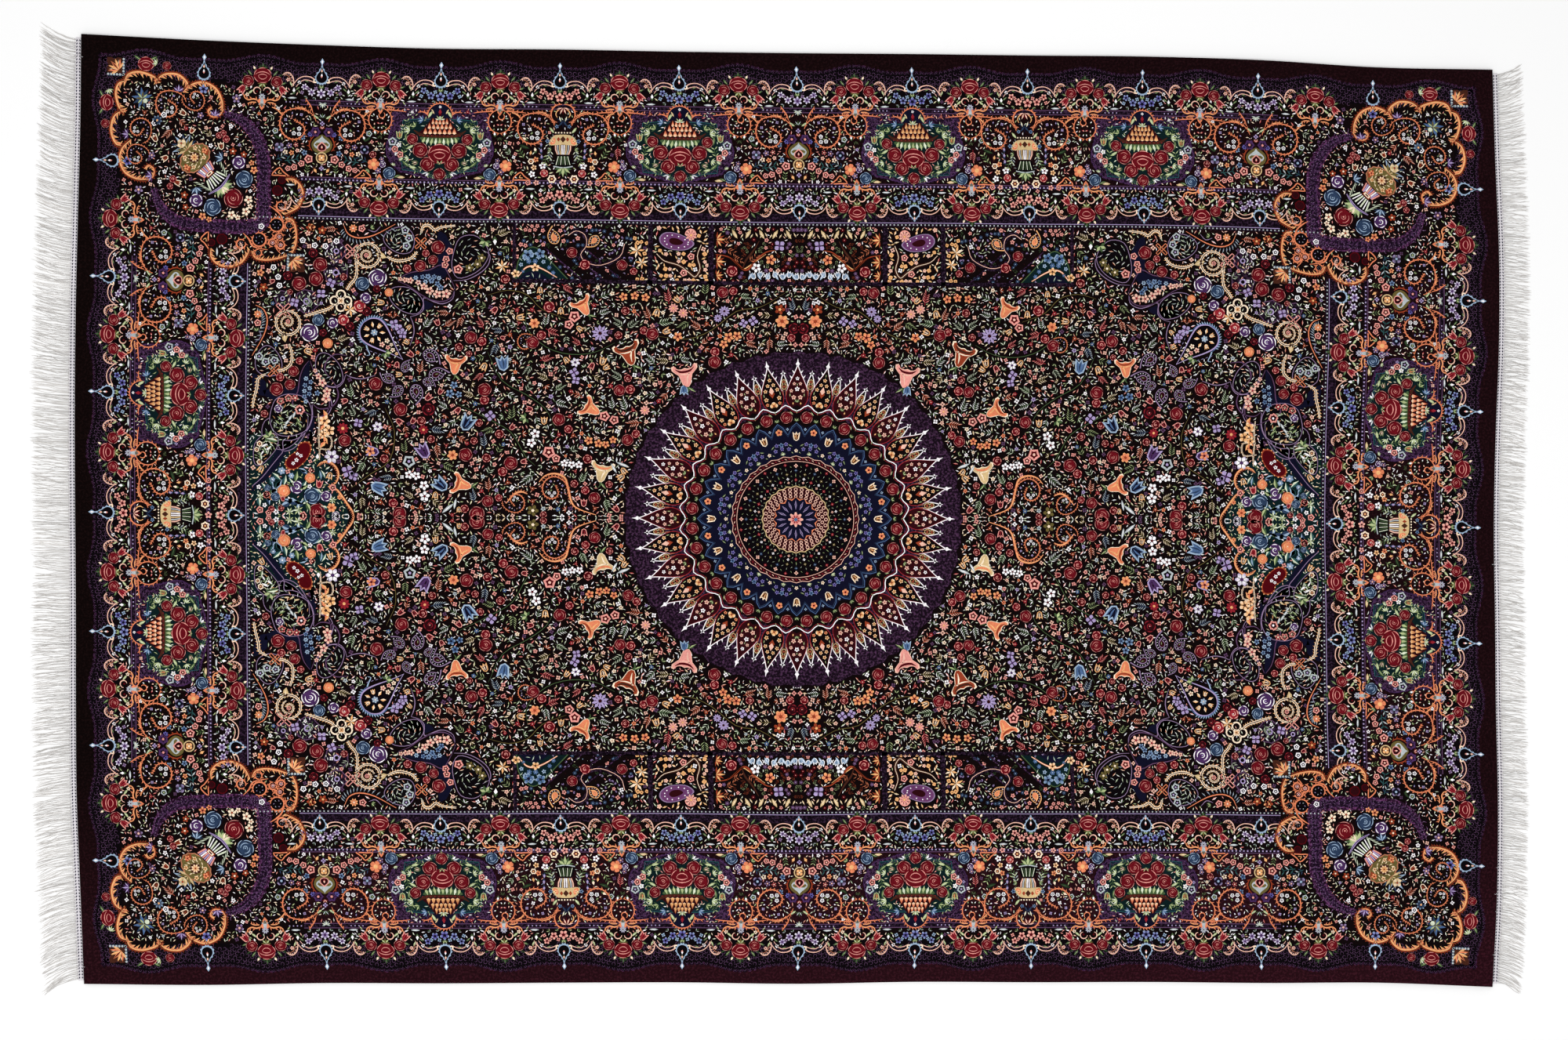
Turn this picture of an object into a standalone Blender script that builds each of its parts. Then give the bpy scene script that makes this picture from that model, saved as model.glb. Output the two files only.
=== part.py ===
"""Persian rug, laid flat: a knotted pile field, a flat-woven band at each end and a warp fringe.

Metres, +Z up, the long side along X. The outline is uneven, as a woven rug is, and every
piece is placed from the same four edge curves. The finished rug is centred on the origin
in X and Y and lies on Z = 0.
"""

import math
import random

import bmesh
import bpy

# Driving dimensions
PILE_LENGTH = 3.000  # between the end bands, along X
PILE_WIDTH = 1.980  # between the long edges, along Y
PILE_HEIGHT = 0.010  # ground weave and cut pile together
CORNER_RADIUS = 0.009
BAND_WIDTH = 0.0115  # flat-woven strip past the last row of knots
BAND_THICKNESS = 0.0030
PARTED = 0.0004  # clearance between neighbouring pieces
STRIP_WIDTH = 0.0030  # row of warp knots the tassels grow from
STRIP_THICKNESS = 0.0022
TASSELS_PER_END = 110
TASSEL_WIDTH = 0.0098
TASSEL_HEIGHT = 0.0026
STEP_ALONG = 0.090  # spacing of the outline points
ACROSS = round(PILE_LENGTH / STEP_ALONG)  # steps along a long edge
UP = round(PILE_WIDTH / STEP_ALONG)  # steps along a short edge
ARC = (0.0, 0.25, 0.5, 0.75, 1.0)  # points of a rounded corner

# Shape of the pile's rim from the floor up: inset from the outline, height
RIM_PROFILE = [
    {"inset": 0.0014, "z": 0.0},
    {"inset": 0.0000, "z": 0.0016},
    {"inset": 0.0000, "z": 0.0064},
    {"inset": 0.0016, "z": 0.0089},
    {"inset": 0.0048, "z": PILE_HEIGHT},
]

# How far each edge strays from a straight one, in millimetres.
# Long edges run from -X to +X and stray in Y; short edges run from -Y to +Y and stray in X.
EDGE_STRAY_MM = {
    "back": [8.9, 1.4, -3.2, -5.2, -1.3, -0.2, 2.3, 6.0, 8.6, 11.9, 9.9, 0.0, 0.5],
    "front": [3.1, 1.2, 5.5, 5.2, 6.9, 7.9, 5.2, 9.7, 9.1, 10.0, 8.2, 9.0, 0.2],
    "left": [22.3, 12.2, 2.1, -2.0, -4.8, -8.7, -12.1, -13.0, -11.1, -8.5, -9.1],
    "right": [15.5, 23.1, 23.2, 16.7, 12.7, 8.0, 9.7, 15.0, 13.0, 2.7, -5.4],
}

# Fringe of each end: length, and how far its tips are swept in Y at stations from -Y to +Y.
FRINGE = {
    "left": {
        "length": 0.078,
        "sweep_mm": [-34, -24, -16, -10, -4, 0, 5, 9, 14, 20, 27, 33],
    },
    "right": {
        "length": 0.057,
        "sweep_mm": [-24, -13, -8, -6, -9, -7, -5, -8, -6, -4, 6, 26],
    },
}


def along(table, t):
    """Smooth curve through evenly spaced values, t from 0 to 1."""
    spot = min(max(t, 0.0), 1.0) * (len(table) - 1)
    i = min(int(spot), len(table) - 2)
    f = spot - i
    p1, p2 = table[i], table[i + 1]
    p0 = table[i - 1] if i else 2 * p1 - p2
    p3 = table[i + 2] if i + 2 < len(table) else 2 * p2 - p1
    return 0.5 * (
        2 * p1
        + (p2 - p0) * f
        + (2 * p0 - 5 * p1 + 4 * p2 - p3) * f * f
        + (3 * p1 - p0 - 3 * p2 + p3) * f**3
    )


def edge_point(edge, t):
    """Point of one edge of the pile, t from 0 to 1 along it."""
    stray = along(EDGE_STRAY_MM[edge], t) / 1000.0
    if edge in ("back", "front"):
        y = PILE_WIDTH / 2 if edge == "back" else -PILE_WIDTH / 2
        x = (t - 0.5) * PILE_LENGTH
        # the long edges are as skewed as the corners they run between
        end = "left" if t < 0.5 else "right"
        corner = along(EDGE_STRAY_MM[end], 1.0 if edge == "back" else 0.0) / 1000.0
        return x + corner * abs(2 * t - 1), y + stray
    x = PILE_LENGTH / 2 if edge == "right" else -PILE_LENGTH / 2
    y = (t - 0.5) * PILE_WIDTH
    side = "front" if t < 0.5 else "back"
    corner = along(EDGE_STRAY_MM[side], 1.0 if edge == "right" else 0.0) / 1000.0
    return x + stray, y + corner * abs(2 * t - 1)


def outline():
    """Closed outline of the pile, anticlockwise, with small rounded corners."""
    sides = [
        [edge_point("front", i / ACROSS) for i in range(ACROSS + 1)],
        [edge_point("right", i / UP) for i in range(UP + 1)],
        [edge_point("back", 1 - i / ACROSS) for i in range(ACROSS + 1)],
        [edge_point("left", 1 - i / UP) for i in range(UP + 1)],
    ]
    ring = []
    for k, side in enumerate(sides):
        follower = sides[(k + 1) % 4]
        ring += side[1:-1]
        corner = side[-1]
        start = toward(corner, side[-2], CORNER_RADIUS)
        end = toward(corner, follower[1], CORNER_RADIUS)
        for f in ARC:
            a, b = (1 - f) ** 2, 2 * f * (1 - f)
            ring.append(
                tuple(a * start[i] + b * corner[i] + f * f * end[i] for i in (0, 1))
            )
    return ring


def toward(a, b, distance):
    span = math.dist(a, b)
    return tuple(a[i] + (b[i] - a[i]) * distance / span for i in (0, 1))


def inset(ring, distance):
    """The ring moved inward along the bisectors of its corners."""
    moved = []
    count = len(ring)
    for i, (x, y) in enumerate(ring):
        ax, ay = ring[i - 1]
        bx, by = ring[(i + 1) % count]
        tx, ty = bx - ax, by - ay
        length = math.hypot(tx, ty)
        moved.append((x - ty / length * distance, y + tx / length * distance))
    return moved


def end_point(end, t, out):
    """Point beyond a short edge by the distance out, and the outward direction there."""
    ahead = edge_point(end, min(t + 0.01, 1.0))
    behind = edge_point(end, max(t - 0.01, 0.0))
    tx, ty = ahead[0] - behind[0], ahead[1] - behind[1]
    length = math.hypot(tx, ty)
    sign = 1.0 if end == "right" else -1.0
    nx, ny = sign * ty / length, -sign * tx / length
    x, y = edge_point(end, t)
    return (x + nx * out, y + ny * out), (nx, ny)


def new_object(name, bm, color, roughness):
    bmesh.ops.recalc_face_normals(bm, faces=bm.faces)
    mesh = bpy.data.meshes.new(name)
    bm.to_mesh(mesh)
    bm.free()
    material = bpy.data.materials.new(name)
    material.use_nodes = True
    shader = material.node_tree.nodes["Principled BSDF"]
    shader.inputs["Base Color"].default_value = (*color, 1.0)
    shader.inputs["Roughness"].default_value = roughness
    mesh.materials.append(material)
    obj = bpy.data.objects.new(name, mesh)
    rug.objects.link(obj)
    return obj


def loft(rings):
    """Skin a list of rings that have the same number of points; the ends are left open."""
    bm = bmesh.new()
    rows = [[bm.verts.new(p) for p in ring] for ring in rings]
    count = len(rings[0])
    for lower, upper in zip(rows, rows[1:]):
        for i in range(count):
            j = (i + 1) % count
            bm.faces.new((lower[i], lower[j], upper[j], upper[i]))
    return bm, rows


def inside_point(u, v):
    """Point of the cloth blended from its four edges, u and v from 0 to 1."""
    front, back = edge_point("front", u), edge_point("back", u)
    left, right = edge_point("left", v), edge_point("right", v)
    corners = [edge_point("front", 0), edge_point("front", 1)]
    corners += [edge_point("back", 0), edge_point("back", 1)]
    shares = [(1 - u) * (1 - v), u * (1 - v), (1 - u) * v, u * v]
    return tuple(
        (1 - v) * front[k]
        + v * back[k]
        + (1 - u) * left[k]
        + u * right[k]
        - sum(share * corner[k] for share, corner in zip(shares, corners))
        for k in (0, 1)
    )


def cap(bm, ring, z):
    """Close a ring of the outline with an even lattice of faces."""
    lattice, arcs, start = {}, [], 0
    for count, place in (
        (ACROSS, lambda k: (k, 0)),
        (UP, lambda k: (ACROSS, k)),
        (ACROSS, lambda k: (ACROSS - k, UP)),
        (UP, lambda k: (0, UP - k)),
    ):
        for k in range(1, count):
            lattice[place(k)] = ring[start + k - 1]
        start += count - 1
        arcs.append(ring[start : start + len(ARC)])
        start += len(ARC)
    for i in range(1, ACROSS):
        for j in range(1, UP):
            x, y = inside_point(i / ACROSS, j / UP)
            lattice[i, j] = bm.verts.new((x, y, z))
    for i in range(ACROSS):
        for j in range(UP):
            around = []
            for spot in ((i, j), (i + 1, j), (i + 1, j + 1), (i, j + 1)):
                if spot in lattice:
                    around.append(lattice[spot])
                else:
                    corner = (spot[0] > 0) + 2 * (spot[1] > 0)
                    around += arcs[(3, 0, 2, 1)[corner]]
            bm.faces.new(around)


def pile_body():
    ring = outline()
    rings = [
        [(x, y, level["z"]) for x, y in inset(ring, level["inset"])]
        for level in RIM_PROFILE
    ]
    bm, rows = loft(rings)
    cap(bm, rows[0], RIM_PROFILE[0]["z"])
    cap(bm, rows[-1], RIM_PROFILE[-1]["z"])
    return new_object("rug_body", bm, (0.030, 0.010, 0.018), 0.92)


def end_band(end):
    """Flat-woven strip whose edges are softened by a small chamfer."""
    soft = 0.0007
    near, far = PARTED, PARTED + BAND_WIDTH
    profile = [
        (near + soft, 0.0),
        (far - soft, 0.0),
        (far, soft),
        (far, BAND_THICKNESS - soft),
        (far - soft, BAND_THICKNESS),
        (near + soft, BAND_THICKNESS),
        (near, BAND_THICKNESS - soft),
        (near, soft),
    ]
    rings = []
    for i in range(2 * UP + 1):
        t = 0.003 + 0.994 * i / (2 * UP)
        rings.append([(*end_point(end, t, out)[0], z) for out, z in profile])
    bm, rows = loft(rings)
    bm.faces.new(rows[0])
    bm.faces.new(rows[-1])
    return new_object(f"end_band_{end}", bm, (0.62, 0.60, 0.63), 0.9)


def fringe(end):
    """Strip of warp knots with tassels grown from its outer face."""
    dice = random.Random(11 if end == "left" else 23)
    spec = FRINGE[end]
    near = 2 * PARTED + BAND_WIDTH
    far = near + STRIP_WIDTH
    pitch = 0.990 / TASSELS_PER_END
    half = TASSEL_WIDTH / 2 / PILE_WIDTH
    marks = [0.004]
    for i in range(TASSELS_PER_END):
        middle = 0.005 + pitch * (i + 0.5)
        marks += [middle - half, middle + half]
    marks.append(0.996)

    bm = bmesh.new()
    rows = []
    for t in marks:
        spots = [
            (*end_point(end, t, near)[0], 0.0),
            (*end_point(end, t, far)[0], 0.0),
            (*end_point(end, t, far)[0], STRIP_THICKNESS),
            (*end_point(end, t, near)[0], STRIP_THICKNESS),
        ]
        rows.append([bm.verts.new(p) for p in spots])
    bm.faces.new(rows[0])
    bm.faces.new(rows[-1])
    for k, (a, b) in enumerate(zip(rows, rows[1:])):
        for i, j in ((0, 1), (2, 3), (3, 0)):
            bm.faces.new((a[i], a[j], b[j], b[i]))
        if k % 2 == 0:
            bm.faces.new((a[1], a[2], b[2], b[1]))
            continue
        t = (marks[k] + marks[k + 1]) / 2
        tassel(bm, (a[1], b[1], b[2], a[2]), end, t, far, spec, dice)
    return new_object(f"fringe_{end}", bm, (0.72, 0.71, 0.70), 0.85)


def tassel(bm, root, end, t, out, spec, dice):
    """One four-sided tassel that leaves the strip square to it and is swept sideways."""
    (x0, y0), (nx, ny) = end_point(end, t, out)
    length = spec["length"] * dice.uniform(0.93, 1.05)
    sweep = along(spec["sweep_mm"], t) / 1000.0 + dice.uniform(-0.0016, 0.0016)
    last = list(root)
    for f, width, height in ((0.34, 0.95, 1.0), (0.70, 0.80, 0.86), (1.0, 0.46, 0.62)):
        side = sweep * f**1.45
        reach = length * f * (1.0 - 0.5 * (sweep / spec["length"]) ** 2 * f)
        cx, cy = x0 + nx * reach, y0 + ny * reach + side
        w = TASSEL_WIDTH * width / 2
        h = TASSEL_HEIGHT * height
        section = [
            (cx, cy - w, 0.0),
            (cx, cy + w, 0.0),
            (cx, cy + 0.72 * w, h),
            (cx, cy - 0.72 * w, h),
        ]
        ring = [bm.verts.new(p) for p in section]
        for i in range(4):
            j = (i + 1) % 4
            bm.faces.new((last[i], last[j], ring[j], ring[i]))
        last = ring
    bm.faces.new(last)


def centre(objects):
    """Move the rug so that its bounding box is centred over the origin."""
    xs = [v.co.x for o in objects for v in o.data.vertices]
    ys = [v.co.y for o in objects for v in o.data.vertices]
    dx, dy = -(min(xs) + max(xs)) / 2, -(min(ys) + max(ys)) / 2
    for obj in objects:
        for v in obj.data.vertices:
            v.co.x += dx
            v.co.y += dy
    print(f"centred by {dx * 1000:.2f}, {dy * 1000:.2f} mm")


for old in list(bpy.data.objects):
    bpy.data.objects.remove(old)
rug = bpy.data.collections.new("persian_rug")
bpy.context.scene.collection.children.link(rug)

pieces = [pile_body()]
for end in ("left", "right"):
    pieces.append(end_band(end))
    pieces.append(fringe(end))
centre(pieces)
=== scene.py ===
# %% [markdown]
# # A knotted Persian rug, drawn the way a weaver plans one
# A knotted rug carries its whole design in its pile: every flower is a patch of dyed knots beside
# other patches, flat and crisp. It could be faked with one picture laid on a slab, but a picture
# blurs up close. So this lesson cuts each motif as thin flat shapes, lays them on a pile sheet as
# knots lie in a rug, and mirrors one quarter four times, as the weaver's chart does.

# %% The frame, and what is measured from it
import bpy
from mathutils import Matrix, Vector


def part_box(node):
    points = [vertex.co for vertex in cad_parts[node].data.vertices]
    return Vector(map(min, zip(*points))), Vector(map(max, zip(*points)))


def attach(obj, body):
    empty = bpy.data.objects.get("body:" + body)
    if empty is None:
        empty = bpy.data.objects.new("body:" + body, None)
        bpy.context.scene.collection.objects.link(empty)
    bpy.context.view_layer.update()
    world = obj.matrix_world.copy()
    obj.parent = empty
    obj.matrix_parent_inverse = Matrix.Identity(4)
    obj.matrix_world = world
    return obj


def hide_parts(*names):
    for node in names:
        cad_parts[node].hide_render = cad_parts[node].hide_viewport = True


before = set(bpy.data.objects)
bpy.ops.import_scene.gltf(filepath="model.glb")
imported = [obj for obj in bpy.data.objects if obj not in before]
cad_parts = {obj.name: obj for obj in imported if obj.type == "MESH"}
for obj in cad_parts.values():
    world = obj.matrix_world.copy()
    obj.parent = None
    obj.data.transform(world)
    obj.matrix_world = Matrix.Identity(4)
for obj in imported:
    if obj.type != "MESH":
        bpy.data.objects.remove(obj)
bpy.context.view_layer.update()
import math
import bpy
import numpy as np

PILE_LOW, PILE_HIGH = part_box("rug_body")
PILE_TOP = float(PILE_HIGH[2])
MM = 0.001
print("pile box, metres:", [round(float(high - low), 3) for low, high in zip(PILE_LOW, PILE_HIGH)])

# %% [markdown]
# ## An uneven cloth
# A loom never beats every row alike, so the finished edges wander by a centimetre or two and the
# drawing wanders with them. The chart below is drawn on a perfect rectangle in millimetres. One
# function, settle, then lays any point of it on the real cloth: it blends the four strayed edges
# and adds the slow sideways drift of the rows.

# %% Laying the chart on the cloth
CHART_LENGTH, CHART_WIDTH = 3000.0, 1980.0
EDGE_STRAY_MM = {"back": [8.9, 1.4, -3.2, -5.2, -1.3, -0.2, 2.3, 6.0, 8.6, 11.9, 9.9, 0.0, 0.5],
                 "front": [3.1, 1.2, 5.5, 5.2, 6.9, 7.9, 5.2, 9.7, 9.1, 10.0, 8.2, 9.0, 0.2],
                 "left": [22.3, 12.2, 2.1, -2.0, -4.8, -8.7, -12.1, -13.0, -11.1, -8.5, -9.1],
                 "right": [15.5, 23.1, 23.2, 16.7, 12.7, 8.0, 9.7, 15.0, 13.0, 2.7, -5.4]}
ROW_DRIFT_MM = [0, -5, -8, -8, -6, -2, 2, 5, 2, -2, -6, -8, -8, -5, 0]
ROW_BOW_MM = 13.0  # the rows bow toward the centre line in the middle of the rug
CENTRING_MM = (5.88, -3.99)  # the strayed outline is centred over the origin


def along(table, t):
    """Smooth curve through evenly spaced values, t from 0 to 1."""
    table = np.asarray(table, float)
    spot = np.clip(t, 0, 1) * (len(table) - 1)
    i = np.minimum(spot.astype(int), len(table) - 2)
    f = spot - i
    ends = 2 * table[[0, -1]] - table[[1, -2]]
    padded = np.concatenate([ends[:1], table, ends[1:]])
    p0, p1, p2, p3 = (padded[i + k] for k in range(4))
    cubic = (3 * p1 - p0 - 3 * p2 + p3) * f**3
    return 0.5 * (2 * p1 + (p2 - p0) * f + (2 * p0 - 5 * p1 + 4 * p2 - p3) * f * f + cubic)


def edge_point(edge, t):
    """Point of one strayed edge in millimetres, t from 0 to 1 along it."""
    stray = along(EDGE_STRAY_MM[edge], t)
    if edge in ("back", "front"):
        side = 1 if edge == "back" else -1
        corner = -1 if edge == "back" else 0
        skew = np.where(t < 0.5, EDGE_STRAY_MM["left"][corner], EDGE_STRAY_MM["right"][corner])
        return (t - 0.5) * CHART_LENGTH + skew * abs(2 * t - 1), side * CHART_WIDTH / 2 + stray
    side = 1 if edge == "right" else -1
    corner = -1 if edge == "right" else 0
    skew = np.where(t < 0.5, EDGE_STRAY_MM["front"][corner], EDGE_STRAY_MM["back"][corner])
    return side * CHART_LENGTH / 2 + stray, (t - 0.5) * CHART_WIDTH + skew * abs(2 * t - 1)


def settle(chart):
    """Chart points in millimetres, from the rug's centre, to points of the real cloth in metres."""
    x, y = chart[:, 0], chart[:, 1]
    u, v = x / CHART_LENGTH + 0.5, y / CHART_WIDTH + 0.5
    front, back = edge_point("front", u), edge_point("back", u)
    left, right = edge_point("left", v), edge_point("right", v)
    zero, one = np.zeros(1), np.ones(1)
    ends = (("front", zero), ("front", one), ("back", zero), ("back", one))
    corners = [edge_point(edge, t) for edge, t in ends]
    shares = [(1 - u) * (1 - v), u * (1 - v), (1 - u) * v, u * v]
    laid = []
    for k in (0, 1):
        blend = (1 - v) * front[k] + v * back[k] + (1 - u) * left[k] + u * right[k]
        laid.append(blend - sum(share * corner[k] for share, corner in zip(shares, corners)))
    bow = ROW_BOW_MM * (y / (CHART_WIDTH / 2)) * (1 - (2 * u - 1) ** 2)
    laid[0] = laid[0] + along(ROW_DRIFT_MM, u) * (1 - (2 * v - 1) ** 8) - bow
    return (np.stack(laid, 1) + CENTRING_MM) * MM


corner_spot = settle(np.array([[-1500.0, 990.0], [1500.0, -990.0]]))
print("two opposite pile corners, metres:", corner_spot.round(3).tolist())

# %% [markdown]
# ## The dye pots
# A rug like this is woven from a few dozen dyed yarns. Each gets one name here, and a motif names
# its dyes instead of mixing colours of its own, so a shade can be corrected once for the whole rug.
# Some plain stretches are woven from two close yarns at once; they are listed as mottled.

# %% Dyed yarns
DYES = {  # red, green, blue as the eye sees them, 0 to 255
    "ground": (14, 6, 7),
    "night": (9, 5, 8),
    "plum": (18, 9, 19),
    "grape": (29, 15, 32),
    "bloom": (42, 19, 40),
    "aubergine": (27, 14, 27),
    "magenta": (100, 56, 98),
    "mauve": (90, 62, 92),
    "orchid": (140, 116, 148),
    "lilac": (166, 148, 190),
    "violet": (70, 42, 86),
    "periwinkle": (96, 90, 158),
    "navy": (14, 14, 34),
    "slate": (42, 58, 84),
    "blue": (76, 102, 142),
    "sky": (150, 172, 196),
    "teal": (20, 52, 58),
    "abyss": (10, 28, 30),
    "lagoon": (34, 74, 80),
    "sea": (44, 82, 82),
    "forest": (30, 43, 27),
    "green": (68, 90, 56),
    "leaf": (172, 184, 132),
    "mint": (212, 220, 194),
    "olive": (100, 88, 48),
    "cream": (246, 224, 196),
    "sand": (206, 178, 130),
    "gold": (234, 174, 116),
    "orange": (224, 130, 92),
    "copper": (176, 112, 84),
    "rust": (146, 60, 36),
    "brown": (66, 34, 24),
    "peach": (236, 186, 166),
    "pink": (226, 150, 140),
    "rose": (140, 34, 44),
    "ruby": (98, 14, 24),
    "crimson": (76, 6, 14),
    "wine": (44, 8, 14),
    "white": (248, 244, 246),
    "silver": (176, 184, 186),
}
MOTTLED = ("plum", "grape", "bloom", "aubergine")
DYE_ROWS = {name: row for row, name in enumerate(DYES)}


def linear(colour):
    """The light a colour sends out, from the numbers the eye reads."""
    share = np.asarray(colour, float) / 255
    return np.where(share <= 0.04045, share / 12.92, ((share + 0.055) / 1.055) ** 2.4)


DYE_LIGHT = np.array([[*linear(colour), float(name in MOTTLED)] for name, colour in DYES.items()])
print("dyed yarns:", len(DYES))

# %% [markdown]
# ## A motif is a stack of flat patches
# A petal, its outline and its heart are patches of knots that share one surface. Here each is a
# flat shape with a level, and a higher level is laid a hair above a lower one. A motif can be put
# into another, turned, mirrored or resized, so the design grows as a weaver's does: petals make a
# rose, roses make a bouquet, and bouquets make a border.


# %% Motif
class Motif:
    """Flat dyed shapes in millimetres, each on a level."""

    def __init__(self):
        self.blocks = []

    def lay(self, points, faces, dye, level=0):
        """Points of a shape, the corners of its faces, and one dye or a dye for each point."""
        names = [dye] * len(points) if isinstance(dye, str) else dye
        dyes = np.array([DYE_ROWS[name] for name in names])
        corners = np.concatenate([np.asarray(face) for face in faces])
        sizes = np.array([len(face) for face in faces])
        self.blocks.append((np.asarray(points, float), dyes, np.full(len(points), float(level)), corners,
                            sizes))

    def patch(self, points, dye, level=0):
        """One closed shape."""
        self.lay(points, [range(len(points))], dye, level)

    def halved(self, half, dye, level=0, steps=2):
        """A shape that is the same left and right, from its right half."""
        self.patch(mirrored(half, steps), dye, level)

    def disc(self, x, y, radius, count, dye, level=0, *lobes):
        """A round patch, perhaps scalloped."""
        self.patch(wheel(radius, count, *lobes) + (x, y), dye, level)

    def ribbon(self, points, width, dye, level=0, steps=3, thorns=0.0, side=1):
        """A band along a smooth curve. Its width may change; thorns lean off one side."""
        line = smooth(points, steps)
        count = len(line)
        width = np.atleast_1d(width)
        wide = np.interp(np.linspace(0, 1, count), np.linspace(0, 1, len(width)), width)[:, None] / 2
        ahead = np.gradient(line, axis=0)
        ahead /= np.linalg.norm(ahead, axis=1)[:, None] + 1e-9
        across = np.stack([-ahead[:, 1], ahead[:, 0]], 1)
        rails = np.concatenate([line + across * wide, line - across * wide])
        faces = [(i, i + 1, count + i + 1, count + i) for i in range(count - 1)]
        self.lay(rails, faces, dye, level)
        if not thorns:
            return
        root = line + side * across * wide * 0.6
        tip = root + side * across * thorns * 1.2 + ahead * thorns * 0.8
        base = ahead * thorns * 0.40
        pitch = np.linalg.norm(np.diff(line, axis=0), axis=1).mean()
        spots = range(1, count - 1, max(1, round(1.7 * thorns / pitch)))
        points = np.concatenate([[root[i] - base[i], root[i] + base[i], tip[i]] for i in spots])
        self.lay(points, [(k, k + 1, k + 2) for k in range(0, len(points), 3)], dye, level)

    def gathered(self):
        """All shapes as one block: points, dyes, levels, corners and face sizes."""
        if len(self.blocks) != 1:
            starts = np.cumsum([0] + [len(block[0]) for block in self.blocks])
            columns = list(zip(*self.blocks))
            columns[3] = [corners + start for corners, start in zip(columns[3], starts)]
            self.blocks = [tuple(np.concatenate(column) for column in columns)]
        return self.blocks[0]

    def put(self, other, x=0, y=0, turn=0, size=1, level=0, mirror="", swap=False):
        """Lay another motif here: mirrored, resized, turned by degrees, then moved."""
        points, dyes, levels, corners, sizes = other.gathered()
        points = points * (-size if "x" in mirror else size, -size if "y" in mirror else size)
        if turn:
            c, s = polar(1, turn)
            points = points @ np.array([[c, s], [-s, c]])
        if swap:
            points = points[:, ::-1]
        self.blocks.append((points + (x, y), dyes, levels + level, corners, sizes))

    def place(self, rows, level=8):
        """Rows of motif, x, y, turn and size, and a level where it is not the usual one."""
        for motif, x, y, turn, size, *own in rows:
            self.put(motif, x, y, turn, size, *(own or [level]))

    def sow(self, rows, level=8):
        """Rows of motif and its spots: x, y, size, and a turn where it matters."""
        for motif, spots in rows:
            for number, (x, y, size, *turn) in enumerate(spots):
                self.put(motif, x, y, turn[0] if turn else 47 * number + x, size, level)

    def ring(self, count, motif, reach=0, size=1, level=0, phase=0.0, turn=0.0):
        """A motif laid round the origin, each time turned outward."""
        for k in range(count):
            angle = (k + phase) * 360 / count
            self.put(motif, *polar(reach, angle), angle + turn, size, level)

    def triangles(self):
        """How many triangles its shapes come to."""
        return int((self.gathered()[4] - 2).sum())


print("a motif can:", ", ".join(name for name in vars(Motif) if name[0] != "_"))

# %% [markdown]
# ## Curves that a hand would draw
# Vines, scrolls and petals are smooth, but only a few points decide them. These helpers turn a few
# points into a smooth line, a scalloped round, an arc that may tighten into a curl, and a closed
# shape from its right half.


# %% Lines and rounds
def smooth(points, steps=3, closed=False):
    """Catmull-Rom curve through points, with that many steps from one to the next."""
    points = np.asarray(points, float)
    if steps <= 1:
        return points
    if closed:
        padded = np.concatenate([points[-1:], points, points[:2]])
    else:
        padded = np.concatenate([2 * points[:1] - points[1:2], points, 2 * points[-1:] - points[-2:-1]])
    t = (np.arange(steps) / steps)[None, :, None]
    p0, p1, p2, p3 = (padded[k : len(padded) - 3 + k, None] for k in range(4))
    bend, twist = 2 * p0 - 5 * p1 + 4 * p2 - p3, 3 * p1 - p0 - 3 * p2 + p3
    curve = 0.5 * (2 * p1 + (p2 - p0) * t + bend * t**2 + twist * t**3)
    curve = curve.reshape(-1, 2)
    return curve if closed else np.concatenate([curve, points[-1:]])


def polar(reach, degrees):
    """x and y of a spot round the origin."""
    return reach * math.cos(math.radians(degrees)), reach * math.sin(math.radians(degrees))


def wheel(radius, count, wave=0.0, lobes=5, phase=0.0, tall=1.0):
    """A round outline, scalloped into lobes if wave is over 0."""
    angle = np.arange(count) * 2 * np.pi / count
    reach = radius * (1 + wave * np.cos(lobes * angle))
    angle = angle + np.radians(phase)
    return np.stack([reach * np.cos(angle), tall * reach * np.sin(angle)], 1)


def arc(x, y, radius, start, sweep, steps=8, shrink=1.0):
    """Points round a centre, from start through sweep degrees; shrink below 1 tightens it."""
    t = np.linspace(0, 1, steps + 1)
    angle = np.radians(start + sweep * t)
    reach = radius * (1 + (shrink - 1) * t)
    return np.stack([x + reach * np.cos(angle), y + reach * np.sin(angle)], 1)


def mirrored(half, steps=1):
    """Closed outline from its right half, top to bottom."""
    half = smooth(half, steps)
    left = half[::-1] * (-1, 1)
    return np.concatenate([half, left[np.abs(left[:, 0]) > 0.01]])


print("a smooth line through 3 points has", len(smooth([(0, 0), (5, 5), (10, 0)])), "points")

# %% [markdown]
# ## The flowers
# A few kinds of flower and leaf are repeated all over the rug in other dyes: a full rose seen from
# the front, side tulips, little florets, daisies, buds and leaf sprays. Each is drawn once, ten
# millimetres in radius and pointing along +X, by a function that takes its dyes.


# %% Flowers
# radius, start and sweep in degrees of each light petal edge
ROSE_CURLS = [(9.3, 4, 62), (9.3, 76, 62), (9.3, 148, 62), (9.3, 220, 62), (9.3, 292, 62), (5.6, 10, 110),
              (5.8, 165, 120), (2.6, 60, 260)]


def rose(body="crimson", rim="pink", heart="pink", line=0.8, shade="wine"):
    """A full rose from the front."""
    m = Motif()
    m.patch(wheel(10, 20, 0.05, 5), shade)
    m.patch(wheel(7.8, 20, 0.08, 5), body, 1)
    for radius, start, sweep in ROSE_CURLS:
        m.ribbon(arc(0, 0, radius, start, sweep, 5, 0.9), [line * 0.4, line * 1.3, line * 0.4], rim, 2, 1)
    m.patch(wheel(1.0, 4), heart, 3)
    return m


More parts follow.
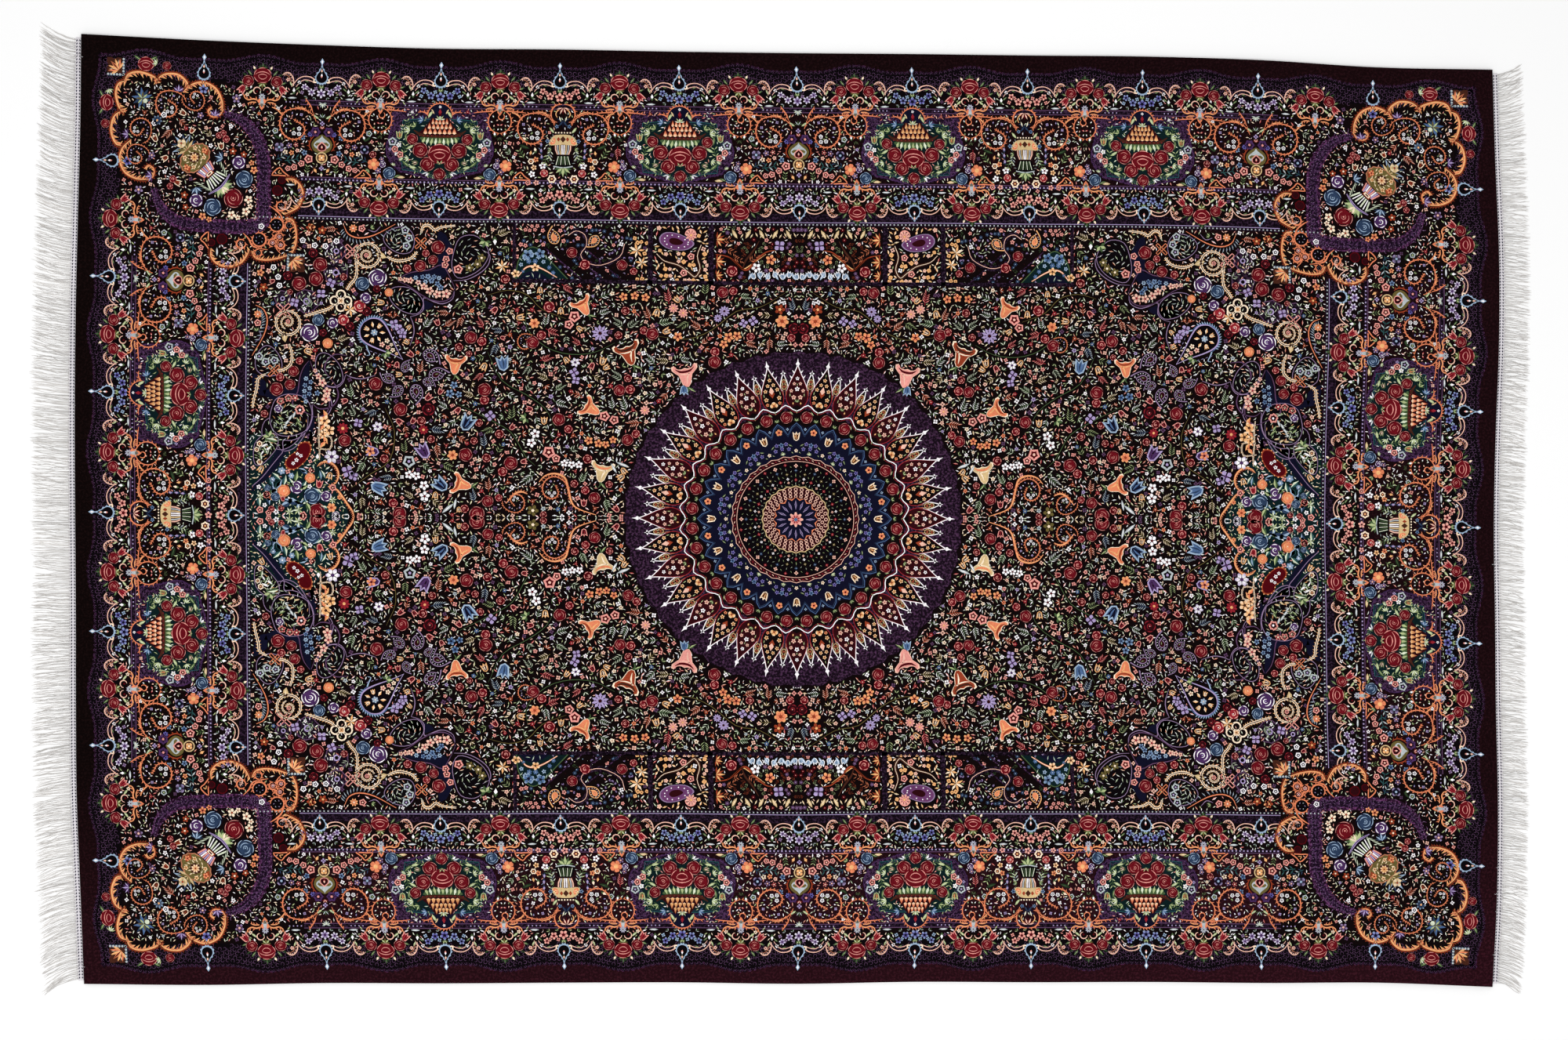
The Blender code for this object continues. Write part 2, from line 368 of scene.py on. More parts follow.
def small_rose(body="crimson", rim="pink", heart="pink"):
    """A rosebud from the front: five petal edges and one curl."""
    m = Motif()
    m.patch(wheel(10, 15, 0.09, 5), body)
    for start in range(0, 360, 72):
        m.ribbon(arc(0, 0, 8.6, start - 25, 54, 3, 0.95), [0.5, 1.7, 0.5], rim, 1, 1)
    m.ribbon(arc(0, 0, 4.6, 20, 280, 6, 0.5), [0.5, 1.6, 0.5], rim, 2, 1)
    m.patch(wheel(1.2, 4), heart, 3)
    return m


def fan_rose(body="crimson", rim="pink"):
    """A rose from the side, with stacked arcs of petals."""
    m = Motif()
    m.patch(wheel(10, 22, 0.07, 7, 0, 1.15), body)
    for start in range(-150, 180, 60):
        m.ribbon(arc(0, 0, 9.4, start, 46, 4) * (1, 1.15), [0.3, 0.9, 0.3], rim, 1, 1)
    for x, radius in ((-9.5, 14.0), (-7, 8.5)):
        m.ribbon(arc(x, 0, radius, -42, 84, 6), [0.3, 1.1, 0.3], rim, 3, 1)
    m.ribbon(arc(1, 0, 6.0, 110, 140, 5), [0.3, 1.0, 0.3], rim, 3, 1)
    return m


print("triangles of the three roses:", [draw().triangles() for draw in (rose, small_rose, fan_rose)])


# %% Florets and daisies
def floret(petals=5, petal="white", heart="crimson", fat=1.0, tip=None, hub=2.8):
    """A small open flower with blunt petals."""
    m, one = Motif(), Motif()
    half = 10 * math.sin(math.pi / petals) * 0.6 * fat
    blade = [(1.2, 0), (6.0, -half), (9.8, -half * 0.45), (9.8, half * 0.45), (6.0, half)]
    one.patch(blade, [petal, petal, tip or petal, tip or petal, petal])
    m.ring(petals, one)
    m.patch(wheel(hub, 6), heart, 1)
    return m


def daisy(petals=8, petal="white", heart="blue", tip=None, fat=0.8):
    """A small open flower with pointed petals."""
    m, one = Motif(), Motif()
    half = 10 * math.sin(math.pi / petals) * fat
    one.patch([(1.5, 0), (5.5, -half), (10, 0), (5.5, half)], [petal, petal, tip or petal, petal])
    m.ring(petals, one)
    m.patch(wheel(2.2, 5), heart, 1)
    return m


def ringed(rim="white", inner="crimson", heart="white", lobes=5):
    """A small round flower: light scalloped rim, dark inside, light heart."""
    m = Motif()
    m.patch(wheel(10, lobes * 3, 0.15, lobes), rim)
    m.patch(wheel(6.4, lobes * 2, 0.2, lobes), inner, 1)
    m.patch(wheel(2.8, 5), heart, 2)
    return m


print("triangles of the small flowers:", [draw().triangles() for draw in (floret, daisy, ringed)])


# %% Tulips, buds and leaves
def tulip(body="gold", rim="cream", stripe="orange"):
    """A flower from the side with three points."""
    m = Motif()
    cup = [(-9, 0), (-6, -5), (0, -6.4), (9, -7.5), (5.2, -2.6), (10, 0), (5.2, 2.6), (9, 7.5), (0, 6.4),
           (-6, 5)]
    m.patch(cup, rim)
    m.patch(np.array(cup) * (0.74, 0.7) + (-0.6, 0), body, 1)
    m.ribbon([(-5, 0), (0, 0.8), (7.5, 0)], [0.6, 2.0, 0.4], stripe, 2, 2)
    for side in (-1, 1):
        m.ribbon([(-5, 2 * side), (0, 4 * side), (6, 4.6 * side)], [0.3, 1.0, 0.3], stripe, 2, 2)
    return m


def bud(body="peach", sepal="green"):
    """A closed flower in its sepals."""
    m = Motif()
    m.patch([(-9, 0), (-2, -4.5), (4, 0), (-2, 4.5)], sepal)
    m.patch([(-3, 0), (2, -4), (10, 0), (2, 4)], body, 1)
    return m


def leaf(body="green", vein="leaf", width=3.4):
    """A leaf with a light vein."""
    m = Motif()
    m.patch([(-10, 0), (-5, -width * 0.8), (2, -width), (10, 0), (4, width * 0.8), (-4, width * 0.7)], body)
    m.patch([(-9, 0.4), (-1, -0.9), (7, 0), (-1, 0.5)], vein, 1)
    return m


def blade(dye="leaf", width=2.4):
    """The plainest leaf: two triangles."""
    m = Motif()
    m.patch([(-10, 0), (-1, -width), (10, 0), (1, width)], dye)
    return m


def spray(stem="green", blades=("leaf", "green"), pairs=3, tip=None):
    """A stem with leaves in pairs, and a bud at its tip."""
    m = Motif()
    m.ribbon([(-10, 0), (0, 0.8), (9, 0)], [1.2, 0.9, 0.5], stem, 0, 2)
    for k in range(pairs):
        x = -4.4 + 13 * k / max(pairs - 1, 1)
        for side in (1, -1):
            m.put(blade(blades[k % len(blades)]), x, 3.3 * side, 48 * side, 0.42, 1)
    if tip:
        m.put(bud(tip), 9, 0, 0, 0.38, 1)
    return m


def tuft(dye="green", light="leaf", blades=5, spread=120, width=2.6):
    """Leaves that fan out of one point."""
    m = Motif()
    for k in range(blades):
        angle = -spread / 2 + spread * k / (blades - 1)
        reach = 1.0 - 0.22 * abs(2 * k / (blades - 1) - 1)
        m.put(blade(light if k % 2 else dye, width), *polar(5, angle), angle, 0.55 * reach, k % 2)
    return m


print("triangles of tulip, bud, leaf and tuft:", [draw().triangles() for draw in (tulip, bud, leaf, tuft)])


# %% Two-tone leaves, ferns and sprigs
def two_tone(dark="green", light="leaf", width=2.7):
    """A pointed leaf, one half in light."""
    m = Motif()
    m.patch([(-10, 0), (-1, -width), (10, 0.5)], dark)
    m.patch([(-10, 0), (10, 0.5), (0, width)], light)
    return m


def fern(dark="green", light="leaf", flower=None, pairs=3):
    """A bent stem with two-tone leaves that get smaller, and perhaps a flower at its tip."""
    m = Motif()
    line = smooth([(-11, -3), (-3, -0.5), (4, 0.4), (10, 3.5)], 2)
    m.ribbon(line, [1.0, 0.8, 0.4], dark, 0, steps=1)
    one = two_tone(dark, light)
    for k in range(pairs):
        x, y = line[1 + k * 5 // pairs]
        size = 0.46 - 0.05 * k
        m.put(one, x + 2.8, y + 3.4, 52, size, 1)
        m.put(one, x + 3.4, y - 2.8, -38, size, 1, mirror="y")
    m.place([(flower, 10, 3.5, 0, 0.42, 2) if flower else (one, 11, 4, 25, 0.4, 1)])
    return m


def sprig(flower, dark="green", light="leaf"):
    """A flower on three leaves."""
    m = Motif()
    for turn in (95, 215, 320):
        m.put(two_tone(dark, light), *polar(7.4, turn), turn + 14, 0.42)
    m.put(flower, size=0.56, level=1)
    return m


def commas(dye="white", second="pink"):
    """Three curved specks that follow each other."""
    m = Motif()
    for x, y, turn, colour in ((-5.5, -2, 60, dye), (0, 1.5, 25, second), (5.5, 2, -15, dye)):
        m.put(blade(colour, 3.6), x, y, turn, 0.36)
    return m


print("triangles of a fern and a speck:", fern().triangles(), commas().triangles())

# %% [markdown]
# ## Repeats kept in one place
# The same few coloured flowers fill borders and field alike. Naming them once keeps the rug's
# palette together and makes the placement lists below short.

# %% Named flowers
RED_ROSE = rose("ruby", "pink", "pink", 0.48)
SMALL_RED = small_rose("ruby")
DARK_ROSE = small_rose("wine", "rose", "pink")
FAN_ROSE = fan_rose("ruby")
BLUE_ROSE = rose("slate", "sky", "sky", 0.9, "navy")
PEONY = rose("violet", "white", "lilac", 1.0, "grape")
PURPLE_ROSE = small_rose("violet", "white", "lilac")
ORANGE_ROSE = rose("orange", "gold", "cream", 1.0, "rust")
PINK_ROSE = small_rose("rose", "peach", "white")
SNOWFLAKE = daisy(8, "silver", "violet", "lilac")
WHITE_FLORET = floret(5, "white", "crimson")
CREAM_FLORET = floret(5, "cream", "rust")
PINK_FLORET = floret(5, "pink", "wine", tip="peach")
PEACH_FLORET = floret(5, "peach", "rose")
RED_FLORET = floret(5, "rose", "cream", tip="pink")
LILAC_FLORET = floret(4, "lilac", "violet")
BLUE_FLORET = floret(5, "blue", "navy", tip="sky")
SKY_FLORET = floret(6, "sky", "navy")
GOLD_FLORET = floret(5, "gold", "brown", tip="cream")
ORANGE_FLORET = floret(5, "orange", "crimson", tip="gold")
MAUVE_FLORET = floret(5, "mauve", "peach", tip="lilac")
WHITE_RING = ringed("white", "navy", "white")
PINK_RING = ringed("pink", "crimson", "peach")
CREAM_RING = ringed("cream", "crimson", "gold", 6)
WHITE_PANSY = ringed("silver", "night", "lilac", 5)
PEACH_BUD = bud("peach", "forest")
CREAM_BUD = bud("cream", "green")
WHITE_BUD = bud("white", "green")
LILAC_BUD = bud("lilac", "slate")
GOLD_BUD = bud("gold", "brown")
GREEN_LEAF = leaf("green", "leaf")
DARK_LEAF = leaf("forest", "green")
PALE_LEAF = leaf("leaf", "mint")
CREAM_LEAF = leaf("sand", "cream")
SILVER_LEAF = leaf("silver", "white", 2.4)
LEAF_TUFT = tuft("green", "leaf")
PALE_TUFT = tuft("leaf", "mint")
BLUE_TUFT = tuft("blue", "sky")
GREEN_SPRAY = spray("green", ("leaf", "green"), 3)
BUD_SPRAY = spray("green", ("leaf", "mint"), 3, "peach")
RED_TULIP = tulip("rose", "pink", "crimson")
WHITE_BLADE, LEAF_BLADE, PEACH_BLADE = blade("white"), blade("leaf"), blade("peach")
print("a rose takes", RED_ROSE.triangles(), "triangles and a floret", WHITE_FLORET.triangles())

# %% [markdown]
# ## One quarter of the chart
# The weaver charts a quarter and reads it four ways. Here the quarter runs from the rug's centre
# to one corner, x along the length to 1500 and y across to 990. What sits on a centre line is kept
# apart, or it would be laid twice in the same place: on_long_axis holds what is centred on x = 0
# and on_cross_axis what is centred on y = 0. The grounds, wide plain shapes, lie under everything.
# A border unit is drawn for the long side. On the short side it is the same unit with x and y
# swapped, moved so that both keep the same distance from the edge.

# %% Quarter and sides
quarter, on_long_axis, on_cross_axis, whole = Motif(), Motif(), Motif(), Motif()
HALF_LENGTH, HALF_WIDTH = CHART_LENGTH / 2, CHART_WIDTH / 2
CORNER_SHIFT = HALF_LENGTH - HALF_WIDTH
DROP_SPOTS = {"long": [0, 247, 496, 744, 993, 1240], "short": [0, 250, 489, 730]}


def beside(spine, half, spot, side):
    """Lay a border unit at a spot of a side. On a centre line only its halves are laid."""
    swap = side == "short"
    x, y = (CORNER_SHIFT, spot) if swap else (spot, 0)
    centred = (on_cross_axis if swap else on_long_axis) if spot == 0 else quarter
    centred.put(spine, x, y, swap=swap)
    quarter.put(half, x, y, swap=swap)
    if spot:
        quarter.put(half, x, y, swap=swap, mirror="x")


def strip_between(outer, inner, dye, level):
    """A strip between two lines of the same number of points."""
    strip, count = Motif(), len(outer)
    faces = [(i, i + 1, count + 1 + i, count + i) for i in range(count - 1)]
    strip.lay(np.concatenate([outer, inner]), faces, dye, level)
    return strip


def on_side(motif, swap):
    """Lay a motif drawn for the long side on that side, or swapped on the short one."""
    quarter.put(motif, CORNER_SHIFT if swap else 0, 0, swap=swap)


BAND_STEPS = 24


def band(near, far, dye, level, ends=(None, None)):
    """A strip along both sides of the quarter, mitred at the corner or cut where it ends."""
    for length, end, swap in ((HALF_LENGTH, ends[0], False), (HALF_WIDTH, ends[1], True)):
        stations = np.linspace(0, end or length - near, BAND_STEPS)
        outer = np.stack([stations, np.full(BAND_STEPS, HALF_WIDTH - near)], 1)
        inner = np.stack([np.minimum(stations, length - far), np.full(BAND_STEPS, HALF_WIDTH - far)], 1)
        on_side(strip_between(outer, inner, dye, level), swap)


print("half length and half width of the chart:", HALF_LENGTH, HALF_WIDTH)

# %% [markdown]
# ## Plain edge and lace
# Outside everything runs a plain dark band. Its inner line swings in and out like a lace hem, high
# over each rose cluster, low beside each drop. The lace itself is a darker purple with fine mauve
# loops, laid here as many small open curls.

# %% Lace hem
LACE_CREST, LACE_DIP = 29.0, 48.0  # distances from the edge
LACE_INNER, LACE_STOP = 92.0, 34.0  # the lace's inner line, and how far from the corner it stops
LACE_STEPS = 25  # points from one drop to the next
CURL_ROWS, CURL_STEP = 5, 8


def lace_line(s, pitch):
    """Distance of the lace's outer line from the edge, s from a drop, the next drop one pitch on."""
    turn = 2 * np.pi * s / pitch
    swing = 0.5 + 0.36 * np.cos(turn) - 0.14 * np.cos(2 * turn)
    return LACE_CREST + (LACE_DIP - LACE_CREST) * np.clip(swing, 0, 1.05)


def lace_loops():
    """One open mauve curl, and one scallop of the hem."""
    loop, scallop = Motif(), Motif()
    loop.ribbon(arc(0, 0, 4.0, 200, 280, 6, 0.8), [0.4, 1.0, 0.4], "mauve", 0, 1)
    scallop.patch(arc(0, 0, 6.2, 0, 180, 7), "night")
    scallop.ribbon(arc(0, 0, 5.6, -20, 220, 7), [0.3, 0.9, 0.3], "bloom", 1, 1)
    scallop.ribbon(arc(0, 1, 2.4, -20, 250, 5), 0.7, "mauve", 1, 1)
    return loop, scallop


def lace(spots, length, swap):
    """The hem along one side: its dark strip, scallops on its line, and curls in five rows."""
    m = Motif()
    loop, scallop = lace_loops()
    lowest = HALF_WIDTH - LACE_INNER
    for a, b in zip(spots, spots[1:] + [length - LACE_STOP]):
        s = np.linspace(a, b, LACE_STEPS)
        outer = HALF_WIDTH - lace_line(s - a, spots[1] - spots[0])
        inner = np.stack([np.minimum(s, length - LACE_INNER), np.full(LACE_STEPS, lowest)], 1)
        m.put(strip_between(np.stack([s, outer], 1), inner, "night", 0))
        for k, (x, top) in enumerate(zip(s[:-1], outer[:-1])):
            lean = math.degrees(math.atan2(outer[k + 1] - top, s[k + 1] - x))
            m.put(scallop, x, top - 1, lean, 1.0, 0.4)
            for row in range(CURL_ROWS):
                y = top - 9 - CURL_STEP * row
                if y > lowest + CURL_STEP and x < length - (HALF_WIDTH - y):
                    m.put(loop, x + 5 * (row % 2), y, 70 * ((k + row) % 5), 1.0, 1.5)
    on_side(m, swap)


band(88, 126, "night", -0.6)
band(92, 126, "ground", 0.1)
lace(DROP_SPOTS["long"], HALF_LENGTH, False)
lace(DROP_SPOTS["short"], HALF_WIDTH, True)
print("lace hem:", quarter.triangles(), "triangles in the quarter")

# %% [markdown]
# ## The guard borders
# Two narrow borders guard the wide one, and the inner is the outer turned over. Each repeats two
# units: a drop in a toothed pale-blue frame over a garland, with cream scrolls swinging out of it,
# and a rose cluster on an orange crown that hangs into the main border.


# %% Drop, scrolls and garland
TEETH = 2.6
OUTER_TIP, INNER_TIP = 22, 17


def toothed_drop(tip):
    """A drop that points along +Y: pale-blue toothed frame, dark inside, buds one over another."""
    m = Motif()
    half = [(0, tip), (2.6, tip * 0.66), (6, 8), (11, 1), (13, -6), (11, -13), (5, -17.5), (0, -18.5)]
    frame_line = mirrored(half, 2)
    away = frame_line / np.linalg.norm(frame_line, axis=1)[:, None]
    edge = frame_line + away * (np.arange(len(frame_line)) % 2)[:, None] * TEETH
    m.patch(edge, "sky")
    m.patch(frame_line * 0.86, "night", 2)
    m.put(PEACH_BUD, 0, 8, 90, 0.55, 3)
    m.put(bud("white", "pink"), 0, -1, 90, 0.5, 4)
    m.patch(wheel(3.6, 6), "navy", 3)
    return m


def drop_unit(garland, inner=False):
    """Spine and right half of a drop with its scrolls; the y values are the chart's own."""
    spine, half = Motif(), Motif()
    if inner:
        spine.put(toothed_drop(INNER_TIP), 0, 921, level=12)
    else:
        spine.put(toothed_drop(OUTER_TIP), 0, 925, level=12)
        spine.patch([(0, 961), (4.4, 954), (0, 946), (-4.4, 954)], "sky", 13)
        spine.patch([(0, 958), (2.0, 954), (0, 949), (-2.0, 954)], "white", 14)
    spine.put(LEAF_TUFT, 0, 897, 90, 0.9, 9)
    half.disc(13, 913, 4.6, 8, "cream", 11)
    half.disc(13, 913, 1.8, 5, "crimson", 12)
    sweep = [(14, 915), (22, 920.5), (36, 922), (48, 917), (56, 908), (62, 899)]
    half.ribbon(sweep, [2.8, 1.9, 1.8, 1.6, 1.2], "peach", 10)
    half.ribbon([(15, 909), (23, 913), (36, 914.5), (46, 908), (53, 899)], [1.4, 1.6, 1.0], "peach", 10)
    curl = [(58, 901), (58, 911), (61, 921), (68, 928), (76, 928), (82, 923)]
    half.ribbon(curl, [1.0, 2.2, 2.4, 2.2, 1.0], "peach", 11, thorns=3.5, side=-1)
    half.ribbon([(62, 903), (64, 913), (69, 921), (76, 924)], [0.8, 1.5, 0.8], "copper", 10)
    half.place([
        (WHITE_BUD, 57, 890, 90, 0.75), (PALE_LEAF, 63, 905, 60, 0.6), (SILVER_LEAF, 60, 876, 178, 0.95),
        (GREEN_LEAF, 49, 896, 140, 0.6), (WHITE_FLORET, 46, 909, 0, 0.4), (PEACH_FLORET, 70, 914, 0, 0.42),
        (GREEN_LEAF, 31, 912, 200, 0.5),
    ], 10)
    main, light, mid = garland
    spine.put(main, 0, 887, 90, 0.98, 10)
    half.place([(main, 20, 889, 20, 0.8), (main, 35, 900, 50, 0.7), (light, 11, 897, 30, 0.42),
                (light, 28, 897, 10, 0.4), (mid, 12, 879, -60, 0.7), (mid, 29, 880, -40, 0.75),
                (light, 40, 888, -20, 0.42)], 10)
    return spine, half


BLUE_GARLAND = (floret(5, "periwinkle", "navy", 1.0, "sky", 3.8), floret(4, "sky", "slate"),
                tuft("silver", "green", 3, 80, 2.2))
WHITE_GARLAND = (floret(6, "lilac", "violet", 0.9, "white", 3.4), floret(4, "orchid", "violet"),
                 tuft("silver", "green", 3, 80, 2.2))
PEACH_GARLAND = (floret(5, "pink", "crimson", 1.0, "peach", 3.8), floret(4, "pink", "wine"),
                 tuft("leaf", "green", 3, 80, 2.2))
print("a drop unit takes", drop_unit(BLUE_GARLAND)[1].triangles(), "triangles a side")


# %% Rose cluster on its crown
def acanthus(points, width, level, thorns=3.4, side=1):
    """A scroll leaf: a thorned orange ribbon with a gold one along its back."""
    m = Motif()
    m.ribbon(points, width, "orange", level, 3, thorns, side)
    m.ribbon(points, np.atleast_1d(width) * 0.45, "gold", level + 1)
    return m


def cluster_unit():
    """Spine and right half of the cluster: roses, leaves, and the orange crown under them."""
    spine, half = Motif(), Motif()
    spine.place([(FAN_ROSE, 0, 921, 90, 1.65, 12),
                 (tuft("green", "forest", 5, 150, 3.4), 0, 936, 90, 1.15, 9),
                 (tuft("olive", "leaf", 5, 170, 3.4), 0, 904, -90, 1.1, 10),
                 (SNOWFLAKE, 0, 876, 22, 0.75, 14)])
    crown = [(0, 878), (5, 872), (10, 867), (6, 862), (5, 855), (0, 848)]
    spine.halved(crown, "orange", 9)
    spine.halved([(0, 872), (3.6, 867), (3, 860), (0, 853)], "silver", 10)
    spine.put(tuft("silver", "olive", 5, 150), 0, 862, -90, 0.9, 10)
    half.put(acanthus([(8, 868), (18, 871), (28, 869), (36, 873), (39, 881)], [2, 3.2, 3, 2.2, 1], 9,
                      thorns=5))
    half.put(acanthus([(12, 864), (22, 864), (30, 861)], [2.2, 2.4, 1], 9, side=-1, thorns=4))
    half.ribbon(arc(11, 888, 8.5, 175, -255, 9, 0.75), [1.0, 2.3, 2.2, 1.0], "peach", 11, steps=1)
    half.disc(11, 887, 2.4, 6, "crimson", 11)
    half.place([
        (RED_ROSE, 30, 908, 40, 1.32), (RED_TULIP, 42, 891, -52, 1.15), (PALE_LEAF, 34, 895, -60, 0.8),
        (CREAM_BUD, 17, 935, 60, 0.62), (WHITE_BUD, 23, 897, -70, 0.5), (GREEN_LEAF, 27, 926, 50, 0.75),
        (DARK_LEAF, 37, 922, 30, 0.7), (PALE_LEAF, 24, 886, -40, 0.7), (GREEN_LEAF, 44, 905, 20, 0.7),
        (WHITE_BLADE, 45, 878, -20, 0.55), (LEAF_BLADE, 49, 872, -50, 0.5),
        (CREAM_FLORET, 31, 880, 0, 0.42),
    ], 10)
    return spine, half


print("a rose cluster takes", cluster_unit()[1].triangles(), "triangles a side")


# %% Both guards
TURN_LINE = 785.0
GARLANDS = {"long": [WHITE_GARLAND, BLUE_GARLAND, PEACH_GARLAND, BLUE_GARLAND, WHITE_GARLAND, BLUE_GARLAND],
            "short": [PEACH_GARLAND, BLUE_GARLAND, WHITE_GARLAND, BLUE_GARLAND]}


def turned_over(unit):
    """The same unit for the inner guard, mirrored on the line between the two guards."""
    over = Motif(), Motif()
    for piece, kept in zip(over, unit):
        piece.put(kept, 0, 2 * TURN_LINE, mirror="y")
    return over


def lay_guards():
    """Drops and clusters by turns, along both sides. The corner's own drop is a spine alone."""
    cluster = cluster_unit()
    for side, spots in DROP_SPOTS.items():
        corner = spots[-1]
        for spot, garland in zip(spots, GARLANDS[side]):
            outer = drop_unit(garland)
            if spot == corner:
                place = (CORNER_SHIFT, spot) if side == "short" else (spot, 0)
                quarter.put(outer[0], *place, swap=side == "short")
                continue
            beside(*outer, spot, side)
            beside(*turned_over(drop_unit(garland, True)), spot, side)
        for a, b in zip(spots, spots[1:]):
            beside(*cluster, (a + b) / 2, side)
            if b != corner:
                beside(*turned_over(cluster), (a + b) / 2, side)


lay_guards()
print("drops, clusters and crowns:", quarter.triangles())


# %% Guard lines and dashes
def dashes(y, first, last, size, dye, swap, pitch=8.2):
    """A row of single light knots on the chart's line y."""
    m = Motif()
    for s in np.arange(first, last, pitch):
        m.patch(wheel(size * 0.71, 4, phase=45) + (s, y), dye, 7)
    on_side(m, swap)


OUTER_DASHES, MIDDLE_DASHES, INNER_DASHES = 867.5, 706.5, 625
DASHED = (48, 80)  # from a drop, where the dashes of the outer line run
OUTER_ENDS, INNER_ENDS = (1192, 686), (1036, 527)
# near and far distance from the edge, dye, level, and where the line ends on each side
GUARD_LINES = [(117, 118.6, "mauve", 1, OUTER_ENDS), (118.6, 126.5, "plum", 0.5, OUTER_ENDS),
               (126.5, 128, "mauve", 1, OUTER_ENDS), (278, 279.5, "mauve", 1, INNER_ENDS),
               (279.5, 287, "plum", 0.5, INNER_ENDS), (287, 343, "ground", 0.2, INNER_ENDS),
               (343, 360, "plum", 0.4, INNER_ENDS), (360, 361.2, "lilac", 1, INNER_ENDS),
               (361.2, 368.5, "plum", 0.6, (1132, 527))]
for line in GUARD_LINES:
    band(*line)
for side, middle_stop, inner_stop in (("long", 1030, 1130), ("short", 520, 525)):
    swap = side == "short"
    for spot in DROP_SPOTS[side][:-1]:
        dashes(OUTER_DASHES, spot + DASHED[0], spot + DASHED[1], 2.4, "lilac", swap)
        if spot:
            dashes(OUTER_DASHES, spot - DASHED[1], spot - DASHED[0], 2.4, "lilac", swap)
    dashes(MIDDLE_DASHES, 4, middle_stop, 3.0, "lilac", swap)
    dashes(INNER_DASHES, 4, inner_stop, 2.7, "silver", swap, 8.3)
print("with the guards:", quarter.triangles())

# %% [markdown]
# ## The main border
# The wide border alternates three panels: a teal cartouche with a gold basket of roses, an urn
# between two thorned rings, and a palmette between the same rings.

# %% Basket
# height of a row of the basket, half its width, scales in it
BASKET_ROWS = [(835, 18, 5), (825, 26, 6), (814, 35, 7)]


def basket():
    """A basket upside down over its roses: dark wicker with rows of flame-like gold scales."""
    m = Motif()
    m.halved([(0, 842), (18, 842), (26, 829), (36, 817), (50, 807), (0, 805)], "wine", 0, 1)
    for y, half, count in BASKET_ROWS:
        wide = half / count * 0.86
        for k in range(count):
            x = (2 * k - count + 1) * half / count
            flame = [(x, y + 8), (x + wide * 0.6, y + 1), (x + wide, y - 4), (x, y - 6), (x - wide, y - 4),
                     (x - wide * 0.6, y + 1)]
            m.patch(flame, ["rust", "orange", "gold", "cream", "gold", "orange"], 1)
    m.ribbon([(-54, 816), (-40, 807), (-20, 803.5), (20, 803.5), (40, 807), (54, 816)], [2, 7, 4.5, 7, 2],
             "brown", 2)
    for k in range(-5, 6):
        m.disc(k * 8.4, 805, 1.3, 4, "rose", 3)
    return m


print("a basket takes", basket().triangles(), "triangles")


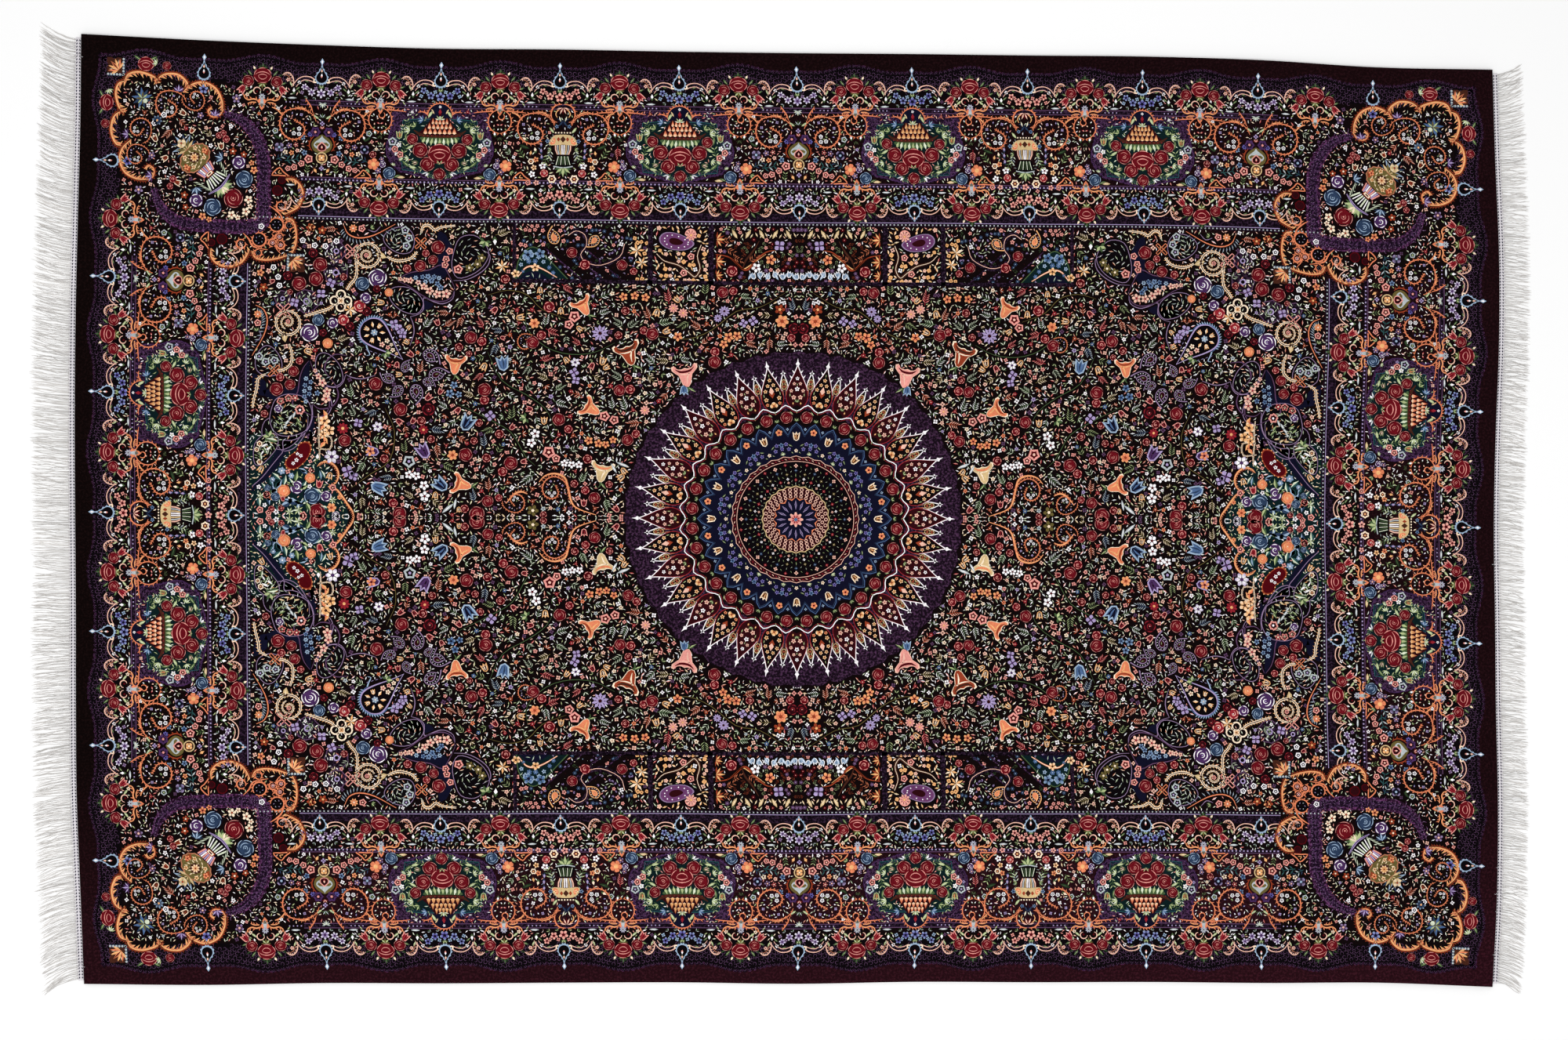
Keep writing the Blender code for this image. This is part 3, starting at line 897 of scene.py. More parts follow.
# %% Cartouche
def cartouche_unit():
    """Spine and right half: two outlines, a row of curls, basket, roses, and a bouquet beside it."""
    spine, half = Motif(), Motif()
    shoulder = [(0, 705), (32, 714), (60, 722), (86, 727), (95, 737), (104, 747), (111, 762), (113, 778)]
    flank = [(109, 797), (104, 815), (104, 842), (97, 858), (60, 861), (0, 862)]
    spine.halved(shoulder + flank, "grape", 1, 1)
    inner = [(0, 713), (16, 718), (30, 725), (52, 730), (77, 732), (78, 746), (84, 759), (94, 770),
             (103, 780), (94, 792), (85, 803), (79, 816), (77, 836), (50, 839), (0, 840)]
    spine.halved(inner, "abyss", 1.6, 1)
    half.ribbon([(0, 708), (32, 717), (60, 724.5), (84, 730), (101, 748), (110, 764), (111, 779),
                 (106, 798), (101, 815), (101, 843), (92, 857)], 1.2, "violet", 6, steps=1)
    half.ribbon(inner, 1.9, "lagoon", 6, steps=1)
    half.ribbon(np.array(inner) * 0.94 + (0, 46.8), 0.9, "slate", 6, steps=1)
    ring = smooth([(4, 711), (32, 718), (60, 726), (84, 733), (99, 749), (107, 764), (107, 780), (101, 798),
                   (96, 815), (95, 843), (86, 853)], 4)
    curl = Motif()
    curl.ribbon(arc(0, 0, 2.6, 0, 250, 4), [0.4, 1.2, 0.4], "mauve", 0, 1)
    for share in (1.0, 0.92, 0.85):
        for k, (x, y) in enumerate(ring[::2] * share + (0, 780 * (1 - share))):
            half.put(curl, x, y, 77 * k, 1.0, 5.8)
    spine.put(basket(), level=8)
    spine.halved([(0, 872), (14, 869), (23, 860), (26, 846), (12, 838), (0, 836)], "navy", 7)
    spine.ribbon(arc(0, 848, 25.5, 184, -188, 14), [1, 1.9, 1.9, 1.9, 1], "orange", 12, 1, 4.0)
    spine.put(bud("rose", "crimson"), 0, 853, 90, 0.9, 11)
    spine.put(tuft("mint", "leaf", 5, 150), 0, 838, 90, 1.2, 9.5)
    spine.put(WHITE_FLORET, 0, 866, 0, 0.3, 10)
    spine.halved([(0, 803), (20, 803), (41, 801), (36, 794), (24, 790), (0, 787)], "green", 8)
    for k, x in enumerate(np.linspace(-34, 34, 9)):
        hung = blade("mint" if k % 2 else "leaf", 3.4)
        spine.put(hung, x, 794 - 2 * (abs(x) < 20), 270 + x * 0.6, 0.85, 9)
    spine.place([(FAN_ROSE, 0, 767, 90, 2.1), (RED_ROSE, 0, 724, 90, 1.35), (LEAF_TUFT, 0, 744, 90, 1.1),
                 (GREEN_LEAF, 0, 711, 90, 0.6)], 12)
    half.ribbon([(26, 850), (30, 853), (37, 855), (46, 854)], [3, 2.6, 2, 1], "orange", 11, thorns=4)
    half.place([
        (BLUE_TUFT, 35, 837, 20, 1.25), (LEAF_TUFT, 50, 824, 30, 1.2), (PALE_TUFT, 62, 815, 10, 1.3),
        (GREEN_SPRAY, 66, 829, 70, 1.0), (BUD_SPRAY, 76, 817, 80, 0.9), (PALE_LEAF, 20, 850, 120, 0.9),
        (CREAM_LEAF, 15, 856, 60, 0.6), (RED_ROSE, 40, 774, 30, 1.7), (RED_ROSE, 57, 797, 60, 1.25),
        (RED_ROSE, 25, 745, -20, 1.6), (WHITE_PANSY, 98, 791, 20, 0.85),
        (floret(5, "white", "leaf"), 85, 784, 0, 0.55), (PINK_RING, 93, 775, 0, 0.68),
        (PINK_RING, 82, 764, 0, 0.68), (tulip("green", "leaf", "orange"), 84, 805, 90, 0.95),
        (floret(4, "white", "mint"), 90, 765, 45, 0.4), (GREEN_LEAF, 70, 800, 80, 1.0),
        (PALE_LEAF, 62, 780, -30, 0.9), (GREEN_SPRAY, 73, 776, 100, 1.1), (PALE_TUFT, 64, 757, -20, 1.1),
        (tulip("brown", "green", "cream"), 51, 747, -15, 0.8), (GREEN_SPRAY, 44, 733, -20, 1.0),
        (PALE_LEAF, 56, 738, 10, 0.9), (GREEN_LEAF, 70, 745, 40, 1.1), (PALE_TUFT, 78, 752, 50, 0.8),
        (WHITE_BUD, 24, 724, -40, 0.7), (GREEN_SPRAY, 20, 720, 190, 0.8), (SILVER_LEAF, 30, 726, 160, 0.7),
        (LILAC_FLORET, 103, 775, 0, 0.35),
    ], 10)
    # the bouquet beside the cartouche's foot
    half.place([
        (BLUE_ROSE, 104, 724, 0, 1.35), (floret(5, "orange", "gold", 1.5, hub=4), 137, 742, 30, 1.25),
        (PURPLE_ROSE, 118, 742, 0, 0.72), (MAUVE_FLORET, 127, 729, 0, 0.62),
        (MAUVE_FLORET, 120, 753, 0, 0.5), (LEAF_TUFT, 146, 730, -40, 0.9), (PALE_TUFT, 97, 740, 110, 0.7),
        (CREAM_LEAF, 80, 716, 180, 0.9), (GREEN_LEAF, 88, 718, 160, 0.8),
    ], 12)
    return spine, half


print("a cartouche takes", cartouche_unit()[1].triangles(), "triangles a side")


# %% Thorned rings
def thorned_ring():
    """Orange scroll that rings its centre from -X over the top and curls in again below."""
    m = Motif()
    line = [(-43, 6), (-37, 19), (-21, 29), (-1, 32), (19, 27), (30, 14), (33, -3), (27, -20), (14, -31),
            (-1, -33), (-13, -27), (-20, -14), (-15, -2), (-4, 4), (4, 9)]
    m.ribbon(line, [1.2, 2.2, 2.6, 2.6, 2.4, 1.2], "orange", 1, 2, 3.6, 1)
    m.ribbon(line, [1.0, 1.6, 1.6, 1.0], "orange", 1.4, 2, 2.8, -1)
    for x, y in ((-8, -10), (-8, -21), (3, -20)):
        m.put(WHITE_RING, x, y, 20, 0.42, 3)
    inside = (LILAC_BUD, PEACH_BUD, LILAC_FLORET, bud("white", "violet"))
    for k in range(10):
        x, y = polar(22 - 4 * (k % 2), 175 - 26 * k)
        m.put(inside[k % 4], x, y + 1, 200 - 26 * k, 0.34, 3)
    m.put(LEAF_TUFT, 2, -12, 40, 0.5, 2)
    return m


def ring_row(half, spot):
    """What urn and palmette share: the ring, a bracket, and a small ring by the crown."""
    half.put(thorned_ring(), spot, 822, 0, 1, 9)
    half.put(acanthus([(28, 845), (36, 853), (46, 856), (57, 856)], [1.4, 3, 2.4, 1], 9))
    half.put(acanthus([(84, 838), (90, 846), (97, 852), (106, 855)], [1.4, 3, 3.4, 2], 9))
    half.ribbon([(74, 712), (90, 713), (103, 713), (97, 722), (87, 729), (80, 721), (68, 712)], 2.4,
                "orange", 10, 2)
    half.ribbon([(83, 717), (90, 718), (87, 723)], 1.4, "gold", 11, 2)


print("a thorned ring takes", thorned_ring().triangles(), "triangles")


# %% Urn
def urn_unit():
    """Spine and right half: orange scroll, lid, ribbed belly, striped bowl, and flowers round it."""
    spine, half = Motif(), Motif()
    half.ribbon([(2, 873), (14, 871), (22, 863), (25, 850), (20, 838), (12, 835)], [1, 2.6, 3, 2.6, 2, 1],
                "orange", 10, 3, 4.0)
    half.ribbon([(4, 862), (11, 860), (15, 852), (12, 845)], [1, 2, 2, 1], "gold", 10)
    spine.put(tuft("peach", "crimson", 7, 150, 2.4), 0, 866, -90, 1.5, 11)
    spine.put(tuft("slate", "navy", 7, 220), 0, 838, -90, 1.5, 9)
    half.place([(two_tone("mint", "cream"), 6, 842, 250, 0.6), (BLUE_FLORET, 13, 826, 0, 0.4)], 11)
    for x in (-15, -9, -3, 3, 9, 15):
        spine.patch(wheel(2.0, 4, phase=45) + (x, 813), "cream", 12)
    spine.halved([(0, 809), (14, 808), (24, 802), (29, 792), (25, 786), (0, 788)], "sand", 9)
    spine.halved([(0, 806), (6, 799), (0, 792)], "brown", 10, 1)
    half.patch([(9, 804), (13, 799), (9, 794), (6, 799)], "rust", 10)
    half.patch([(18, 803), (23, 797), (27, 791), (24, 787), (17, 790), (15, 797)], "orange", 10)
    half.put(GOLD_FLORET, 21, 795, 0, 0.36, 11)
    spine.halved([(0, 789), (18, 788), (17, 776), (12, 766), (0, 765)], "brown", 8)
    for x in range(-14, 15, 4):
        shine = ("white", "sand", "silver", "peach")[abs(x) // 4 % 4]
        spine.ribbon([(x * 1.1, 787), (x * 1.08, 777), (x * 0.8, 767)], 2.4, shine, 9, 1)
    spine.halved([(0, 766), (13, 765), (17, 756), (20, 743), (0, 741)], "night", 9.5)
    for x in range(-12, 13, 4):
        spine.ribbon([(x * 0.8, 763), (x * 1.2, 745)], 1.4, "mint" if x % 8 else "green", 10.5, 1)
    spine.ribbon([(-20, 742), (0, 739), (20, 742)], 2.2, "silver", 10)
    spine.put(tuft("green", "leaf", 7, 150, 3.0), 0, 740, -90, 2.0, 9)
    spine.put(PINK_FLORET, 0, 708, 0, 0.75, 10)
    for k in range(9):
        x, y = polar(1, 62 - 15 * k)
        petal = two_tone("rust", "peach") if k % 2 else two_tone("navy", "sky")
        half.put(two_tone("forest", "silver"), 13 + 17 * x, 777 + 34 * y, 75 - 9 * k, 0.36, 10)
        half.put(petal, 22 + 27 * x, 777 + 42 * y, 85 - 9 * k, 0.36, 10)
    ring_row(half, 61)
    half.place([
        (PALE_LEAF, 23, 818, 50, 0.8), (LEAF_TUFT, 24, 776, 10, 0.9),
        (spray("teal", ("mint", "silver")), 27, 766, -80, 1.0), (BLUE_FLORET, 32, 795, 0, 0.45),
        (LILAC_BUD, 45, 786, 90, 0.6), (LILAC_BUD, 45, 773, 90, 0.65), (LILAC_BUD, 44, 760, 90, 0.65),
        (CREAM_BUD, 57, 775, 80, 0.7), (ORANGE_FLORET, 56, 756, 0, 0.6), (GOLD_BUD, 67, 768, 100, 0.7),
        (CREAM_RING, 66, 752, 0, 0.6), (GOLD_FLORET, 60, 739, 0, 0.6), (WHITE_FLORET, 42, 743, 10, 0.75),
        (PINK_ROSE, 39, 727, 0, 0.85), (CREAM_RING, 23, 715, 0, 0.85), (PINK_FLORET, 55, 707, 0, 0.6),
        (PINK_RING, 72, 707, 0, 0.55), (floret(5, "white", "crimson"), 64, 725, 0, 0.7),
        (GREEN_SPRAY, 34, 757, -70, 1.2), (DARK_LEAF, 80, 783, 20, 1.2), (GREEN_SPRAY, 86, 768, 60, 1.1),
        (CREAM_BUD, 78, 799, 30, 0.7), (ringed("silver", "forest", "leaf"), 94, 806, 0, 0.55),
    ], 10)
    return spine, half


print("an urn takes", urn_unit()[1].triangles(), "triangles a side")


# %% Palmette and crown ring
def palmette_unit():
    """Spine and right half: a crown of tufts, the palmette, and a rosette in a ring below it."""
    spine, half = Motif(), Motif()
    half.ribbon([(36, 876), (30, 867), (24, 858), (20, 846)], [1, 2.6, 2.6, 1], "orange", 10, thorns=4)
    spine.put(tuft("silver", "mint", 7, 200, 2.6), 0, 866, -90, 1.0, 10)
    spine.put(tuft("green", "silver", 5, 140, 2.2), 0, 836, 90, 1.0, 10)
    spine.put(tuft("rose", "peach", 5, 120, 2.4), 0, 812, 90, 0.8, 10)
    spine.halved([(0, 801), (8, 797), (17, 790), (22, 780), (18, 768), (10, 763), (0, 762)], "olive", 9)
    spine.halved([(0, 799), (3, 794), (9, 789), (15, 784), (17, 778), (12, 772), (0, 770)], "silver", 10)
    spine.halved([(10, 784), (15, 780), (12, 776), (8, 779)][::-1], "olive", 10.2, 1)
    spine.halved([(0, 786), (6, 781), (9.5, 775), (8, 768), (0, 765)], "pink", 10.5)
    spine.halved([(0, 783), (4.5, 779), (7.6, 775), (6.4, 769), (0, 767)], "wine", 11)
    spine.put(bud("peach", "rose"), 0, 773, 90, 0.5, 12)
    spine.ribbon(arc(0, 752, 11, 0, 360, 14), 2.4, "sand", 10, 1)
    spine.disc(0, 752, 9.6, 12, "brown", 9.8)
    spine.put(floret(4, "gold", "cream", 1.2), 0, 752, 45, 0.75, 12)
    spine.place([(LILAC_FLORET, 0, 730, 0, 0.5), (CREAM_BUD, 0, 718, 270, 0.6),
                 (LILAC_FLORET, 0, 824, 0, 0.5)], 10)
    ring_row(half, 56)
    half.ribbon([(20, 766), (26, 776), (24, 788), (17, 797)], [1, 2.6, 2.6, 1], "rust", 11, thorns=4,
                side=-1)
    half.place([
        (ringed("violet", "grape", "pink", 6), 14, 806, 0, 1.0),
        (floret(6, "periwinkle", "navy"), 25, 801, 0, 0.55), (BLUE_FLORET, 40, 794, 0, 0.55),
        (floret(4, "navy", "sky", 1.3, "lilac"), 89, 772, 45, 1.0), (PINK_RING, 70, 728, 0, 0.55),
        (PINK_RING, 57, 731, 0, 0.65), (PINK_RING, 42, 739, 0, 0.65), (PINK_RING, 27, 749, 0, 0.85),
        (RED_FLORET, 54, 778, 0, 0.5), (CREAM_FLORET, 76, 762, 0, 0.55), (ORANGE_FLORET, 63, 761, 0, 0.55),
        (PEACH_FLORET, 51, 766, 0, 0.45), (MAUVE_FLORET, 68, 776, 0, 0.6), (BLUE_FLORET, 36, 762, 0, 0.6),
        (spray("sea", ("sea", "silver")), 62, 747, 170, 1.5),
        (spray("sea", ("slate", "silver")), 84, 752, 150, 1.2), (DARK_LEAF, 95, 794, 40, 0.9),
        (WHITE_BUD, 88, 795, 110, 0.6), (ringed("silver", "forest", "leaf"), 98, 806, 0, 0.6),
        (GREEN_SPRAY, 30, 727, 100, 0.9), (GOLD_BUD, 14, 727, 240, 0.8), (WHITE_FLORET, 40, 716, 0, 0.42),
        (WHITE_BLADE, 28, 716, 90, 0.5), (WHITE_BLADE, 50, 713, 60, 0.4), (PALE_LEAF, 14, 838, 30, 0.8),
        (WHITE_FLORET, 93, 853, 0, 0.4),
    ], 10)
    return spine, half


def crown_ring():
    """The small orange ring with pink and white buds that hangs under each crown."""
    spine, half = Motif(), Motif()
    half.ribbon(arc(-1, 836, 25, -92, 190, 20, 1.0), [1.2, 2.0, 2.2, 2.0, 1.2], "orange", 9, 1, 4.0, -1)
    half.ribbon([(14, 858), (26, 857), (40, 856), (54, 854)], [3.4, 2.2, 2, 1], "orange", 10, thorns=4)
    spine.ribbon(arc(-3, 846, 7, 130, 270, 9, 0.8), [1, 2.2, 2.2, 1], "orange", 10, steps=1)
    half.place([
        (WHITE_BUD, 13, 846, 60, 0.34), (PEACH_BUD, 6, 838, 150, 0.36), (WHITE_BUD, 16, 835, 20, 0.32),
        (PEACH_BUD, 12, 826, 100, 0.36), (bud("pink", "rose"), 4, 829, 200, 0.36),
        (WHITE_BUD, 3, 820, 300, 0.32), (LEAF_TUFT, 11, 818, 40, 0.4), (WHITE_BUD, 10, 808, 80, 0.6),
        (LEAF_TUFT, 0, 803, -90, 0.9),
    ], 10)
    return spine, half


MAIN_UNITS = {"long": [(0, palmette_unit), (247, cartouche_unit), (489, urn_unit), (744, cartouche_unit),
                       (989, palmette_unit)],
              "short": [(0, urn_unit), (250, cartouche_unit), (487, palmette_unit)]}
for side, units in MAIN_UNITS.items():
    for spot, make in units:
        beside(*make(), spot, side)
    for a, b in zip(DROP_SPOTS[side], DROP_SPOTS[side][1:-1]):
        beside(*crown_ring(), (a + b) / 2, side)
print("with the main border:", quarter.triangles())

# %% [markdown]
# ## The corner of the border
# Where two sides meet, the repeat cannot simply turn. The weaver fills the square with an urn on
# the diagonal, ringed by scrolls, and the same flowers as on the sides cover the joins.


# %% Vines, scrolls and plumes
def vines(rows, level=6):
    """Rows of dye, width and the points of a smooth line."""
    for dye, width, line in rows:
        quarter.ribbon(line, [width * 0.35, width, width, width * 0.35], dye, level)


def scrolls(rows, level=8):
    """Rows of width, thorn side and the points of a thorned scroll leaf."""
    for width, side, line in rows:
        quarter.put(acanthus(line, [width * 0.3, width, width, width * 0.3], 0, side=side), level=level)


def plume(points, width=9.0):
    """An acanthus arm: gold, with claws that lean into its hollow side and a rust rim on its back."""
    m = Motif()
    line = smooth(points, 4)
    ahead = np.gradient(line, axis=0)
    ahead /= np.linalg.norm(ahead, axis=1)[:, None] + 1e-9
    turning = (ahead[:-1, 0] * ahead[1:, 1] - ahead[:-1, 1] * ahead[1:, 0]).sum()
    side = 1 if turning > 0 else -1
    hollow = side * np.stack([-ahead[:, 1], ahead[:, 0]], 1)
    m.ribbon(line + hollow * width * 0.1, [1, width * 0.36, width * 0.42, 1], "gold", 1, 3, width * 0.75,
             side)
    m.ribbon(line + hollow * width * 0.2, [0.6, 1.2, 0.6], "orange", 1.5, 3, width * 0.4, side)
    m.ribbon(line - hollow * width * 0.2, [1, 2.4, 2.4, 1], "rust", 2, 2, 3.4, -side)
    m.ribbon(line - hollow * width * 0.34, [0.6, 1, 0.6], "brown", 2.5, 2)
    return m


print("an acanthus arm takes", plume([(0, 0), (30, 5), (50, 25)]).triangles(), "triangles")


# %% Hole ring and star tile
def hole_ring(radius):
    """An orange ring with a dark hole and a few light knots in it."""
    m = Motif()
    m.ribbon(arc(0, 0, radius + 1.5, 20, 340, 14), [1.5, 3.6, 3.6, 1.5], "orange", 1, 1, 4.0, -1)
    m.patch(wheel(radius, 12), "night", 0)
    for k in range(6):
        c, s = math.cos(1.05 * k), math.sin(1.05 * k)
        m.put(blade("silver" if k % 2 else "lilac", 4), 0.55 * radius * c, 0.55 * radius * s, 60 * k + 40,
              0.014 * radius, 2)
    return m


def star_tile():
    """A square tile: a gold tuft fanned over brown, and silver teeth along two of its sides."""
    m = Motif()
    m.patch(wheel(18.5, 16, 0.26, 4, 45), "brown")
    m.put(tuft("gold", "orange", 7, 150, 2.6), -10, -10, 45, 2.5, 1)
    m.put(tuft("cream", "gold", 5, 90, 1.1), -9, -9, 45, 2.3, 2)
    for k in range(6):
        for x, y in ((-20, 14 - 6.6 * k), (14 - 6.6 * k, -20)):
            m.disc(x - 2, y - 2, 2.6, 4, "slate", 1)
            m.disc(x, y, 2.2, 5, "silver", 2, 0.3, 5)
    return m


print("a star tile takes", star_tile().triangles(), "triangles")


# %% Diagonal urn
def corner_urn():
    """The diagonal urn, drawn upright: spiked crown, oval lid, waist, striped bowl, foot of leaves."""
    m = Motif()
    m.disc(0, 32, 36.5, 28, "copper", 0, 0.03, 14, 0, 0.72)
    m.disc(0, 32, 34, 28, "olive", 1, 0.04, 14, 0, 0.70)
    for k in range(26):
        spot = 2.4 * k
        reach = 5.6 * math.sqrt(k + 3)
        m.put(two_tone("sand", "cream", 3.4), reach * math.cos(spot), 32 + 0.66 * reach * math.sin(spot),
              70 * k, 0.42, 2)
    m.disc(0, 34, 12, 16, "brown", 3, 0.12, 8, 0, 0.9)
    m.put(daisy(8, "gold", "rust", "cream"), 0, 34, 20, 0.95, 4)
    for side in (-1, 1):
        m.disc(side * 26, 28, 6.5, 8, "rust", 3, 0.2, 4, 20, 1.4)
        m.put(ORANGE_FLORET, side * 26, 30, 0, 0.6, 4)
        m.put(GOLD_FLORET, side * 15, 47, 0, 0.5, 4)
        m.put(GOLD_FLORET, side * 15, 20, 0, 0.45, 4)
    m.halved([(0, 9), (21, 6), (19, -4), (13, -13), (0, -14)], "wine", 1)
    for k in range(-4, 5):
        m.ribbon([(k * 4.6, 7), (k * 3.2, -12)], 3.0, ("lilac", "pink", "white")[abs(k) % 3], 2, 1)
    m.patch([(-9, -17), (9, -17), (9, -8), (-9, -8)], "rust", 3)
    m.patch([(-7, -15.5), (7, -15.5), (7, -9.5), (-7, -9.5)], "cream", 4)
    m.patch([(-4, -14), (4, -14), (4, -11), (-4, -11)], "crimson", 5)
    m.halved([(0, -16), (17, -17), (24, -30), (29, -43), (0, -45)], "night", 1)
    for k in range(-3, 4):
        m.ribbon([(k * 4.6, -19), (k * 7.6, -41)], 2.2 + abs(k) % 2, "mint" if k % 2 else "white", 2, 1)
    m.ribbon([(-31, -42), (0, -49), (31, -42)], [2, 5, 5, 2], "lilac", 3)
    m.ribbon([(-31, -42), (0, -49), (31, -42)], [0.8, 1.8, 0.8], "violet", 4)
    m.put(tuft("green", "leaf", 9, 150, 3.4), 0, -46, -90, 2.7, 1)
    m.put(tuft("leaf", "cream", 5, 90, 3.0), 0, -50, -90, 1.7, 2.5)
    m.put(tuft("sand", "olive", 7, 150, 2.4), 0, 56, 90, 2.6, 1)
    m.put(tuft("slate", "sky", 7, 200, 2.2), 0, 62, 90, 3.0, 0)
    m.put(floret(4, "sand", "rust", 1.2, "cream"), 0, 74, 0, 0.9, 3)
    for side in (-1, 1):
        for k in range(5):
            m.put(two_tone("forest", "mint"), side * (33 - 2 * k), -8 - 7 * k, 90 - side * 40, 0.75, 2)
    return m


print("the diagonal urn takes", corner_urn().triangles(), "triangles")

# %% Ring of the corner
CORNER_RING = [(1196, 838), (1160, 826), (1130, 797), (1111, 750), (1109, 690), (1108, 640), (1114, 610),
               (1150, 603), (1222, 603), (1288, 609), (1326, 640), (1340, 676)]


def lay_corner_ring():
    """The dark ring round the urn, with five rows of hooks along it. Two rows have twice as many."""
    quarter.ribbon(CORNER_RING, [12, 27, 29, 32, 30, 27, 12], "bloom", 5)
    quarter.ribbon(CORNER_RING, [6, 15, 17, 19, 17, 15, 6], "grape", 6)
    path = smooth(CORNER_RING, 6)
    hooks, inner_hooks = commas("pink", "white"), commas("magenta", "orchid")
    specks = commas("orchid", "magenta")
    # distance from the ring's middle, motif, size, lean, and whether at every point or each second
    rows = ((-16.5, hooks, 0.55, 0, 2), (-9, specks, 0.42, 40, 2), (-1, inner_hooks, 0.4, 100, 1),
            (6, specks, 0.42, 70, 1), (13, inner_hooks, 0.6, 0, 2))
    for k, ((x, y), (dx, dy)) in enumerate(zip(path, np.gradient(path, axis=0))):
        length = math.hypot(dx, dy)
        turn = math.degrees(math.atan2(dy, dx)) + 37 * k
        for off, motif, size, lean, every in rows:
            if k % every == every - 1:
                quarter.put(motif, x + dy / length * off, y - dx / length * off, turn + lean, size, 8)


print("points along the corner's ring:", len(smooth(CORNER_RING, 6)))

# %% Scrolls of the corner
# width and line of each scroll
CORNER_SCROLLS = [
    (12, [(1408, 898), (1398, 912), (1374, 917), (1344, 908), (1334, 896)]),
    (12, [(1344, 898), (1325, 914), (1296, 916), (1276, 902), (1270, 888)]),
    (11, [(1284, 880), (1266, 896), (1240, 902), (1214, 890), (1200, 866), (1197, 846)]),
    (12, [(1404, 898), (1420, 890), (1425, 866), (1416, 838), (1404, 830)]),
    (12, [(1408, 838), (1428, 822), (1434, 792), (1424, 766), (1412, 760)]),
    (11, [(1392, 776), (1410, 756), (1414, 730), (1402, 706), (1378, 694), (1356, 692)]),
    (7, [(1196, 846), (1206, 832), (1222, 830), (1230, 842), (1222, 852)]),
    (7, [(1356, 692), (1342, 700), (1340, 716), (1352, 724), (1362, 716)]),
    (10, [(1218, 556), (1217, 538), (1202, 523), (1178, 518), (1155, 526), (1143, 539), (1135, 554)]),
    (10, [(1063, 707), (1046, 706), (1031, 692), (1026, 673), (1034, 650), (1047, 639), (1064, 630)]),
    (9, [(1133, 552), (1123, 538), (1101, 534), (1077, 538), (1056, 544)]),
    (9, [(1062, 624), (1049, 622), (1041, 608), (1038, 586), (1040, 566), (1046, 550)]),
]
print("scrolls in a corner:", len(CORNER_SCROLLS))


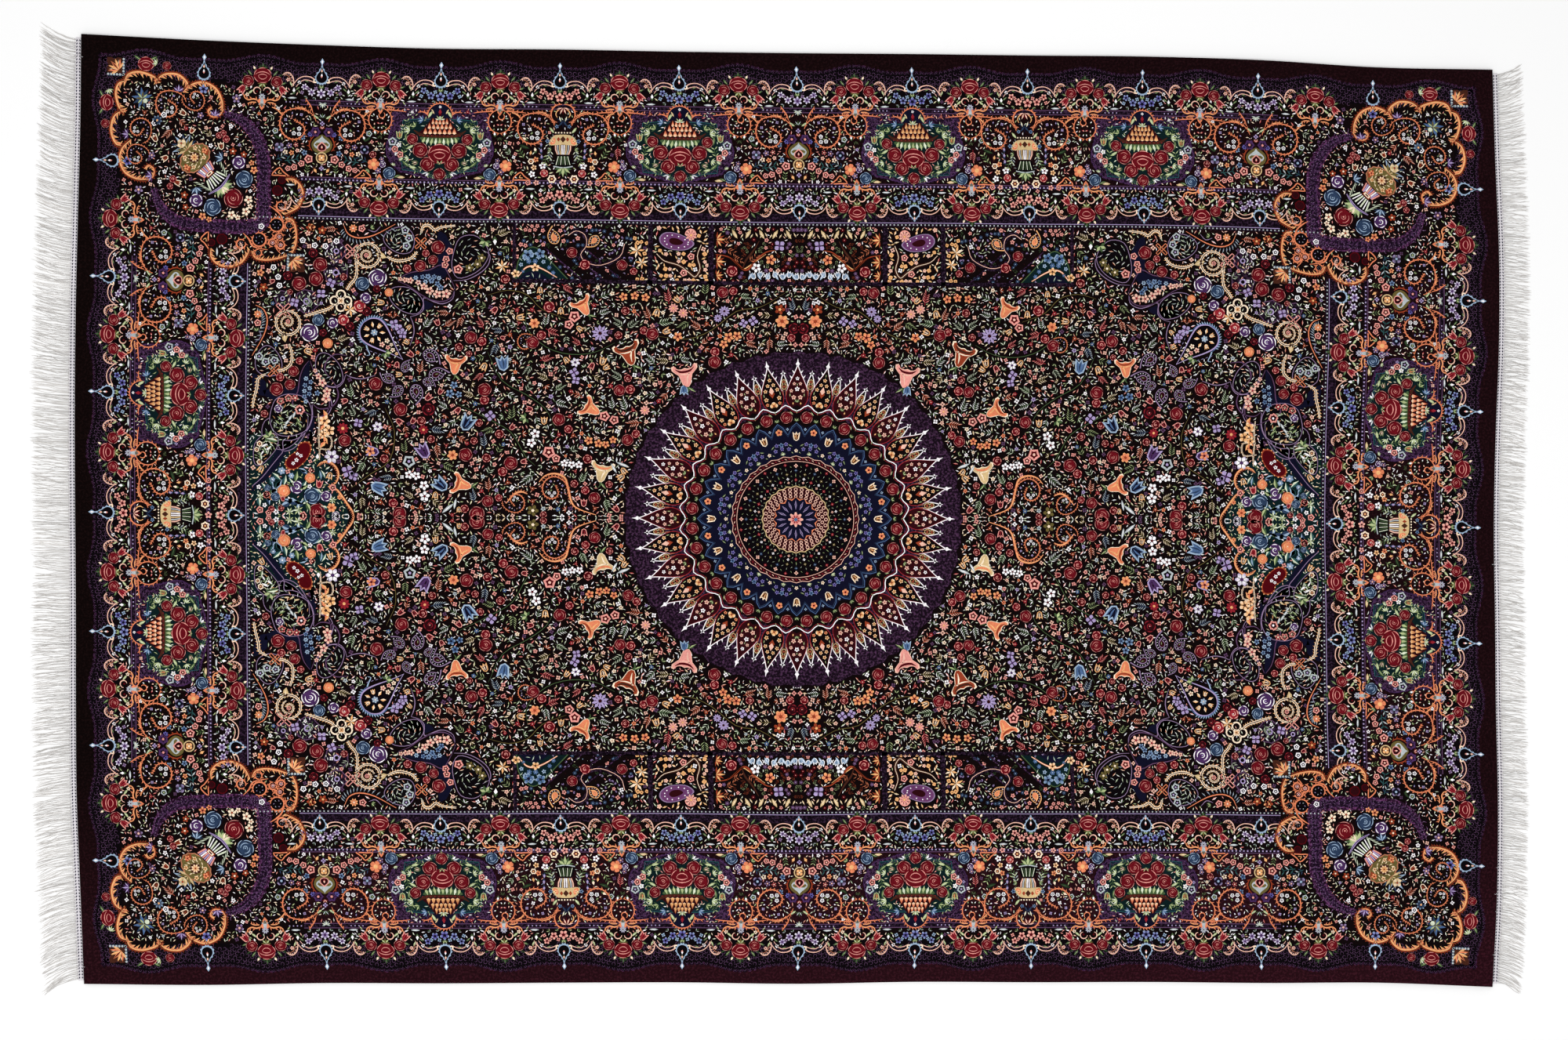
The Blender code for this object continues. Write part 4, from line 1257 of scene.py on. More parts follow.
# %% Corner
def lay_corner():
    """The diagonal urn in its ring, with scrolls, rings and flowers round it."""
    quarter.patch([(1412, 904), (1412, 534), (1036, 534), (1036, 904)], "ground", 1.2)
    lay_corner_ring()
    quarter.place([(corner_urn(), 1232, 720, -45, 1.0), (star_tile(), 1428, 928, 0, 0.95),
                   (star_tile(), 1036, 527, 180, 0.95)], 10)
    for width, line in CORNER_SCROLLS:
        quarter.put(plume(line, width * 0.95), level=9)
    for x, y, turn, size in ((1312, 854, 0, 0.84), (1258, 862, 200, 0.62), (1370, 798, 90, 0.68),
                             (1378, 746, 10, 0.62)):
        quarter.put(thorned_ring(), x, y, turn, size, 9)
    for x, y, radius in ((1080, 609, 13), (1116, 577, 13), (1072, 648, 8), (1154, 567, 8), (1054, 609, 7),
                         (1118, 549, 6), (1074, 584, 6.5), (1088, 571, 6.5), (1071, 567, 6.5)):
        quarter.put(hole_ring(radius), x, y, 31 * x, 1, 9)
    quarter.sow([(ringed("pink", "wine", "white"),
                  [(1074, 584, 0.42), (1088, 571, 0.42), (1071, 567, 0.42)])], 12)
    for x, y, radius in ((1071, 703, 8.5), (1080, 681, 11), (1216, 568, 8), (1194, 576, 11.5)):
        quarter.disc(x, y, radius, 14, "crimson", 10, 0.04, 7)
        quarter.disc(x, y, radius * 0.8, 12, "wine", 11)
    vines([("orange", 3.0, [(1096, 648), (1083, 640), (1070, 626), (1062, 596)]),
           ("orange", 3.0, [(1150, 590), (1138, 578), (1128, 562), (1098, 556)]),
           ("orange", 2.4, [(1090, 590), (1084, 580), (1080, 560), (1070, 548)])], 9)
    quarter.put(tuft("slate", "blue", 9, 300, 3.0), 1368, 862, 45, 2.3, 9)
    quarter.put(tuft("olive", "leaf", 7, 280, 2.6), 1368, 862, 45, 1.5, 12)
    quarter.disc(1362, 857, 5, 8, "mint", 15)
    quarter.sow(
        [(FAN_ROSE, [(1362, 934, 1.5, 90), (1444, 850, 1.5, 0)]),
         (RED_ROSE, [(1318, 932, 1.0), (1446, 806, 1.0)]),
         (PALE_TUFT, [(1338, 936, 1.2, 20), (1440, 878, 1.2, 250)]),
         (GREEN_LEAF,
          [(1346, 946, 0.9, 150), (1380, 946, 0.9, 30), (1455, 868, 0.9, 60), (1455, 832, 0.9, -60)]),
         (tuft("violet", "lilac", 7, 160, 2.4),
          [(1215, 832, 1.5, 100), (1345, 702, 1.5, -10), (1292, 880, 1.4, 90), (1397, 786, 1.4, 0)]),
         (daisy(8, "slate", "gold", "sky"), [(1336, 818, 1.1, 10)]),
         (PURPLE_ROSE, [(1162, 737, 1.45), (1250, 655, 1.45)]),
         (BLUE_ROSE, [(1150, 702, 1.9), (1215, 642, 1.9)]), (RED_ROSE, [(1172, 662, 2.15)]),
         (SMALL_RED,
          [(1190, 785, 0.8), (1205, 792, 0.7), (1300, 697, 0.8), (1306, 682, 0.7), (1196, 797, 0.7)]),
         (CREAM_FLORET,
          [(1140, 660, 0.9), (1145, 635, 0.9), (1175, 627, 0.9), (1162, 622, 0.6), (1136, 646, 0.6)]),
         (ORANGE_FLORET, [(1130, 722, 0.8), (1236, 622, 0.8), (1135, 737, 0.6), (1222, 616, 0.6)]),
         (floret(5, "rust", "cream"),
          [(1175, 760, 0.8), (1275, 665, 0.8), (1152, 754, 0.7), (1272, 640, 0.7)]),
         (WHITE_RING, [(1112, 605, 0.6), (1322, 830, 0.6), (1342, 812, 0.6)]),
         (tuft("slate", "sky", 7, 130, 2.2), [(1196, 744, 1.7, 15), (1252, 682, 1.7, 255)]),
         (commas("cream", "white"),
          [(1180, 848, 0.9), (1160, 844, 0.9), (1352, 664, 0.9), (1356, 644, 0.9)]),
         (tulip("brown", "cream", "rust"),
          [(1282, 836, 0.9, 30), (1340, 780, 0.9, 60), (1200, 770, 0.9, 80)]),
         (tulip("rust", "cream", "wine"),
          [(1290, 690, 0.9, 200), (1262, 800, 0.8, 120), (1318, 740, 0.9, -30)]),
         (WHITE_FLORET,
          [(1180, 812, 0.5), (1210, 805, 0.5), (1328, 690, 0.5), (1318, 712, 0.5), (1222, 770, 0.5)]),
         (MAUVE_FLORET, [(1170, 870, 0.9), (1372, 672, 0.9), (1245, 832, 0.7), (1346, 745, 0.7)])], 12,
    )


lay_corner()
print("with the corner:", quarter.triangles())

# %% [markdown]
# ## The round medallion
# The middle is sixteen-fold. A net of peach rings holds a rosette, then come a ring of little
# flowers, a navy ring of cream tulips, thirty-two roses, and thirty-two almond petals that end in
# white points. Because every ring repeats, one part is drawn and then turned round the centre.


# %% Petals of the medallion
def closed_line(radii, count, width, dye, level, steps=3):
    """A ring that swings between radii, the same number of times each."""
    angle = np.arange(count * len(radii)) / len(radii) * 2 * np.pi / count
    reach = np.tile(radii, count)
    line = np.stack([reach * np.cos(angle), reach * np.sin(angle)], 1)
    whole.ribbon(np.concatenate([line, line[:1]]), width, dye, level, steps)


def almond(body, inner):
    """A medallion petal along +X: its point 57 outward, its foot 38 inward."""
    m = Motif()
    line = mirrored([(0, 60), (7, 42), (18, 18), (24.5, -8), (18, -26), (8, -36), (0, -39)], 2)[:, ::-1]
    m.patch(line * (0.98, 0.98), "rose", 2)
    m.patch(line * (0.94, 0.92), body, 3)
    outer = line[(line[:, 0] > 2) & (line[:, 1] >= 0)]
    outer = outer[np.argsort(outer[:, 0])]
    for side in (-1, 1):
        m.ribbon(outer * (1, side), [0.6, 1.4, 2.0], "white", 4, 1)
    m.patch([(55, 0), (62, -4.5), (66, -1.5), (74, 0), (66, 1.5), (62, 4.5)], "white", 2)
    for x, y in ((31, 13.5), (42, 8.5)):
        for side in (-1, 1):
            m.patch([(x, side * y), (x + 7, side * (y + 3.5)), (x + 3, side * (y - 2))], "white", 0)
    for motif, x, y, size in inner:
        m.put(motif, x, y, 0, size, 5)
        if y:
            m.put(motif, x, -y, 0, size, 5)
    return m


RED_PETAL = [(WHITE_FLORET, 31, 0, 0.4), (PEACH_FLORET, 20, 6.5, 0.36), (WHITE_FLORET, 9, 0, 0.5),
             (PEACH_FLORET, 5, 12.5, 0.4), (PEACH_FLORET, -9, 7, 0.5), (LEAF_TUFT, -20, 0, 0.8),
             (GOLD_BUD, -23, 8, 0.42), (LEAF_BLADE, 18, 0, 0.3), (LEAF_BLADE, -4, 15, 0.4)]
GOLD_PETAL = [(bud("peach", "rust"), 5, 0, 1.3), (floret(4, "gold", "rust", 1.3, "cream"), -23, 0, 0.8),
              (GOLD_FLORET, 21, 6, 0.4), (GOLD_FLORET, 10, 12.5, 0.42), (LEAF_BLADE, 1, 17, 0.4),
              (GOLD_FLORET, -8, 13.5, 0.46), (GOLD_FLORET, 32, 0, 0.42), (ORANGE_FLORET, -19, 13, 0.36),
              (LEAF_BLADE, 42, 0, 0.35)]
print("an almond petal takes", almond("wine", RED_PETAL).triangles(), "triangles")


# %% Rings of the medallion
def petal_gap():
    """The open loop between two almond petals: fine pink lines, two beads and a white point."""
    loop = Motif()
    for y in (-7, -2.4, 2.4, 7):
        loop.ribbon([(-34, y * 0.8), (-18, y * 1.3), (8, y * 0.7)], [0.5, 1.3, 0.4],
                    "pink" if abs(y) > 4 else "copper", 0.2, 1)
    loop.patch([(-17, -8), (10, -5), (14, 0), (10, 5), (-17, 8)], "ground", -0.2)
    for x in (-8, 2):
        loop.ribbon(arc(x, 0, 5.0 - 0.12 * x, 0, 360, 7), 1.3, "sand", 0.6, steps=1)
        loop.disc(x, 0, 2.2, 5, "rust", 0.8)
    for side in (-1, 1):
        loop.ribbon([(-12, side * 9), (2, side * 6.5), (16, side * 2)], [1.0, 1.8, 1.8], "white", 0.9, 1)
    loop.patch([(16, -2.5), (27, 0), (16, 2.5)], "white", 0)
    loop.patch([(20, -6), (23, 0), (20, 6), (17, 0)], "white", 0)
    return loop


def lay_petals():
    """The outermost rings: loops and the two kinds of almond petal by turns."""
    whole.patch(wheel(355, 128, 0.012, 48), "aubergine", 5)
    whole.ring(32, petal_gap(), 291, 1.0, 6, 0.5)
    whole.ring(16, almond("wine", RED_PETAL), 268, 1.0, 8, 0)
    whole.ring(16, almond("ground", GOLD_PETAL), 268, 1.0, 8, 0.5)


def lay_rose_ring():
    """Thirty-two roses on the ground between two swinging lines."""
    whole.patch(wheel(237, 64, 0.025, 32), "ground", 14)
    closed_line([230, 243], 32, 2.0, "white", 15)
    closed_line([226, 239], 32, 0.9, "rose", 15.5)
    whole.ring(32, RED_ROSE, 217, 1.36, 18, 0.5)
    whole.ring(32, two_tone("forest", "leaf"), 229, 0.45, 17, 0, 10)
    whole.ring(32, LEAF_TUFT, 208, 0.8, 17, 0)
    whole.ring(32, LEAF_BLADE, 226, 0.5, 17, 0.25, 40)


def lay_tulip_ring():
    """The navy ring: cream tulips, and five small flowers between two of them."""
    mauve_petals = floret(5, "periwinkle", "navy", tip="lilac")
    whole.patch(wheel(201, 64, 0.03, 32), "navy", 16)
    closed_line([205, 196, 180, 196], 32, 1.4, "blue", 17, 1)
    closed_line([201, 192, 176, 192], 32, 1.4, "slate", 16.6, 1)
    whole.ring(16, tulip("brown", "cream", "gold"), 176, 1.05, 18, 0)
    whole.ring(16, floret(5, "orange", "crimson", 1.4, "gold", 3.4), 187, 0.7, 18, 0.5)
    whole.ring(16, BLUE_FLORET, 160, 0.5, 18, 0.5)
    for swing, radius in ((-0.24, 150), (0.24, 150), (-0.16, 161), (0.16, 161), (0.0, 152)):
        whole.ring(16, mauve_petals, radius, 0.42, 18, 0.5 + swing)
        whole.ring(16, LEAF_BLADE, radius - 8, 0.28, 17, 0.5 + swing * 1.5, 50)
    whole.ring(16, CREAM_FLORET, 146, 0.4, 18, 0)
    whole.ring(16, floret(4, "sky", "navy"), 192, 0.3, 18, 0.25)
    whole.ring(16, floret(4, "sky", "navy"), 192, 0.3, 18, 0.75)
    whole.ring(16, PALE_TUFT, 138, 0.7, 18, 0.5)
    whole.ring(16, two_tone(), 158, 0.5, 18, 0.2, 60)
    whole.ring(16, two_tone(), 158, 0.5, 18, -0.2, -60)


lay_petals()
lay_rose_ring()
lay_tulip_ring()
print("outer rings of the medallion:", whole.triangles())


# %% Inner rings of the medallion
def lay_flower_ring():
    """A rim of little blades round dark ground with five rows of flowers."""
    whole.patch(wheel(134, 64, 0.012, 32), "peach", 19)
    whole.patch(wheel(132.8, 64, 0.012, 32), "wine", 20)
    whole.ring(56, PEACH_BLADE, 128.5, 0.34, 22, 0.5, 62)
    whole.ring(56, blade("rose", 3), 128.5, 0.3, 21, 0, 62)
    closed_line([123.6, 123.4], 32, 1.0, "peach", 22)
    whole.patch(wheel(122, 48), "night", 21)
    dyes = [floret(4, "peach", "rose"), floret(4, "slate", "sky"), two_tone(), floret(4, "rose", "pink"),
            two_tone("forest", "mint"), floret(4, "olive", "cream"), floret(4, "white", "violet")]
    for row, (radius, size) in enumerate(((114, 0.42), (104, 0.36), (94, 0.40), (84, 0.34), (76, 0.32))):
        whole.ring(16, dyes[row % 7], radius, size, 22, 0.0)
        whole.ring(16, dyes[(row + 3) % 7], radius + 3, size * 0.8, 22, 0.5)
        whole.ring(32, dyes[2 + 2 * (row % 2)], radius - 2, 0.26, 22, 0.5, 40 - 80 * (row % 2))


def lay_heart():
    """The net of peach rings, and the rosette in the very middle."""
    whole.patch(wheel(71, 48, 0.02, 24), "sand", 23)
    whole.patch(wheel(69, 48, 0.02, 24), "wine", 24)
    for radius, size, count in ((64, 3.4, 32), (56.5, 3.2, 30), (49.5, 2.9, 28)):
        hole = Motif()
        hole.ribbon(arc(0, 0, size, 0, 360, 6), 1.5, "peach", 0, 1)
        whole.ring(count, hole, radius, 1, 25, 0.5 * (radius == 56.5))
    whole.patch(wheel(45.5, 32, 0.05, 16), "orange", 25)
    whole.patch(wheel(44, 32, 0.08, 16), "navy", 27)
    whole.ring(16, blade("lilac", 2.2), 31, 1.0, 28, 0)
    whole.ring(16, blade("navy", 1.2), 31, 0.8, 29, 0)
    whole.put(floret(8, "pink", "sky", 1.0, "peach", 2.6), level=31, size=1.6)
    whole.put(floret(8, "rose", "blue", 0.8, "pink", 2.8), level=32, size=1.1, turn=22.5)


lay_flower_ring()
lay_heart()
print("medallion:", whole.triangles(), "triangles, laid once")

# %% [markdown]
# ## The field
# Between medallion and border the ground is almost black and crowded. Large parts are placed one
# by one: straps, fans, tulips, roses and garlands. Their ground shapes come first.

# %% Grounds of the field
FIELD_LONG, FIELD_SHORT = 1131.0, 621.0
PANEL_EDGES = [(592, 584), (314, 304), (189, 178)]
PANEL_LOW, PANEL_FOOT = 504.0, 496.0
# navy ground between the fans, left plain
PLAIN_NAVY = [[(745, 606), (716, 572), (728, 508), (744, 532)],
              [(1104, 262), (1076, 240), (1022, 256), (1001, 240), (1008, 288), (1030, 272)],
              [(1125, 298), (1122, 262), (1100, 250), (1098, 280)],
              [(818, 440), (800, 430), (770, 436), (752, 450), (790, 460)],
              [(1062, 158), (1090, 108), (1122, 64), (1126, 50), (1080, 92), (1052, 136), (1030, 160),
               (1004, 180), (1001, 160), (1010, 150), (995, 190), (1003, 232), (1014, 180), (1040, 164)]]
# x, y and radius of the dark rounds that the large roses sit on
DARK_ROUNDS = [(955, 557, 20), (955, 512, 25), (1065, 455, 17), (1015, 450, 25)]


def lay_grounds():
    """The dark shapes that everything in the field lies on."""
    quarter.patch([(0, 0), (FIELD_LONG, 0), (FIELD_LONG, FIELD_SHORT), (0, FIELD_SHORT)], "ground", 0.3)
    quarter.patch([(FIELD_LONG, 0), (FIELD_LONG, 168), (1070, 178), (1012, 160), (975, 120), (940, 62),
                   (925, 0)], "abyss", 1)
    quarter.patch([(0, PANEL_FOOT), (584, PANEL_FOOT), (584, PANEL_LOW), (0, PANEL_LOW)], "plum", 6)
    for far, near in PANEL_EDGES:
        corners = [(far, FIELD_SHORT), (near, FIELD_SHORT), (near, PANEL_FOOT), (far, PANEL_FOOT)]
        quarter.patch(corners, "plum", 6)
    for points in PLAIN_NAVY:
        quarter.patch(smooth(points, 2, True), "navy", 5.6)
    for x, y, radius in DARK_ROUNDS:
        quarter.disc(x, y, radius, 18, "mauve", 2, 0.05, 9)
        quarter.disc(x, y, radius - 2.0, 18, "plum", 3, 0.05, 9)
        quarter.disc(x, y, radius * 0.3, 8, "lilac", 4)
        quarter.disc(x, y, radius * 0.18, 6, "night", 5)


lay_grounds()
print("with the grounds of the field:", quarter.triangles())


# %% Straps and crosses
def strap(line, width=4.6, into=quarter, level=9, steps=3):
    """A strap of two thin cream lines with dark ground between, and gold leaves off both sides."""
    for side in (-1, 1):
        into.ribbon(line, [width * 0.3, width * 0.5, width * 0.3], "gold", level - 0.5, steps, width * 0.8,
                    side)
    into.ribbon(line, [width * 0.7, width, width * 0.7], "cream", level, steps)
    into.ribbon(line, [width * 0.2, width * 0.4, width * 0.2], "brown", level + 1, steps)


def strap_ring(radius):
    """A strap closed to a ring, with a curl of strap in it and four leaves round it."""
    m = Motif()
    strap(arc(0, 0, radius, 0, 360, 20), 5.4, m, 0, 1)
    strap(arc(2, 0, radius * 0.62, 200, 420, 18, 0.35), 3.6, m, 0, 1)
    for turn in (20, 110, 200, 290):
        m.put(two_tone("orange", "cream"), *polar(radius + 4, turn), turn + 60, 0.5)
    m.put(PINK_RING, 3, 0, 0, 0.45, 2)
    return m


def lattice_cross(dye="pink"):
    """Two crossed open bars."""
    m = Motif()
    for turn in (45, 135):
        c, s = polar(1, turn)
        for off in (-3.4, 3.4):
            a, b = (-18 * c - off * s, -18 * s + off * c), (18 * c - off * s, 18 * s + off * c)
            m.ribbon([a, b], 1.8, dye, 0, 1)
        for end in (-18, 18):
            m.ribbon([(end * c - 4 * s, end * s + 4 * c), (end * c + 4 * s, end * s - 4 * c)], 1.8, dye, 0,
                     1)
    return m


def quatrefoil():
    """Four cream loops round a red square."""
    m = Motif()
    for turn in range(0, 360, 90):
        m.ribbon(arc(*polar(13, turn), 9, turn - 170, 340, 10), [3.6, 3.2, 3.6], "cream", 0, 1)
    m.patch(wheel(9, 4, phase=45), "cream", 1)
    m.patch(wheel(6, 4, phase=45), "crimson", 2)
    m.put(GOLD_FLORET, size=0.55, level=3)
    return m


print("a strap ring takes", strap_ring(25).triangles(), "triangles")


# %% Paisley and bell flower
def paisley(body="night", rim="orchid", heart="wine"):
    """A drop with a bent tip: thin outline, dark inside, and a smaller drop ringed with dots."""
    m = Motif()
    line = [(-10, 0), (-7, -6), (-1, -7.5), (5, -5.5), (9, -1), (12.5, 5.5), (7.5, 3.5), (2, 6.2), (-5, 6)]
    full = smooth(line, 3, True)
    m.patch(full, rim)
    m.patch(full * 0.88 - (0.3, 0), body, 1)
    for x, y in full[::2] * 0.72 - (0.8, 0):
        m.disc(x, y, 0.55, 4, "white", 2)
    m.patch(full * 0.52 - (1.4, 0), rim, 2)
    m.patch(full * 0.40 - (1.7, 0), heart, 3)
    m.put(two_tone("green", "leaf"), -1, -0.5, 15, 0.2, 4)
    return m


def great_tulip(body="orange", rim="cream", mouth="rust"):
    """A bell flower on its side: narrow foot at -X, wide flared mouth at +X."""
    m = Motif()
    lip = [(-10, 1.5), (-7, 4), (-2, 5.4), (2, 6.6), (4.5, 9.4), (7.5, 12.2), (11, 12.4), (12, 9.6),
           (9.6, 8.6), (8, 6), (7.6, 3), (8.6, 0)]
    bell = [(x, -y) for x, y in lip] + lip[-2::-1]
    m.patch(bell, rim)
    m.patch(np.array(bell) * (0.93, 0.88) - (0.2, 0), body, 1)
    m.ribbon([(8.5, -9), (5.5, -5), (4.8, 0), (5.5, 5), (8.5, 9)], [0.4, 2.0, 2.2, 2.0, 0.4], mouth, 2, 2)
    m.ribbon([(4, -7.5), (2.6, -3), (2.4, 2), (3.4, 6.5)], [0.3, 1.3, 0.3],
             "gold" if body == "orange" else rim, 2, 2)
    m.ribbon([(-7, 0.5), (-1, 1.5), (4, 4.5)], [0.4, 1.6, 0.4], "gold" if body == "orange" else rim, 2, 2)
    m.ribbon([(-10, 0), (-13, 1), (-16, -1)], [1.8, 1.4, 0.6], "green", 0, 2)
    m.put(two_tone(), -13, 4, 130, 0.45)
    return m


print("a bell flower takes", great_tulip().triangles(), "triangles")


# %% Great drop
def fringed_drop():
    """A great drop with its tip at +X, gold flowers inside and a pale-blue comb round its head."""
    m = Motif()
    half = [(0, 78), (4, 64), (10, 47), (17, 30), (23, 13), (26, -2), (24, -14), (14, -25), (0, -29)]
    line = mirrored(half, 3)[:, ::-1]
    m.patch(line * (1.06, 1.16), "lilac", 1)
    m.patch(line * (1.02, 1.04), "night", 2)
    for turn in range(100, 262, 9):
        m.put(blade("sky", 3.0), *polar(34, turn), turn + 25, 0.4, 1)
    m.ribbon(arc(0, 0, 31.5, 75, 210, 16), [1, 3.4, 4.6, 3.4, 1], "blue", 0.5, 1)
    for side in (-1, 1):
        m.ribbon([(7, side * 31), (16, side * 36), (26, side * 40), (22, side * 46)], [3, 2.2, 1], "sky", 1,
                 2)
    m.patch(wheel(8.6, 12), "navy", 4)
    m.put(daisy(6, "sky", "cream", "silver"), 0, 0, 0, 0.75, 5)
    for k in range(7):
        inside = tulip("cream", "gold", "wine") if k % 2 else two_tone("gold", "cream", 5)
        m.put(inside, *polar(17, 51 * k + 10), 51 * k + 10, 0.62, 5)
    for x, y, motif, size in ((29, 7, PEACH_FLORET, 0.6), (31, -6, CREAM_FLORET, 0.55),
                              (42, 3, PINK_FLORET, 0.5), (43, -6, CREAM_FLORET, 0.4),
                              (53, 0, CREAM_FLORET, 0.5), (64, 0, GOLD_FLORET, 0.36)):
        m.put(motif, x, y, x, size, 5)
    for k in range(6):
        for side in (-1, 1):
            m.put(two_tone("slate", "lilac"), 14 + 9 * k, side * (37 - 4.2 * k), -side * 20, 0.36, 5)
    return m


print("the great drop takes", fringed_drop().triangles(), "triangles")


# %% Large motifs in their places
def across(points, right=509, down=502):
    """The same points on the other side of the field corner's diagonal."""
    return [(y + right, x - down) for x, y in points]


STRAPS = [[(915, 540), (912, 520), (915, 500), (925, 488), (932, 476)],
          [(958, 444), (968, 436), (985, 430), (1000, 425), (1020, 419)],
          [(850, 548), (835, 541), (820, 540), (800, 546), (788, 560)],
          [(1050, 360), (1044, 340), (1046, 318), (1060, 306), (1072, 304)],
          [(780, 600), (776, 614), (764, 616), (752, 606), (740, 612), (710, 616)],
          [(1098, 296), (1114, 286), (1116, 268), (1122, 245), (1125, 225)]]


def lay_large():
    """Rings, crosses, paisleys, bell flowers and the great drop, then the lines between them."""
    big_gold, rust_tulip = great_tulip(), great_tulip("rust", "cream", "brown")
    quarter.sow(
        [(strap_ring(25), [(890, 550, 1, 0), (1053, 404, 1, 90)]),
         (lattice_cross(), [(922, 557, 1, 0), (1063, 430, 1, 0)]),
         (lattice_cross("orange"), [(781, 578, 0.8, 0), (1081, 303, 0.8, 0)]),
         (quatrefoil(), [(944, 453, 1, 0)]),
         (leaf("sand", "cream", 5), [(862, 550, 1.2, 200), (1060, 375, 1.2, 260)]),
         (paisley(),
          [(755, 340, 1.9, 200), (742, 303, 1.9, 150), (785, 262, 1.9, 250), (845, 293, 1.5, 10)]),
         (paisley(), [(825, 265, 1.5, 300), (760, 285, 1.3, 190), (808, 318, 1.3, 100)]),
         (fringed_drop(), [(874, 388, 1, 223)]),
         (big_gold, [(706, 321, 1.9, 95), (425, 230, 1.9, 30), (690, 70, 1.9, 15), (445, 445, 1.9, 60)]),
         (great_tulip("sand", "cream", "orange"), [(403, 95, 2.0, 100)]),
         (rust_tulip, [(350, 345, 2.3, 70)]),
         (great_tulip("pink", "peach", "crimson"), [(232, 300, 2.2, 80)]),
         (tulip("blue", "sky", "slate"), [(235, 272, 1.2, 270), (608, 325, 1.8, 80), (863, 62, 1.9, 200)]),
         (tulip("navy", "sky", "blue"), [(680, 200, 2.0, 120), (735, 70, 1.9, 40)]),
         (tulip("violet", "lilac", "grape"), [(770, 140, 1.9, 60), (875, 138, 1.5, 10)]),
         (PEONY, [(869, 503, 2.0), (1008, 385, 2.0)]),
         (paisley("wine", "gold", "orange"), [(508, 594, 1.7, 60), (426, 584, 1.5, 300)]),
         (tuft("gold", "cream", 7, 300, 3),
          [(925, 435, 1.6), (336, 566, 1.7), (326, 540, 1.4), (612, 530, 1.5)]),
         (tuft("rust", "gold", 7, 170, 2.4),
          [(172, 592, 1.8, 180), (172, 545, 1.8, 180), (172, 515, 1.4, 170)]),
         (fern("brown", "orange"),
          [(142, 566, 1.1, 200), (128, 550, 1.0, 190), (96, 552, 1.1, 130), (150, 590, 1, 160)]),
         (thorned_ring(), [(500, 62, 0.75, 40), (582, 30, 0.6, 200), (562, 372, 0.5, 10)])], 9,
    )
    scrolls([
        (4.4, 1, [(532, 75), (520, 88), (500, 93), (480, 85), (473, 65), (465, 32), (450, 18), (415, 6)]),
        (4.4, -1, [(600, 30), (585, 48), (570, 55), (556, 50)]),
        (4.4, 1, [(990, 104), (982, 112), (966, 114), (952, 104), (946, 88), (952, 70), (968, 62)]),
        (4.4, 1, [(968, 62), (952, 58), (940, 44), (928, 26), (918, 12), (914, 0)]),
    ], 8)
    for line in STRAPS:
        strap(line, 5.4)
    vines([("mauve", 2.6, [(962, 288), (950, 270), (947, 250), (960, 230), (985, 225), (1000, 235)]),
           ("mauve", 2.6, [(962, 288), (975, 305), (972, 325), (955, 340), (930, 338)]),
           ("green", 1.3, [(380, 370), (420, 350), (470, 345), (520, 360), (560, 400), (560, 440)]),
           ("green", 1.3, [(640, 350), (610, 290), (560, 260), (520, 230), (500, 190)]),
           ("green", 1.3, [(700, 240), (640, 210), (590, 180), (560, 130), (540, 110)]),
           ("olive", 1.3, [(30, 480), (80, 450), (130, 440), (180, 400), (230, 380), (290, 385)]),
           ("olive", 1.3, [(850, 230), (830, 180), (840, 120), (880, 90), (920, 60)]),
           ("olive", 1.3, [(640, 470), (600, 480), (560, 470), (530, 440), (480, 420)])], 7)
    glow = [(940, 611), (931, 594), (909, 586), (877, 593), (834, 617)]
    for line in (glow, across(glow, 510, 500)):
        quarter.ribbon(line, [1, 2.4, 2.4, 1], "orange", 8)
        path = smooth(line, 4)
        for k, (x, y) in enumerate(path[1:-1]):
            lean = math.degrees(math.atan2(*(path[k + 2] - path[k])[::-1])) + 62
            right, up = polar(9, lean)
            quarter.put(two_tone("slate", "silver"), x + right, y + up, lean, 0.6, 8)
    quarter.sow([(daisy(8, "orange", "cream", "gold"), [(921, 606, 0.9), (1116, 421, 0.9)]),
                 (PINK_RING, [(903, 606, 0.7), (1116, 403, 0.7)]),
                 (LEAF_TUFT, [(885, 608, 0.9), (1118, 385, 0.9)])], 9)


lay_large()
print("with the large motifs:", quarter.triangles())


